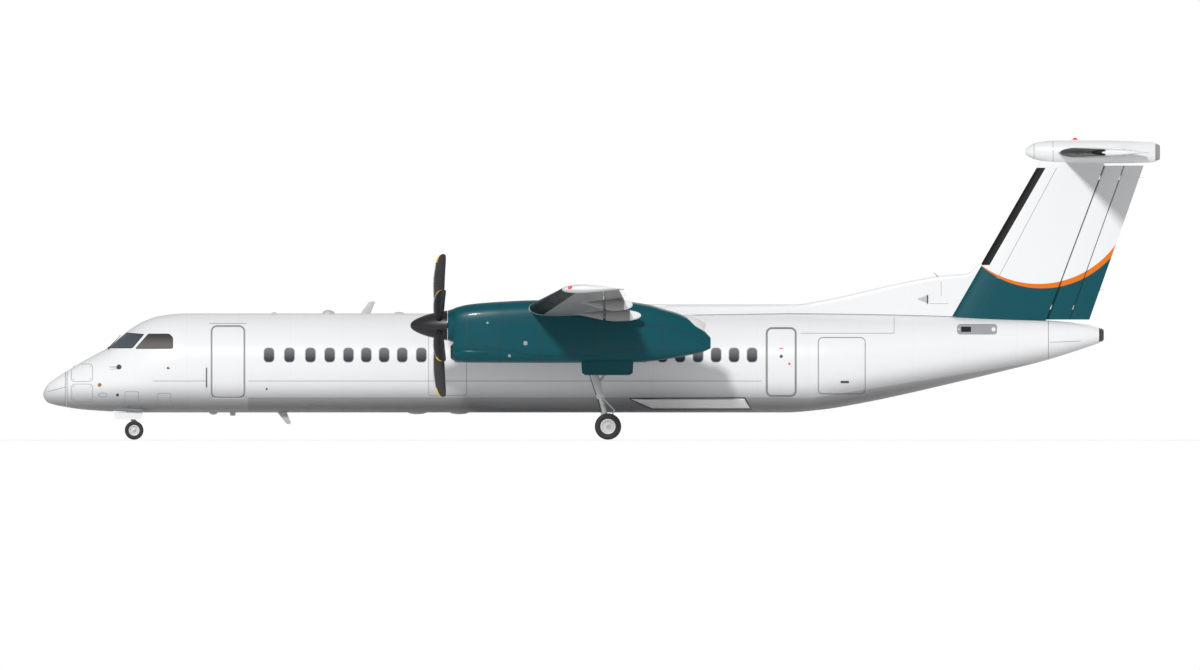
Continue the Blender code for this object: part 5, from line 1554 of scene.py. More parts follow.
class AIRLINER_OT_fairings(Operator):
    """Build the wing fairing, the ridge with the dorsal fin and the belly fairings"""

    bl_idname = "airliner.fairings"
    bl_label = "Fairings"

    def execute(self, context):
        end = WING_FAIRING[-1][0]
        rows = [(s, *through(WING_FAIRING, s)) for s in spread(WING_FAIRING[0][0], end, 40)]
        fairing = tube("wing_root_fairing", [saddle_ring(row) for row in rows], "white_gloss", 45.0)
        seated(fairing, "airframe", "white_paint", "wing_fairing")

        bm = bmesh.new()
        rows = [(s, *through(DORSAL, s)) for s in spread(end + 0.001, DORSAL[-1][0], 90)]
        grow_rings(bm, [saddle_ring(row) for row in rows])
        cut = Vector((FIN_LE[1][0] - FIN_LE[0][0], 0, FIN_LE[1][1] - FIN_LE[0][1])).normalized()
        low = spot(FIN_LE[0][0] + 0.035, FIN_LE[0][1])
        split_faces = bmesh.ops.bisect_plane(
            bm, geom=bm.verts[:] + bm.edges[:] + bm.faces[:], plane_co=low,
            plane_no=Vector((cut.z, 0, -cut.x)), clear_outer=True)
        rim = [e for e in split_faces["geom_cut"] if isinstance(e, bmesh.types.BMEdge)]
        bmesh.ops.edgeloop_fill(bm, edges=rim)
        keep("ridge_and_dorsal", bm, "white_gloss", "airframe", "white_paint", "dorsal_fin", smooth=45.0)

        bm = bmesh.new()
        for side, _ in SIDES:
            lay = layer(on_dorsal, side)
            joint = []
            for s in spread(17.5, 27.3, 120):
                top, _, level, half = hull_at(s)
                share = through(DORSAL, s)[0] / half
                joint.append((s, level + (top - level) * sqrt(1 - share**2) + 0.016))
            add_band(bm, joint, 0.022, lay)
            add_band(bm, line((26.38, 3.42), (26.38, 3.86)), 0.012, lay)
            add_band(bm, line((26.05, 3.20), (26.60, 3.20)), 0.010, lay)
        keep("dorsal_seams", bm, "seam_grey", "airframe", "white_paint", smooth=40.0)
        bm = bmesh.new()
        for side, _ in SIDES:
            half = through(DORSAL, 25.8)[0]
            scoop = ((25.64, 3.33, -0.01), (25.98, 3.44, 0.05), (25.98, 3.24, 0.05), (25.98, 3.24, -0.01),
                     (25.98, 3.44, -0.01))
            verts = [bm.verts.new(spot(s, h, side * (half + out))) for s, h, out in scoop]
            bmesh.ops.convex_hull(bm, input=verts)
            # A near black plate across each inlet's mouth is painted shade.
            add_block(bm, spot(25.965, 3.21, side * half - 0.056), spot(25.99, 3.45, side * half + 0.056),
                      material=1)
        keep("dorsal_inlets", bm, ["aerial_grey", "soot"], "airframe", "white_paint", smooth=20.0)

        for side, tag in SIDES:
            (s0, h0), (s1, h1), (s2, h2), (s3, h3) = BELLY_FAIRING
            rings = []
            steps = 44
            for k in range(steps + 1):
                s = s0 + (s2 - s0) * k / steps
                low = h0 + (h1 - h0) * min(1.0, (s - s0) / (s1 - s0)) + 0.002
                if s < s3:
                    high = h0 + (h3 - h0) * (s - s0) / (s3 - s0)
                else:
                    high = h3 + (h2 - h3) * (s - s3) / (s2 - s3)
                high = max(high, low + 0.006)
                ease = min(1.0, (s - s0) / 0.5 + 0.05, (s2 - s) / 0.12 + 0.05)
                ring = [on_hull(s, low, side, -0.02)]
                for t in spread(0.0, 1.0, 8):
                    h = low + (high - low) * t
                    ring.append(on_hull(s, h, side, 0.050 * ease * min(1.0, sin(pi * t) * 3.0 + 0.12)))
                ring.append(on_hull(s, high, side, -0.02))
                rings.append(ring)
            fairing = tube(f"belly_side_fairing_{tag}", rings, "white_gloss", 50.0)
            seated(fairing, "airframe", "white_paint", f"belly_fairing_{tag}")
            bm = bmesh.new()
            legs = (((s0 - 0.03, h0 + 0.004), (s1, h1 - 0.02)), ((s1, h1 - 0.02), (s2 + 0.02, h2 - 0.02)),
                    ((s2 + 0.02, h2 - 0.02), (s3 + 0.02, h3 + 0.015)),
                    ((s3 + 0.02, h3 + 0.015), (s0 - 0.03, h0 + 0.02)))
            loop = [point for a, b in legs for point in line(a, b)]
            add_band(bm, loop, 0.030, layer(on_hull, side, rise=0.002))
            keep(f"belly_fairing_seal_{tag}", bm, "pane_seal", "airframe", "white_paint", smooth=40.0)
        return {"FINISHED"}


# Wing

def thickness(share, thick):
    """Half thickness of the section as a share of the chord."""
    terms = 0.2969 * sqrt(share) - 0.1260 * share - 0.3516 * share**2 + 0.2843 * share**3 - 0.1015 * share**4
    return 5 * thick * max(terms, 0.0)


def camber(share):
    """Height of the mean line, greatest at two fifths of the chord."""
    if share < 0.4:
        return CAMBER / 0.16 * (0.8 * share - share**2)
    return CAMBER / 0.36 * (0.2 + 0.8 * share - share**2)


def shares_to(end, boot):
    """Chord shares, close together at the nose, with one where the boot ends."""
    nose = [boot * (1 - cos(pi / 2 * k / 9)) for k in range(9)]
    return nose + spread(boot, end, 16)


def tip_steps(count):
    """Steps round a tip: share of the way out, and share of the section that is left there."""
    outs = [sin(pi / 2 * k / count) for k in range(1, count + 1)]
    return [(t, sqrt(max(0.0, 1 - t * t))) for t in outs]


def aerofoil(chord, thick, bend=1.0, end=1.0, boot=0.095):
    """Section as pairs, from the tail over the top and back underneath."""
    shares = shares_to(end, boot)
    upper = [(s * chord, (bend * camber(s) + thickness(s, thick) + 0.0015) * chord) for s in shares]
    lower = [(s * chord, (bend * camber(s) - thickness(s, thick) - 0.0015) * chord) for s in shares]
    return list(reversed(upper)) + lower


def wing_at(y):
    """Leading edge, chord, height and thickness of the wing at a side position."""
    share = max(0.0, (abs(y) - NACELLE_Y) / (TIP_Y - NACELLE_Y))
    return [a + (b - a) * share for a, b in (
        (WING_LE, TIP_LE), (WING_CHORD, TIP_CHORD), (WING_H, TIP_H), (WING_THICK, TIP_THICK))]


def wing_ring(y, shrink=1.0, cut=False, grow=0.0):
    """One ring of the wing, whole or cut at the rear face."""
    lead, chord, height, thick = wing_at(y)
    end = (WING_REAR - lead) / chord if cut else 1.0
    ring = []
    boot = bpy.context.scene.airliner_sizes.boot_width / chord
    for x, z in aerofoil(chord * shrink, thick * shrink, end=end, boot=boot):
        ring.append(spot(lead + chord * (1 - shrink) * 0.5 + x, height + z + (grow if z > 0 else -grow), y))
    return ring


def wing_skin(station, y, upper=True):
    """Height of the wing's skin at a station and side position."""
    lead, chord, height, thick = wing_at(y)
    share = (station - lead) / chord
    lift = thickness(share, thick) + 0.0015
    return height + chord * (camber(share) + (lift if upper else -lift))


def wing_faces(faces, boot_from, boot_to, boot):
    """Give the wing's faces their materials: top, underside, boot and white tip."""
    for face in faces:
        middle = face.calc_center_median()
        face.normal_update()
        y = abs(middle.y)
        lead, chord, height, _ = wing_at(y)
        behind = middle.x - NOSE_X - lead
        level = middle.z - KEEL - height - chord * camber(max(0.0, min(1.0, behind / chord)))
        if boot_from < y < boot_to and behind < boot:
            face.material_index = 2
        elif y > boot_to or y < boot_from and behind < boot:
            face.material_index = 3
        else:
            # Faces below the mean line take the underside's darker grey as painted shade.
            face.material_index = 0 if level > 0 else 1


def add_canoe(bm, rows, y, sides=28, material=0):
    """A flap fairing through rows of station, half width, low and high."""
    rings = [ellipse(station, (low + high) / 2, (high - low) / 2, half, sides, y) for station, half, low,
             high in rows]
    return grow_rings(bm, rings, material=material)


def flap_carriers(y_span):
    """Side positions of the fairings that carry a flap."""
    width = y_span[1] - y_span[0]
    if width < 3:
        return (y_span[0] + width / 2,)
    return (y_span[0] + 0.45, y_span[1] - 0.65)


def flap_axis(y_span, side):
    """Two points on a flap's hinge line, below the wing's rear edge."""
    return [spot(WING_REAR + 0.004, wing_skin(WING_REAR, y, False) - FLAP_DROP, side * y) for y in y_span]


def wing_hinge(y, side, gap):
    """Hinge point, tail point and nose radius of a surface behind the wing's rear face."""
    lead, chord, height, thick = wing_at(y)
    share = (WING_REAR - lead) / chord
    radius = chord * thickness(share, thick) * 0.97
    level = height + chord * camber(share)
    return spot(WING_REAR + gap + radius, level, side * y), spot(lead + chord, height, side * y), radius


def surface_rings(ends, steps=14):
    """Rings of a hinged surface: round nose, straight sides and a thin tail."""
    rings = []
    span = (Vector(ends[1][0]) - Vector(ends[0][0])).normalized()
    for hinge, tail, radius in ends:
        aft = (Vector(tail) - Vector(hinge)).normalized()
        lift = aft.cross(span).normalized()
        ring = [Vector(tail) + lift * 0.004]
        for k in range(steps + 1):
            turn = pi / 2 + pi * k / steps
            ring.append(Vector(hinge) + radius * (cos(turn) * aft + sin(turn) * lift))
        ring.append(Vector(tail) - lift * 0.004)
        rings.append(ring)
    return rings


def canoe_rows(table, y, count):
    """Rows of one half of a flap fairing, hung below the wing."""
    scale = wing_at(y)[1] / WING_CHORD
    rows = []
    for behind, half, low, high in table:
        station = WING_REAR + (behind if abs(behind) < CANOE_JOIN else behind * scale)
        skin = wing_skin(min(station, WING_REAR), y, False)
        rows.append((station, half, skin + low, skin + high))
    return [(s, *through(rows, s)) for s in spread(rows[0][0], rows[-1][0], count)]


def add_front_canoe(bm, y, side, material=0):
    """The fixed half: a shell that is open behind, with a plate that closes the joint above the hinge."""
    rows = canoe_rows(CANOE_FRONT, y, 12)
    skin = wing_skin(WING_REAR, y, False)
    _, half, low, high = rows[-1]
    rear = WING_REAR - 0.020
    rows += [(rear, half, low - 0.004, high), (rear, half - 0.010, low + 0.006, high - 0.01),
             (rear - 0.12, half - 0.014, low + 0.02, high - 0.01)]
    add_canoe(bm, rows, side * y, material=material)
    low_y, high_y = sorted((side * (y - 0.03), side * (y + 0.03)))
    add_block(bm, spot(rear - 0.03, skin - FLAP_DROP + 0.064, low_y),
              spot(WING_REAR + 0.052, skin + 0.03, high_y), material=material)


def add_knuckles(bm, y_span, side, material=0):
    """Round plates about a flap's hinge, which fill the joint of its fairings."""
    start, end = flap_axis(y_span, side)
    across = (end - start).normalized()
    for y in flap_carriers(y_span):
        centre = start + (end - start) * (y - y_span[0]) / (y_span[1] - y_span[0])
        for hand in (-1, 1):
            add_bar(bm, centre + across * hand * 0.034, centre + across * hand * 0.050, 0.056, sides=40,
                    material=material)


class AIRLINER_OT_wing(Operator):
    """Build the wing with its boots, tips, spoiler recesses and the front flap fairings"""

    bl_idname = "airliner.wing"
    bl_label = "Wing"

    def execute(self, context):
        boot = context.scene.airliner_sizes.boot_width
        skins = ["wing_top", "wing_under", "boot_rubber", "white_gloss"]
        bm = bmesh.new()
        inner = FLAP_IN[0] - 0.012
        faces = grow_rings(bm, [wing_ring(y) for y in (-inner, 0.0, inner)])
        for side, _ in SIDES:
            faces += grow_rings(bm, [wing_ring(side * y, cut=True) for y in (inner, 2.4, 3.96)])
            for y in flap_carriers(FLAP_IN):
                add_front_canoe(bm, y, side, 1)
        wing_faces(faces, 1.6, 3.9, boot)
        keep("wing_centre_skin", bm, skins, "airframe", "wing_grey", "wing_centre", smooth=30.0)

        for side, tag in SIDES:
            bm = bmesh.new()
            cut_end = AILERON[1] + 0.012
            ys = [4.7, 5.25, 5.6, *spread(6.5, 13.2, 8), 13.45, cut_end]
            wing_faces(grow_rings(bm, [wing_ring(side * y, cut=True) for y in ys]), 5.32, 13.62, boot)
            wing = finished(f"wing_skin_{tag}", bm, skins, 30.0)
            recess = []
            for index, y in enumerate(SPOILER):
                out = -0.006 if index == 0 else 0.006
                front, back = WING_REAR - 0.03 - SPOILER_CHORD - 0.021, WING_REAR - 0.03 + 0.006
                drop = SPOILER_THICK + 0.006
                recess.append([spot(front, wing_skin(front, y) - drop, side * (y + out)),
                               spot(back, wing_skin(back, y) - drop, side * (y + out)),
                               spot(back, wing_skin(back, y) + 0.25, side * (y + out)),
                               spot(front, wing_skin(front, y) + 0.25, side * (y + out))])
            carve(wing, tube("recess", recess, "seal_grey", 0.0))
            bm = bmesh.new()
            bm.from_mesh(wing.data)
            rings = [wing_ring(side * cut_end), wing_ring(side * 13.90)]
            for out, left in tip_steps(8):
                rings.append(wing_ring(side * (13.90 + (TIP_Y - 13.90) * out), 0.62 + 0.38 * left))
            tip = grow_rings(bm, rings)
            bmesh.ops.recalc_face_normals(bm, faces=tip)
            wing_faces(tip, 5.32, 13.62, boot)
            bm.to_mesh(wing.data)
            bm.free()
            shaded(wing, 30.0)
            seated(wing, "airframe", "wing_grey", f"wing_outer_{tag}")
            bm = bmesh.new()
            for y in flap_carriers(FLAP_OUT):
                add_front_canoe(bm, y, side)
            add_lugs(bm, FLAP_OUT, side, -1, -0.10)
            add_lugs(bm, FLAP_IN, side, -1, -0.10)
            keep(f"flap_track_fairings_{tag}", bm, "wing_under", "airframe", "wing_grey", smooth=35.0)
            lens = "red_lens" if side < 0 else "green_lens"
            bm = bmesh.new()
            add_bump(bm, 15.41, 15.58, 3.665, 0.050, 0.04)
            bmesh.ops.translate(bm, verts=bm.verts[:], vec=(0, side * 14.165, 0))
            keep(f"tip_lamp_{tag}", bm, lens, "airframe", "glazing")
            bm = bmesh.new()
            for y in (13.85, 14.02):
                lead, chord, height, _ = wing_at(y)
                add_wick(bm, spot(lead + chord, height, side * y), 0.16, 0.01)
            keep(f"wing_wicks_{tag}", bm, "hose_black", "airframe", "bare_metal")
        return {"FINISHED"}


def add_lugs(bm, y_span, side, hand, reach, material=0):
    """Hinge plates with round eyes under the wing's rear edge, square to the hinge line."""
    axis = flap_axis(y_span, side)
    across = (axis[1] - axis[0]).normalized() * side
    rise = Vector((1, 0, 0)).cross(across)
    for y in flap_carriers(y_span):
        centre = axis[0] + (axis[1] - axis[0]) * (y - y_span[0]) / (y_span[1] - y_span[0])
        rings = []
        for aside in (0.002, 0.026):
            middle = centre + across * hand * aside
            rings.append([middle + Vector((x, 0, 0)) + rise * z for x, z in (
                (0, -0.022), (reach, -0.022), (reach, 0.022), (0, 0.022))])
        grow_rings(bm, rings, material=material)
        add_bar(bm, centre + across * hand * 0.0006, centre + across * hand * 0.028, 0.031, sides=28,
                lip=0.002, material=material)


def paint_sides(bm, faces):
    """Top faces get the top's paint, the rest the underside's darker grey, which is painted shade."""
    bmesh.ops.recalc_face_normals(bm, faces=faces)
    for face in faces:
        face.material_index = 0 if face.normal.z > 0.2 else 1


class AIRLINER_OT_surfaces(Operator):
    """Build the flaps, ailerons and spoilers"""

    bl_idname = "airliner.surfaces"
    bl_label = "Flaps, ailerons and spoilers"

    def execute(self, context):
        skins = ["wing_top", "wing_under", "white_gloss"]
        for side, tag in SIDES:
            for label, y_span in (("inboard_flap", FLAP_IN), ("outboard_flap", FLAP_OUT)):
                ends = [(h, t, r * 0.99) for h, t, r in (wing_hinge(y, side, 0.014) for y in y_span)]
                bm = bmesh.new()
                faces = grow_rings(bm, surface_rings(ends))
                bm.normal_update()
                paint_sides(bm, faces)
                for y in flap_carriers(y_span):
                    rows = canoe_rows(CANOE_BACK, y, 16)
                    # Painted shadow: the fairing takes the underside grey where the wing's shadow falls, and
                    # white on its tail, which stands in light.
                    for face in add_canoe(bm, rows, side * y, material=1):
                        if face.calc_center_median().x > NOSE_X + rows[11][0]:
                            face.material_index = 2
                add_knuckles(bm, y_span, side, 1)
                add_lugs(bm, y_span, side, 1, 0.12, 1)
                name = f"{label}_{tag}"
                keep(f"{name}_skin", bm, skins, name, "wing_grey", name, smooth=35.0)
            ends = [wing_hinge(y, side, CLEAR) for y in AILERON]
            bm = bmesh.new()
            faces = grow_rings(bm, surface_rings(ends))
            paint_sides(bm, faces)
            add_pivots(bm, ends, (0.15, 0.85), 0.0006)
            tail_a, tail_b = ends[0][1], ends[1][1]
            for y in (11.2, 12.3, 13.4):
                tail = tail_a + (tail_b - tail_a) * (y - AILERON[0]) / (AILERON[1] - AILERON[0])
                add_wick(bm, tail, 0.15, 0.008, 1)
            name = f"aileron_{tag}"
            keep(f"{name}_skin", bm, skins, name, "wing_grey", name, smooth=35.0)
            NODES[f"spoiler_{tag}"].material_slots[0].material = finish("wing_top")
        return {"FINISHED"}


# Nacelles and propellers

def pod_at(station):
    """Top, bottom and half width of the nacelle at a station."""
    return through(POD, min(max(station, POD[0][0]), POD[-1][0]))


def pod_ring(station, side, grow=0.0, sides=64):
    """One nacelle ring, a rounded rectangle."""
    top, bottom, half = pod_at(station)
    middle, rise = (top + bottom) / 2, (top - bottom) / 2
    ring = []
    for k in range(sides):
        turn = 2 * pi * k / sides
        c, s = cos(turn), sin(turn)
        across = abs(c) ** (2 / POD_ROUND) * (1 if c > 0 else -1)
        lift = abs(s) ** (2 / POD_ROUND) * (1 if s > 0 else -1)
        ring.append(spot(station, middle + (rise + grow) * lift, side * NACELLE_Y + (half + grow) * across))
    return ring


def on_pod(station, height, side, hand, grow=0.0):
    """A point on the nacelle's flank, hand being +1 for the outer flank and -1 for the inner one."""
    top, bottom, half = pod_at(station)
    middle, rise = (top + bottom) / 2, (top - bottom) / 2 + grow
    share = min(1.0, abs(height - middle) / rise)
    return spot(station, height,
                side * (NACELLE_Y + hand * (half + grow) * (1 - share**POD_ROUND) ** (1 / POD_ROUND)))


def oval(station, side, wide, tall, sides=48):
    """An intake ring."""
    return ellipse(station, INTAKE_H, tall, wide, sides, side * NACELLE_Y)


def ducted(piece, side, depth):
    """Open the intake's duct through a piece, to a depth behind the cowl's front."""
    front = POD[0][0]
    carve(piece,
          tube("duct", [oval(s, side, *INTAKE_HALF) for s in (front - 0.2, front + depth)], "soot", 0.0))
    return shaded(piece, 40.0)


class AIRLINER_OT_nacelles(Operator):
    """Build the cowls with their intakes, the rear nacelles with the wheel wells, and the nozzles"""

    bl_idname = "airliner.nacelles"
    bl_label = "Nacelles"

    def execute(self, context):
        front = POD[0][0]
        for side, tag in SIDES:
            y = side * NACELLE_Y
            rings = [pod_ring(front + behind, side, grow) for behind, grow in COWL_ROUND]
            rings += [pod_ring(s, side) for s in spread(front + 0.08, COWL_END, 26)]
            cowl = tube(f"cowl_skin_{tag}", rings, "teal_gloss", 40.0)
            seated(ducted(cowl, side, 0.48), "airframe", "teal_paint", f"engine_cowl_{tag}")

            bm = bmesh.new()
            wide, tall = INTAKE_HALF
            lip = grow_rings(bm, [oval(front + behind, side, wide + g, tall + g) for behind, g in LIP],
                             cap_start=False, cap_end=False)
            for face in lip:
                if face.calc_center_median().x < NOSE_X + front - 0.03:
                    face.material_index = 1
            # The duct's inside and its closed end take the near black as painted shade.
            inner = [oval(front + behind, side, (wide - 0.006) * k, (tall - 0.006) * k) for behind, k in (
                (0.0, 1.0), (0.2, 0.93), (0.35, 0.82), (0.47, 0.60))]
            grow_rings(bm, inner, cap_start=False, material=2)
            bmesh.ops.remove_doubles(bm, verts=bm.verts[:], dist=0.0001)
            keep(f"intake_{tag}", bm, ["teal_gloss", "boot_rubber", "soot"], "airframe", "teal_paint",
                 smooth=40.0)

            rings = [circle(spot(s, PROP_H, y), (1, 0, 0), (0, 0, 1), r, 64) for s, r in COLLAR]
            seated(tube(f"cowl_collar_{tag}", rings, "teal_gloss", 40.0), "airframe", "teal_paint")
            rows = [(s, *through(CHIN, s)) for s in spread(CHIN[0][0], CHIN[-1][0], 22)]
            rings = [oval(s, side, across, tall) for s, across, tall in rows]
            chin = tube(f"intake_scoop_{tag}", rings, "teal_gloss", 40.0)
            seated(ducted(chin, side, 0.60), "airframe", "teal_paint")

            stations = [*spread(COWL_END + 0.002, 17.6, 20), *spread(17.7, POD[-1][0], 26)]
            rear = tube(f"nacelle_skin_{tag}", [pod_ring(s, side) for s in stations],
                        ["teal_gloss", "well_primer"], 40.0)
            fore, aft, top, half = MAIN_WELL
            (s0, h0), (s1, h1) = NOZZLE
            start, far = spot(s0, h0, y), spot(19.9, h1 - 0.29 * 0.47 / 1.08, y)
            along = (far - start).normalized()
            seat = tube("seat", [circle(p, along, (0, 0, 1), NOZZLE_R + 0.012, 48) for p in (start, far)],
                        "soot", 0.0)
            carve(rear, seat)
            bm = bmesh.new()
            add_block(bm, spot(fore, 1.0, y - half), spot(aft, top, y + half))
            carve(rear, finished("well", bm, "well_primer", 0.0))
            for polygon in rear.data.polygons:
                middle = polygon.center
                station = middle.x - NOSE_X
                inside = fore - 0.01 < station < aft + 0.01 and abs(middle.y - y) < half + 0.004
                polygon.material_index = 1 if inside and 1.47 < middle.z - KEEL < top + 0.01 else 0
            seated(shaded(rear, 40.0), "airframe", "teal_paint", f"nacelle_rear_{tag}")

            end = spot(s1, h1, y)
            along = (end - start).normalized()
            bm = bmesh.new()
            rings = [circle(start + along * d, along, (0, 0, 1), r, 64) for d, r in NOZZLE_ROWS]
            faces = grow_rings(bm, rings)
            for face in faces:
                reach = (face.calc_center_median() - start).dot(along)
                away = (face.calc_center_median() - start - along * reach).length
                if 0.6 < reach < 1.10 and away < 0.182:
                    face.material_index = 1
            keep(f"nozzle_{tag}", bm, ["nozzle_metal", "soot"], "airframe", "bare_metal", f"exhaust_{tag}",
                 smooth=30.0)

            bm = bmesh.new()
            width = context.scene.airliner_sizes.seam_width
            for station in (12.454, 13.423, COWL_END, 16.185, 18.182):
                add_hoop(bm, lambda s, g, side=side: pod_ring(s, side, g), station, width)
            for hand in (-1, 1):
                lay = layer(on_pod, side, hand)
                for a, b in (*POD_SEAMS, *zip(WELL_EDGE, WELL_EDGE[1:])):
                    add_band(bm, line(a, b), width * 0.9, lay)
                add_band(bm, [(s, pod_at(s)[0] - 0.03) for s in spread(18.72, 19.58, 18)], 0.034, lay)
            keep(f"nacelle_seams_{tag}", bm, "seam_teal", "airframe", "teal_paint", smooth=40.0)
            bm = bmesh.new()
            for hand in (-1, 1):
                for s, h, half_w in ((13.055, 2.632, 0.030), (14.17, 2.035, 0.055), (13.70, 1.665, 0.040)):
                    rings = []
                    for inset, grow in ((0.0, -0.004), (0.0, 0.004), (0.012, 0.006)):
                        w = half_w - inset
                        rings.append([on_pod(s + a * w, h + b * w, side, hand, grow) for a, b in CHAMFERED])
                    grow_rings(bm, rings)
            keep(f"nacelle_ports_{tag}", bm, "vent_grey", "airframe", "bare_metal", smooth=20.0)
            bm = bmesh.new()
            for hand in (-1, 1):
                flange = y + hand * (half + 0.045)
                add_leaf(bm, gear_door(fore, aft, ((0, 1.60), (0.03, 1.16), (0.12, 1.10))), flange,
                         flange + hand * 0.022)
                for s in (fore + 0.35, aft - 0.35):
                    inner_y = y + hand * (half + 0.012)
                    add_bar(bm, spot(s - 0.06, 1.52, inner_y), spot(s + 0.06, 1.52, inner_y), 0.022,
                            sides=16, material=1)
            bmesh.ops.recalc_face_normals(bm, faces=bm.faces[:])
            keep(f"gear_doors_{tag}", bm, ["teal_gloss", "steel"], "airframe", "teal_paint", smooth=30.0)
            NODES[f"engine_block_{tag}"].material_slots[0].material = finish("engine_grey")
        return {"FINISHED"}


BLADE_STEPS = [*spread(0.27, 0.75, 8), *spread(0.82, 1.85, 14), *spread(1.90, 2.06, 6), 2.078, 2.092, BLADE_R]


def blade_turn(index):
    """How far a propeller's blade is turned from the first one."""
    return Matrix.Rotation(2 * pi * index / BLADES, 3, "X")


class AIRLINER_OT_propellers(Operator):
    """Build the spinners, hubs and six-blade propellers"""

    bl_idname = "airliner.propellers"
    bl_label = "Propellers"

    def execute(self, context):
        tip_band = context.scene.airliner_sizes.tip_band
        rows = [(sqrt(a - SPINNER_SHAPE[0][0]), b) for a, b in SPINNER_SHAPE]
        for side, tag in SIDES:
            y = side * NACELLE_Y
            centre = spot(PROP_STATION, PROP_H, y)
            bm = bmesh.new()
            rings = []
            for k in range(1, 37):
                t = (k / 36) ** 1.6
                s = SPINNER_SHAPE[0][0] + (SPINNER_BASE - SPINNER_SHAPE[0][0]) * t
                radius = through(rows, sqrt(s - SPINNER_SHAPE[0][0]))[0]
                rings.append(circle(spot(s, PROP_H, y), (1, 0, 0), (0, 0, 1), radius, 72))
            grow_rings(bm, rings, cap_end=False)
            # The spinner's inside takes the near black as painted shade.
            inner = [circle(spot(s, PROP_H, y), (1, 0, 0), (0, 0, 1), r, 72) for s, r in (
                (SPINNER_BASE, SPINNER_R - 0.025), (11.60, 0.36), (11.36, 0.308))]
            grow_rings(bm, [rings[-1], *inner], cap_start=False)
            bmesh.ops.remove_doubles(bm, verts=bm.verts[:], dist=0.0001)
            spinner = finished(f"spinner_shell_{tag}", bm, ["spinner_black", "soot"], 40.0)
            holes = []
            for k in range(BLADES):
                away = blade_turn(k) @ Vector((0, 0, 1))
                rings = [circle(centre + away * d, away, (1, 0, 0), 0.085, 40) for d in (0.20, 0.60)]
                holes.append(tube("root", rings, "soot", 0.0))
            carve(spinner, joined_cutters(holes))
            seated(shaded(spinner, 35.0), f"propeller_{tag}", "propeller_black", f"spinner_{tag}")

            bm = bmesh.new()
            add_bar(bm, centre - Vector((0.16, 0, 0)), centre + Vector((0.17, 0, 0)), 0.28, sides=48,
                    lip=0.02)
            add_bar(bm, spot(11.80, PROP_H, y), spot(11.86, PROP_H, y), 0.395, 0.402, sides=64)
            add_bar(bm, centre + Vector((0.18, 0, 0)), spot(12.40, PROP_H, y), 0.08, sides=32)
            for k in range(BLADES):
                away = blade_turn(k) @ Vector((0, 0, 1))
                add_bar(bm, centre + away * 0.24, centre + away * 0.335, 0.083, 0.080, sides=32, lip=0.004)
            keep(f"hub_{tag}", bm, "spinner_black", f"propeller_{tag}", "propeller_black", smooth=35.0)

            bm = bmesh.new()
            for k in range(BLADES):
                spin = blade_turn(k)
                rings = []
                for r in BLADE_STEPS:
                    chord, thick, sweep = through(BLADE, r)
                    if r > 2.06:
                        chord *= sqrt(max(0.02, 1 - ((r - 2.06) / 0.042) ** 2 * 0.75))
                    rings.append([
                        centre + spin @ Vector((sweep + chord / 2 * cos(t),
                                                thick / 2 * sin(t) + 0.006 * cos(t), r))
                        for t in spread(0, 2 * pi * 23 / 24, 23)])
                for face in grow_rings(bm, rings):
                    middle = face.calc_center_median() - centre
                    reach = sqrt(middle.y**2 + middle.z**2)
                    chord, thick, sweep = through(BLADE, min(reach, BLADE_R))
                    ahead = (middle.x - sweep) / (chord / 2)
                    if ahead < -0.80 and 0.6 < reach < BLADE_R - tip_band:
                        face.material_index = 1
                    elif ahead < -0.62 and reach > BLADE_R - tip_band:
                        face.material_index = 2
            keep(f"blades_{tag}", bm, ["blade_black", "blade_edge", "tip_yellow"], f"propeller_{tag}",
                 "propeller_black", f"propeller_{tag}", smooth=50.0)
        return {"FINISHED"}


# Landing gear

def add_spin(bm, centre, profile, steps, material=0):
    """Turn a closed outline of side offsets and radii about an axle that lies across."""
    verts = [bm.verts.new(Vector((0, y, -r))) for y, r in profile]
    edges = [bm.edges.new((a, b)) for a, b in zip(verts, verts[1:] + verts[:1])]
    before = set(bm.faces)
    bmesh.ops.spin(bm, geom=verts + edges, cent=(0, 0, 0), axis=(0, 1, 0), dvec=(0, 0, 0), angle=2 * pi,
                   steps=steps, use_merge=True, use_duplicate=False)
    faces = [f for f in bm.faces if f not in before]
    made = list({v for f in faces for v in f.verts})
    bmesh.ops.translate(bm, verts=made, vec=Vector(centre))
    for face in faces:
        face.material_index = material
    return faces


def tyre_profile(radius, width, bead):
    """Half outline of a tyre with circumferential grooves, mirrored to the whole."""
    side = []
    for y, r in ((0.30, bead - 0.004), (0.37, bead + 0.01), (0.45, bead + 0.22 * (radius - bead)),
                 (0.490, bead + 0.42 * (radius - bead)), (0.498, bead + 0.58 * (radius - bead)),
                 (0.480, bead + 0.74 * (radius - bead)), (0.43, bead + 0.88 * (radius - bead)),
                 (0.36, radius - 0.012), (0.30, radius - 0.004)):
        side.append((y * width, r))
    crown = []
    for y in (0.27, 0.10):
        crown += [(y * width, radius - 0.002), (y * width - 0.002, radius - 0.012),
                  (y * width - 0.009, radius - 0.012), (y * width - 0.011, radius - 0.001)]
    half = side + crown
    return half + [(-y, r) for y, r in reversed(half)]


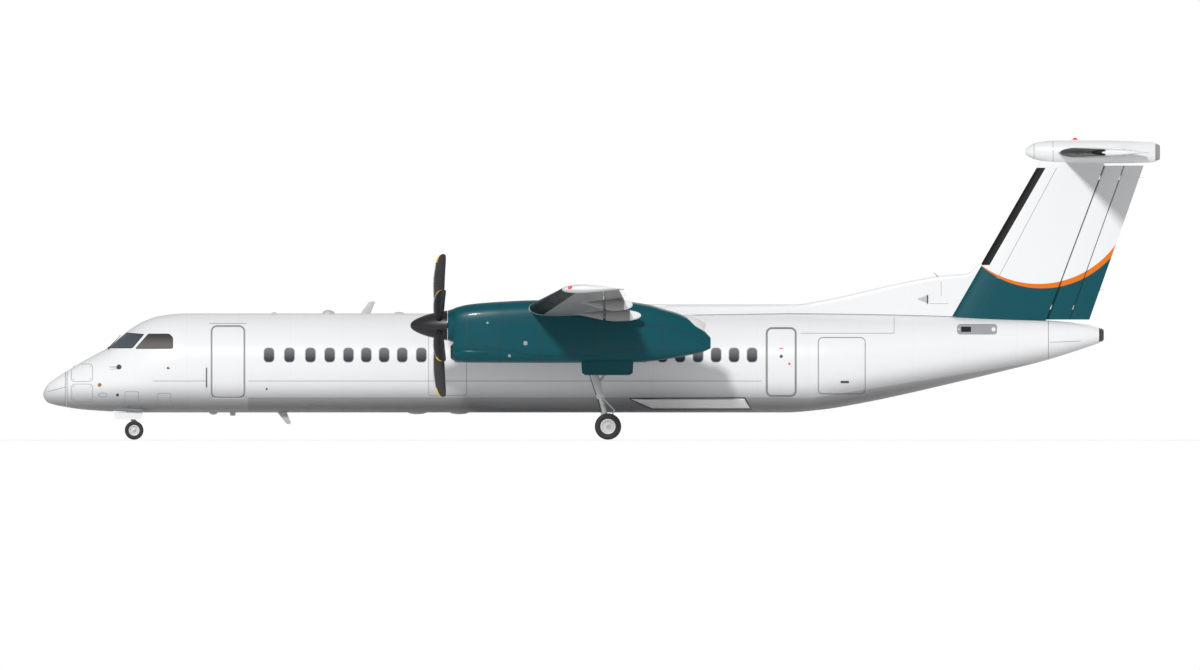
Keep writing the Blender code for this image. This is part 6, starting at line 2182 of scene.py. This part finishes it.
def build_wheels(tag, body, station, y, radius, width, twin, axle_r):
    """Twin rims on one axle, and two tyres, on their own body."""
    height = radius * WHEEL_DROP
    centre = spot(station, height - KEEL, y)
    bead = radius * 0.56
    top_r = height - 0.0005
    bm = bmesh.new()
    add_pin(bm, centre, twin + width * 0.30, axle_r, sides=40)
    for hand in (-1, 1):
        middle = centre + sideways(hand * twin)
        rim = bead - 0.003
        outline = [(hand * a * width, b * rim) for a, b in RIM_PROFILE]
        add_spin(bm, middle, outline, 64)
        cap = middle + sideways(hand * width * 0.29)
        add_bar(bm, cap, cap + sideways(hand * width * 0.035), rim * 0.26, rim * 0.20, sides=32, lip=0.002,
                material=1)
        for k in range(9):
            turn = Matrix.Rotation(2 * pi * k / 9, 3, "Y")
            bolt = middle + turn @ Vector((0, hand * width * 0.085, rim * 0.60))
            add_bar(bm, bolt, bolt + sideways(hand * 0.018), 0.011 * radius / 0.395, sides=6, material=1)
        inner = middle - sideways(hand * width * 0.10)
        add_bar(bm, inner, inner - sideways(hand * width * 0.16), rim * 0.72, sides=48, lip=0.004, material=2)
    keep(f"{tag}_rims_finish", bm, ["rim_paint", "steel", "engine_grey"], body, "gear_grey", f"{tag}_rims",
         smooth=30.0)
    for hand, name in ((-1, "left"), (1, "right")):
        bm = bmesh.new()
        profile = tyre_profile(top_r, width, bead)
        add_spin(bm, centre + sideways(hand * twin), profile, 96)
        keep(f"{tag}_tyre_{name}_tread", bm, "tread_rubber", body, "tyre_rubber", f"{tag}_tyre_{name}")
    return centre


# Main leg, columns: shares of the way down where a cylinder starts and ends, radius, edge rounding
LEG_BARS = ((0.0, 0.58, 0.105, 0.006), (0.56, 0.62, 0.118, 0.008), (0.18, 0.22, 0.114, 0.006))


class AIRLINER_OT_gear(Operator):
    """Build the landing gear legs, steering and wheels"""

    bl_idname = "airliner.gear"
    bl_label = "Landing gear"

    def execute(self, context):
        for side, tag in SIDES:
            y = side * NACELLE_Y
            axle = build_wheels(f"main_{tag}", f"main_wheels_{tag}", MAIN_STATION, y, MAIN_R, MAIN_W,
                                MAIN_TWIN, 0.045)
            pivot = spot(*MAIN_PIVOT, y)
            down = axle - pivot
            along = down.normalized()
            bm = bmesh.new()
            for head, end, radius, lip in LEG_BARS:
                add_bar(bm, pivot + down * head, pivot + down * end, radius, sides=40, lip=lip)
            well = MAIN_WELL[3] - 0.0003
            add_pin(bm, pivot, well, 0.085, sides=36, lip=0.006)
            anchor = spot(17.15, 2.10, y)
            knee = pivot + down * 0.45
            add_bar(bm, knee, anchor, 0.045, sides=24)
            add_pin(bm, anchor, well, 0.05, sides=24, lip=0.004)
            add_pin(bm, knee, 0.075, 0.055, sides=28, lip=0.005)
            middle = pivot + down * 0.78 + Vector((0.30, 0, 0))
            ends = pivot + down * 0.58, pivot + down * 0.95 + Vector((0.06, 0, 0))
            add_links(bm, (ends[0], middle, ends[1]), 0.05, 0.018, 0.020, 16)
            add_pin(bm, middle, 0.05, 0.026, sides=20, lip=0.003)
            add_pin(bm, axle, 0.085, 0.095, sides=40, lip=0.006)
            keep(f"main_leg_{tag}_casting", bm, "gear_paint", "airframe", "gear_grey", f"main_leg_{tag}")
            bm = bmesh.new()
            add_bar(bm, pivot + down * 0.60, axle - along * 0.06, 0.072, sides=40)
            keep(f"main_piston_{tag}", bm, "steel", "airframe", "bare_metal")
            bm = bmesh.new()
            hose = [pivot + down * t + Vector((-0.13 - 0.03 * sin(pi * t * 2), 0.05, 0))
                    for t in spread(0.08, 0.88, 10)]
            for a, b in zip(hose, hose[1:]):
                add_bar(bm, a, b, 0.012, sides=10)
                add_ball(bm, b, 0.012, 10, 6)
            keep(f"brake_hose_{tag}", bm, "hose_black", "airframe", "bare_metal")

        axle = build_wheels("nose", "nose_wheels", NOSE_STATION + 0.03, 0.0, NOSE_R, NOSE_W, NOSE_TWIN, 0.030)
        top = spot(NOSE_STATION, NOSE_WELL[2] - 0.0003)
        foot = Vector((top.x, 0.0, 0.62))
        bm = bmesh.new()
        add_bar(bm, top, foot, 0.075, sides=40, lip=0.004)
        for t in (0.30, 0.55):
            ring = top + (foot - top) * t
            add_bar(bm, ring, ring - Vector((0, 0, 0.03)), 0.083, sides=40, lip=0.005)
        brace_end = spot(NOSE_WELL[0] + 0.07, 0.40)
        half = NOSE_WELL[3] - 0.0003
        add_bar(bm, foot + Vector((0, 0, 0.05)), brace_end, 0.032, sides=24)
        add_pin(bm, brace_end, half, 0.030, sides=24, lip=0.003)
        keep("nose_leg_casting", bm, "gear_paint", "airframe", "gear_grey", "nose_leg")
        bm = bmesh.new()
        for side, _ in SIDES:
            lamp_at = foot + Vector((-0.11, side * 0.085, 0.10))
            add_bar(bm, lamp_at, lamp_at + Vector((0.05, 0, 0)), 0.042, 0.030, sides=28, lip=0.002)
            add_bar(bm, lamp_at + Vector((0.04, 0, 0)), foot + Vector((-0.04, 0, 0.10)), 0.012, sides=12)
        keep("taxi_lamps", bm, "clear_lens", "airframe", "glazing")
        bm = bmesh.new()
        add_bar(bm, foot - Vector((0, 0, 0.0006)), foot - Vector((0, 0, 0.07)), 0.075, sides=40, lip=0.004)
        add_pin(bm, axle, 0.065, 0.060, sides=36, lip=0.004)
        keep("nose_steering_collar", bm, "gear_paint", "nose_steering", "gear_grey", "nose_steering")
        bm = bmesh.new()
        add_bar(bm, foot - Vector((0, 0, 0.06)), Vector((top.x, 0, axle.z)), 0.053, sides=36)
        keep("nose_piston", bm, "steel", "nose_steering", "bare_metal")
        bm = bmesh.new()
        elbow = foot + Vector((0.17, 0, -0.14))
        ends = foot + Vector((0.05, 0, -0.035)), axle + Vector((0.03, 0, 0.05))
        add_links(bm, (ends[0], elbow, ends[1]), 0.035, 0.016, 0.012, 14)
        add_pin(bm, elbow, 0.03, 0.015, sides=16, lip=0.002)
        keep("nose_torque_links", bm, "gear_paint", "nose_steering", "gear_grey")
        bm = bmesh.new()
        fore, aft, _, half = NOSE_WELL
        for hand in (-1, 1):
            add_leaf(bm, gear_door(fore, aft, ((0.02, 0.02), (0.05, -0.16), (0.14, -0.20))),
                     hand * (half + 0.012), hand * (half + 0.026))
        bmesh.ops.recalc_face_normals(bm, faces=bm.faces[:])
        keep("nose_gear_doors", bm, "white_gloss", "airframe", "white_paint", smooth=30.0)
        return {"FINISHED"}


# Tail

def slant(line_ends, height):
    """Station of a slanted line at a height."""
    (s0, h0), (s1, h1) = line_ends
    return s0 + (s1 - s0) * (height - h0) / (h1 - h0)


def fin_half(height):
    """Half thickness of the tail at the rudder hinge."""
    share = (height - RUDDER_HINGE[0][1]) / (RUDDER_HINGE[1][1] - RUDDER_HINGE[0][1])
    return FIN_HALF[0] + (FIN_HALF[1] - FIN_HALF[0]) * share


def fin_shape(height):
    """Leading edge, chord, share of the chord at the rear wall, and thickness of the fin."""
    half = fin_half(height)
    lead = slant(FIN_LE, height)
    rear = slant(RUDDER_HINGE, height) - half - 0.02
    chord = slant(RUDDER_TE, height) - lead
    end = (rear - lead) / chord
    return lead, chord, end, half / (chord * thickness(end, 1.0))


def fin_ring(height):
    """Fin section from its leading edge to the wall ahead of the rudder."""
    lead, chord, end, thick = fin_shape(height)
    return [spot(lead + x, height, z) for x, z in aerofoil(chord, thick, 0.0, end, FIN_BOOT / chord)]


def on_fin(station, height, side, grow):
    """A point on the fin's flank."""
    lead, chord, end, thick = fin_shape(height)
    share = min(end, max(0.001, (station - lead) / chord))
    return spot(station, height, side * (chord * (thickness(share, thick) + 0.0015) + grow))


def rudder_ring(height, hinge_line, radius, rear, half):
    """Rudder section, round about its hinge and straight to its rear end."""
    hinge, end = spot(slant(hinge_line, height), height), spot(rear, height)
    arc = [hinge + radius * Vector((cos(t), sin(t), 0)) for t in spread(pi / 2, 3 * pi / 2, 16)]
    return [end + sideways(half), *arc, end - sideways(half)]


def bullet_ring(station, grow=0.0, sides=48):
    """One ring of the fairing where fin and tailplane meet."""
    top, bottom, half = through(BULLET_ROWS, sqrt(station - BULLET[0][0]))
    middle, rise = (top + bottom) / 2, (top - bottom) / 2
    return ellipse(station, middle, rise + grow, half + grow, sides)


def tail_at(y):
    """Leading edge and chord of the tailplane at a side position."""
    share = abs(y) / (TAIL_SPAN / 2)
    lead = TAIL_LE[0] + (TAIL_LE[1] - TAIL_LE[0]) * share
    return lead, TAIL_TE - lead


def tail_ring(y, side, shrink=1.0, cut=False):
    """One ring of the tailplane."""
    lead, chord = tail_at(y)
    end = TAIL_HINGE if cut else 1.0
    return [spot(lead + chord * (1 - shrink) * 0.6 + x, TAIL_H + z, side * y)
            for x, z in aerofoil(chord * shrink, TAIL_THICK * shrink, 0.0, end, TAIL_BOOT / chord)]


class AIRLINER_OT_tail(Operator):
    """Build the fin, rudders, bullet fairing, tailplane and elevators"""

    bl_idname = "airliner.tail"
    bl_label = "Tail"

    def execute(self, context):
        bm = bmesh.new()
        heights = [2.35, 2.9, 3.6, 4.33, 4.36, *spread(4.8, 7.0, 5), 7.15, 7.19, 7.50]
        for face in grow_rings(bm, [fin_ring(h) for h in heights]):
            middle = face.calc_center_median()
            height = middle.z - KEEL
            lead = slant(FIN_LE, height)
            if middle.x - NOSE_X - lead < FIN_BOOT and 4.345 < height < 7.17:
                face.material_index = 1
        keep("fin_skin", bm, ["tail_paint", "boot_rubber"], "airframe", "white_paint", "fin", smooth=35.0)

        bm = bmesh.new()
        nose, cap_start = BULLET[0][0], BULLET[-1][0] - 0.14
        stations = [nose + (cap_start - nose) * (k / 44) ** 1.8 for k in range(1, 45)]
        grow_rings(bm, [bullet_ring(s) for s in stations])
        keep("bullet_skin", bm, "white_gloss", "airframe", "white_paint", "bullet_fairing", smooth=35.0)
        rings = [bullet_ring(cap_start + behind, grow) for behind, grow in CAP_STEPS]
        seated(tube("bullet_cap", rings, "vent_grey", 30.0), "airframe", "bare_metal", "bullet_fairing")
        bm = bmesh.new()
        for station in (29.111, 29.669):
            add_hoop(bm, bullet_ring, station, 0.012)
        for side, _ in SIDES:
            lay = layer(on_fin, side)
            add_band(bm, line((28.05, 3.95), (29.77, 7.18)), 0.014, lay)
            add_band(bm, line((27.50, 2.92), (28.00, 3.86)), 0.014, lay, 1)
            add_band(bm, line((27.98, 3.97), (28.12, 3.93)), 0.014, lay)
        keep("tail_seams", bm, ["seam_grey", "seam_teal"], "airframe", "white_paint", smooth=40.0)
        for body, hinge_line, halves, gap, inner, outer, reach in (
                ("airframe", RUDDER_HINGE, FIN_HALF, 0.020, 0.050, 0.060, 0.0240),
                ("fore_rudder", TRAIL_HINGE, TRAIL_HALF, 0.015, 0.031, 0.039, 0.0168)):
            bm = bmesh.new()
            for start, end in ((0.0, 0.066), (0.094, 0.906), (0.934, 1.0)):
                for side, _ in SIDES:
                    rings = []
                    for share in (start, end):
                        height = hinge_line[0][1] + (hinge_line[1][1] - hinge_line[0][1]) * share
                        wall = slant(hinge_line, height) - (halves[0] + (halves[1] - halves[0]) * share) - gap
                        rings.append([spot(wall + x, height, side * y) for x, y in (
                            (-0.004, inner), (reach, inner), (reach, outer), (-0.004, outer))])
                    grow_rings(bm, rings)
            keep(f"{body}_gap_seal", bm, "pane_seal", body, "white_paint", smooth=20.0)
        bm = bmesh.new()
        add_bump(bm, 30.17, 30.46, 7.965, 0.060, 0.09, 1)
        add_bump(bm, 30.235, 30.395, 7.99, 0.088, 0.065, 0)
        keep("beacon", bm, ["red_lens", "white_gloss"], "airframe", "glazing")

        low, high = RUDDER_HINGE[0][1], FIN_TOP
        levels = spread(low, high, 12)
        bm = bmesh.new()
        rings, trail_rings = [], []
        for height in levels:
            share = (height - low) / (high - low)
            half = FIN_HALF[0] + (FIN_HALF[1] - FIN_HALF[0]) * share
            trail = TRAIL_HALF[0] + (TRAIL_HALF[1] - TRAIL_HALF[0]) * share
            wall = slant(TRAIL_HINGE, height) - trail - 0.015
            rings.append(rudder_ring(height, RUDDER_HINGE, half, wall, trail))
            trail_rings.append(rudder_ring(height, TRAIL_HINGE, trail, slant(RUDDER_TE, height), 0.004))
        self.hinge_discs(bm, rings, RUDDER_HINGE, FIN_HALF, 0.02)
        name = "fore_rudder"
        keep(f"{name}_skin", bm, "tail_paint", name, "white_paint", name, smooth=35.0)
        bm = bmesh.new()
        self.hinge_discs(bm, trail_rings, TRAIL_HINGE, TRAIL_HALF, 0.015)
        for height in (3.6, 5.2, 6.9):
            add_wick(bm, spot(slant(RUDDER_TE, height), height), 0.13)
        name = "trailing_rudder"
        keep(f"{name}_skin", bm, "tail_paint", name, "white_paint", name, smooth=35.0)

        half_span = TAIL_SPAN / 2
        skins = ["white_gloss", "wing_under", "boot_rubber"]
        for side, tag in SIDES:
            bm = bmesh.new()
            cut_end = ELEVATOR[1] + 0.012
            faces = grow_rings(bm,
                               [tail_ring(y, side, cut=True) for y in (0.10, 0.55, 1.5, 2.5, 3.5, cut_end)])
            rings = [tail_ring(cut_end, side), tail_ring(half_span - 0.12, side)]
            for out, left in tip_steps(7):
                rings.append(tail_ring(half_span - 0.12 + 0.12 * out, side, 0.70 + 0.30 * left))
            faces += grow_rings(bm, rings)
            for face in faces:
                middle = face.calc_center_median()
                y = abs(middle.y)
                lead, chord = tail_at(y)
                if middle.x - NOSE_X - lead < TAIL_BOOT and 0.5 < y:
                    face.material_index = 2
                elif middle.z < KEEL + TAIL_H and y < half_span - 0.14:
                    face.material_index = 1
            keep(f"tailplane_{tag}_skin", bm, skins, "airframe", "wing_grey", f"tailplane_{tag}", smooth=30.0)

            ends = []
            for y in ELEVATOR:
                lead, chord = tail_at(y)
                radius = chord * thickness(TAIL_HINGE, TAIL_THICK) * 0.97
                ends.append((spot(lead + chord * TAIL_HINGE + CLEAR + radius, TAIL_H, side * y),
                             spot(TAIL_TE, TAIL_H, side * y), radius))
            bm = bmesh.new()
            faces = grow_rings(bm, surface_rings(ends))
            paint_sides(bm, faces)
            slope = (TAIL_LE[1] - TAIL_LE[0]) * (1 - TAIL_HINGE) / half_span
            add_pivots(bm, ends, (0.12, 0.88), 0.0008, 1 / sqrt(1 + slope**2))
            for y in (2.9, 3.6, 4.25):
                add_wick(bm, spot(TAIL_TE, TAIL_H, side * y), 0.13, material=1)
            name = f"elevator_{tag}"
            keep(f"{name}_skin", bm, skins[:2], name, "wing_grey", name, smooth=35.0)

        return {"FINISHED"}

    @staticmethod
    def hinge_discs(bm, rings, hinge_line, halves, wall):
        """Lay down a rudder's skin and its two hinge fittings."""
        grow_rings(bm, rings)
        (s0, h0), (s1, h1) = hinge_line
        a, b = spot(s0, h0), spot(s1, h1)
        axis = (b - a).normalized()
        for share in (0.08, 0.92):
            centre = a + (b - a) * share
            radius = (halves[0] + (halves[1] - halves[0]) * share + wall) * axis.z - 0.0012
            add_bar(bm, centre - axis * 0.01, centre + axis * 0.01, radius, sides=40)


class AIRLINER_OT_stage(Operator):
    """Lay the pale floor and set the soft studio light and the camera"""

    bl_idname = "airliner.stage"
    bl_label = "Floor, lights and camera"

    def execute(self, context):
        scene = context.scene
        scene.view_settings.view_transform = "Standard"
        bm = bmesh.new()
        add_block(bm, (-FLOOR_HALF, -FLOOR_HALF, -0.02), (FLOOR_HALF, FLOOR_HALF, -0.0005))
        floor = finished("studio_floor", bm, "floor_pale", 0.0)

        world = bpy.data.worlds.new("studio")
        scene.world = world
        world.use_nodes = True
        tree = world.node_tree
        background = tree.nodes["Background"]
        sky = node(tree, "ShaderNodeBackground", 0, -200)
        for shader, strength, colour in ((background, *WORLD_LIGHT), (sky, 1.0, (1, 1, 1, 1))):
            shader.inputs["Strength"].default_value = strength
            shader.inputs["Color"].default_value = colour
        seen = node(tree, "ShaderNodeLightPath", 0, 300)
        both = node(tree, "ShaderNodeMixShader", 300, 0)
        tree.links.new(seen.outputs["Is Camera Ray"], both.inputs["Fac"])
        tree.links.new(background.outputs[0], both.inputs[1])
        tree.links.new(sky.outputs[0], both.inputs[2])
        tree.links.new(both.outputs[0], tree.nodes["World Output"].inputs["Surface"])

        for name, energy, angle, turn in SUNS:
            data = bpy.data.lights.new(name, "SUN")
            data.energy = energy
            data.angle = radians(angle)
            sun = bpy.data.objects.new(name, data)
            sun.rotation_euler = [radians(a) for a in turn]
            scene.collection.objects.link(sun)

        data = bpy.data.cameras.new("camera")
        data.type = "ORTHO"
        data.ortho_scale = CAMERA_WIDTH
        data.clip_end = 400.0
        camera = bpy.data.objects.new("camera", data)
        camera.location = CAMERA_AT
        camera.rotation_euler = (pi / 2, 0, 0)
        scene.collection.objects.link(camera)
        scene.camera = camera
        return {"FINISHED"}


class AIRLINER_PT_panel(Panel):
    """Lists the airliner's steps in the sidebar"""

    bl_idname = "AIRLINER_PT_panel"
    bl_label = "Turboprop airliner"
    bl_space_type = "VIEW_3D"
    bl_region_type = "UI"
    bl_category = "Airliner"

    def draw(self, context):
        column = self.layout.column()
        for kind in STEPS_IN_ORDER:
            column.operator(kind.bl_idname)
        for group in (context.scene.airliner_sizes, context.scene.airliner_colours):
            for key in group.__annotations__:
                column.prop(group, key)


STEPS_IN_ORDER = (
    AIRLINER_OT_body, AIRLINER_OT_doors, AIRLINER_OT_airstair, AIRLINER_OT_windows, AIRLINER_OT_cockpit,
    AIRLINER_OT_markings, AIRLINER_OT_aerials, AIRLINER_OT_fairings, AIRLINER_OT_wing, AIRLINER_OT_surfaces,
    AIRLINER_OT_nacelles, AIRLINER_OT_propellers, AIRLINER_OT_gear, AIRLINER_OT_tail, AIRLINER_OT_stage,
)
CLASSES = (AirlinerSizes, AirlinerColours, *STEPS_IN_ORDER, AIRLINER_PT_panel)


def register():
    for kind in CLASSES:
        bpy.utils.register_class(kind)
    bpy.types.Scene.airliner_sizes = PointerProperty(type=AirlinerSizes)
    bpy.types.Scene.airliner_colours = PointerProperty(type=AirlinerColours)


def unregister():
    del bpy.types.Scene.airliner_colours
    del bpy.types.Scene.airliner_sizes
    for kind in reversed(CLASSES):
        bpy.utils.unregister_class(kind)


def main():
    """Build every piece in order."""
    register()
    for kind in STEPS_IN_ORDER:
        group, name = kind.bl_idname.split(".")
        result = getattr(getattr(bpy.ops, group), name)()
        if "FINISHED" not in result:
            raise RuntimeError(f"{kind.bl_label} didn't finish")


if __name__ == "__main__":
    main()
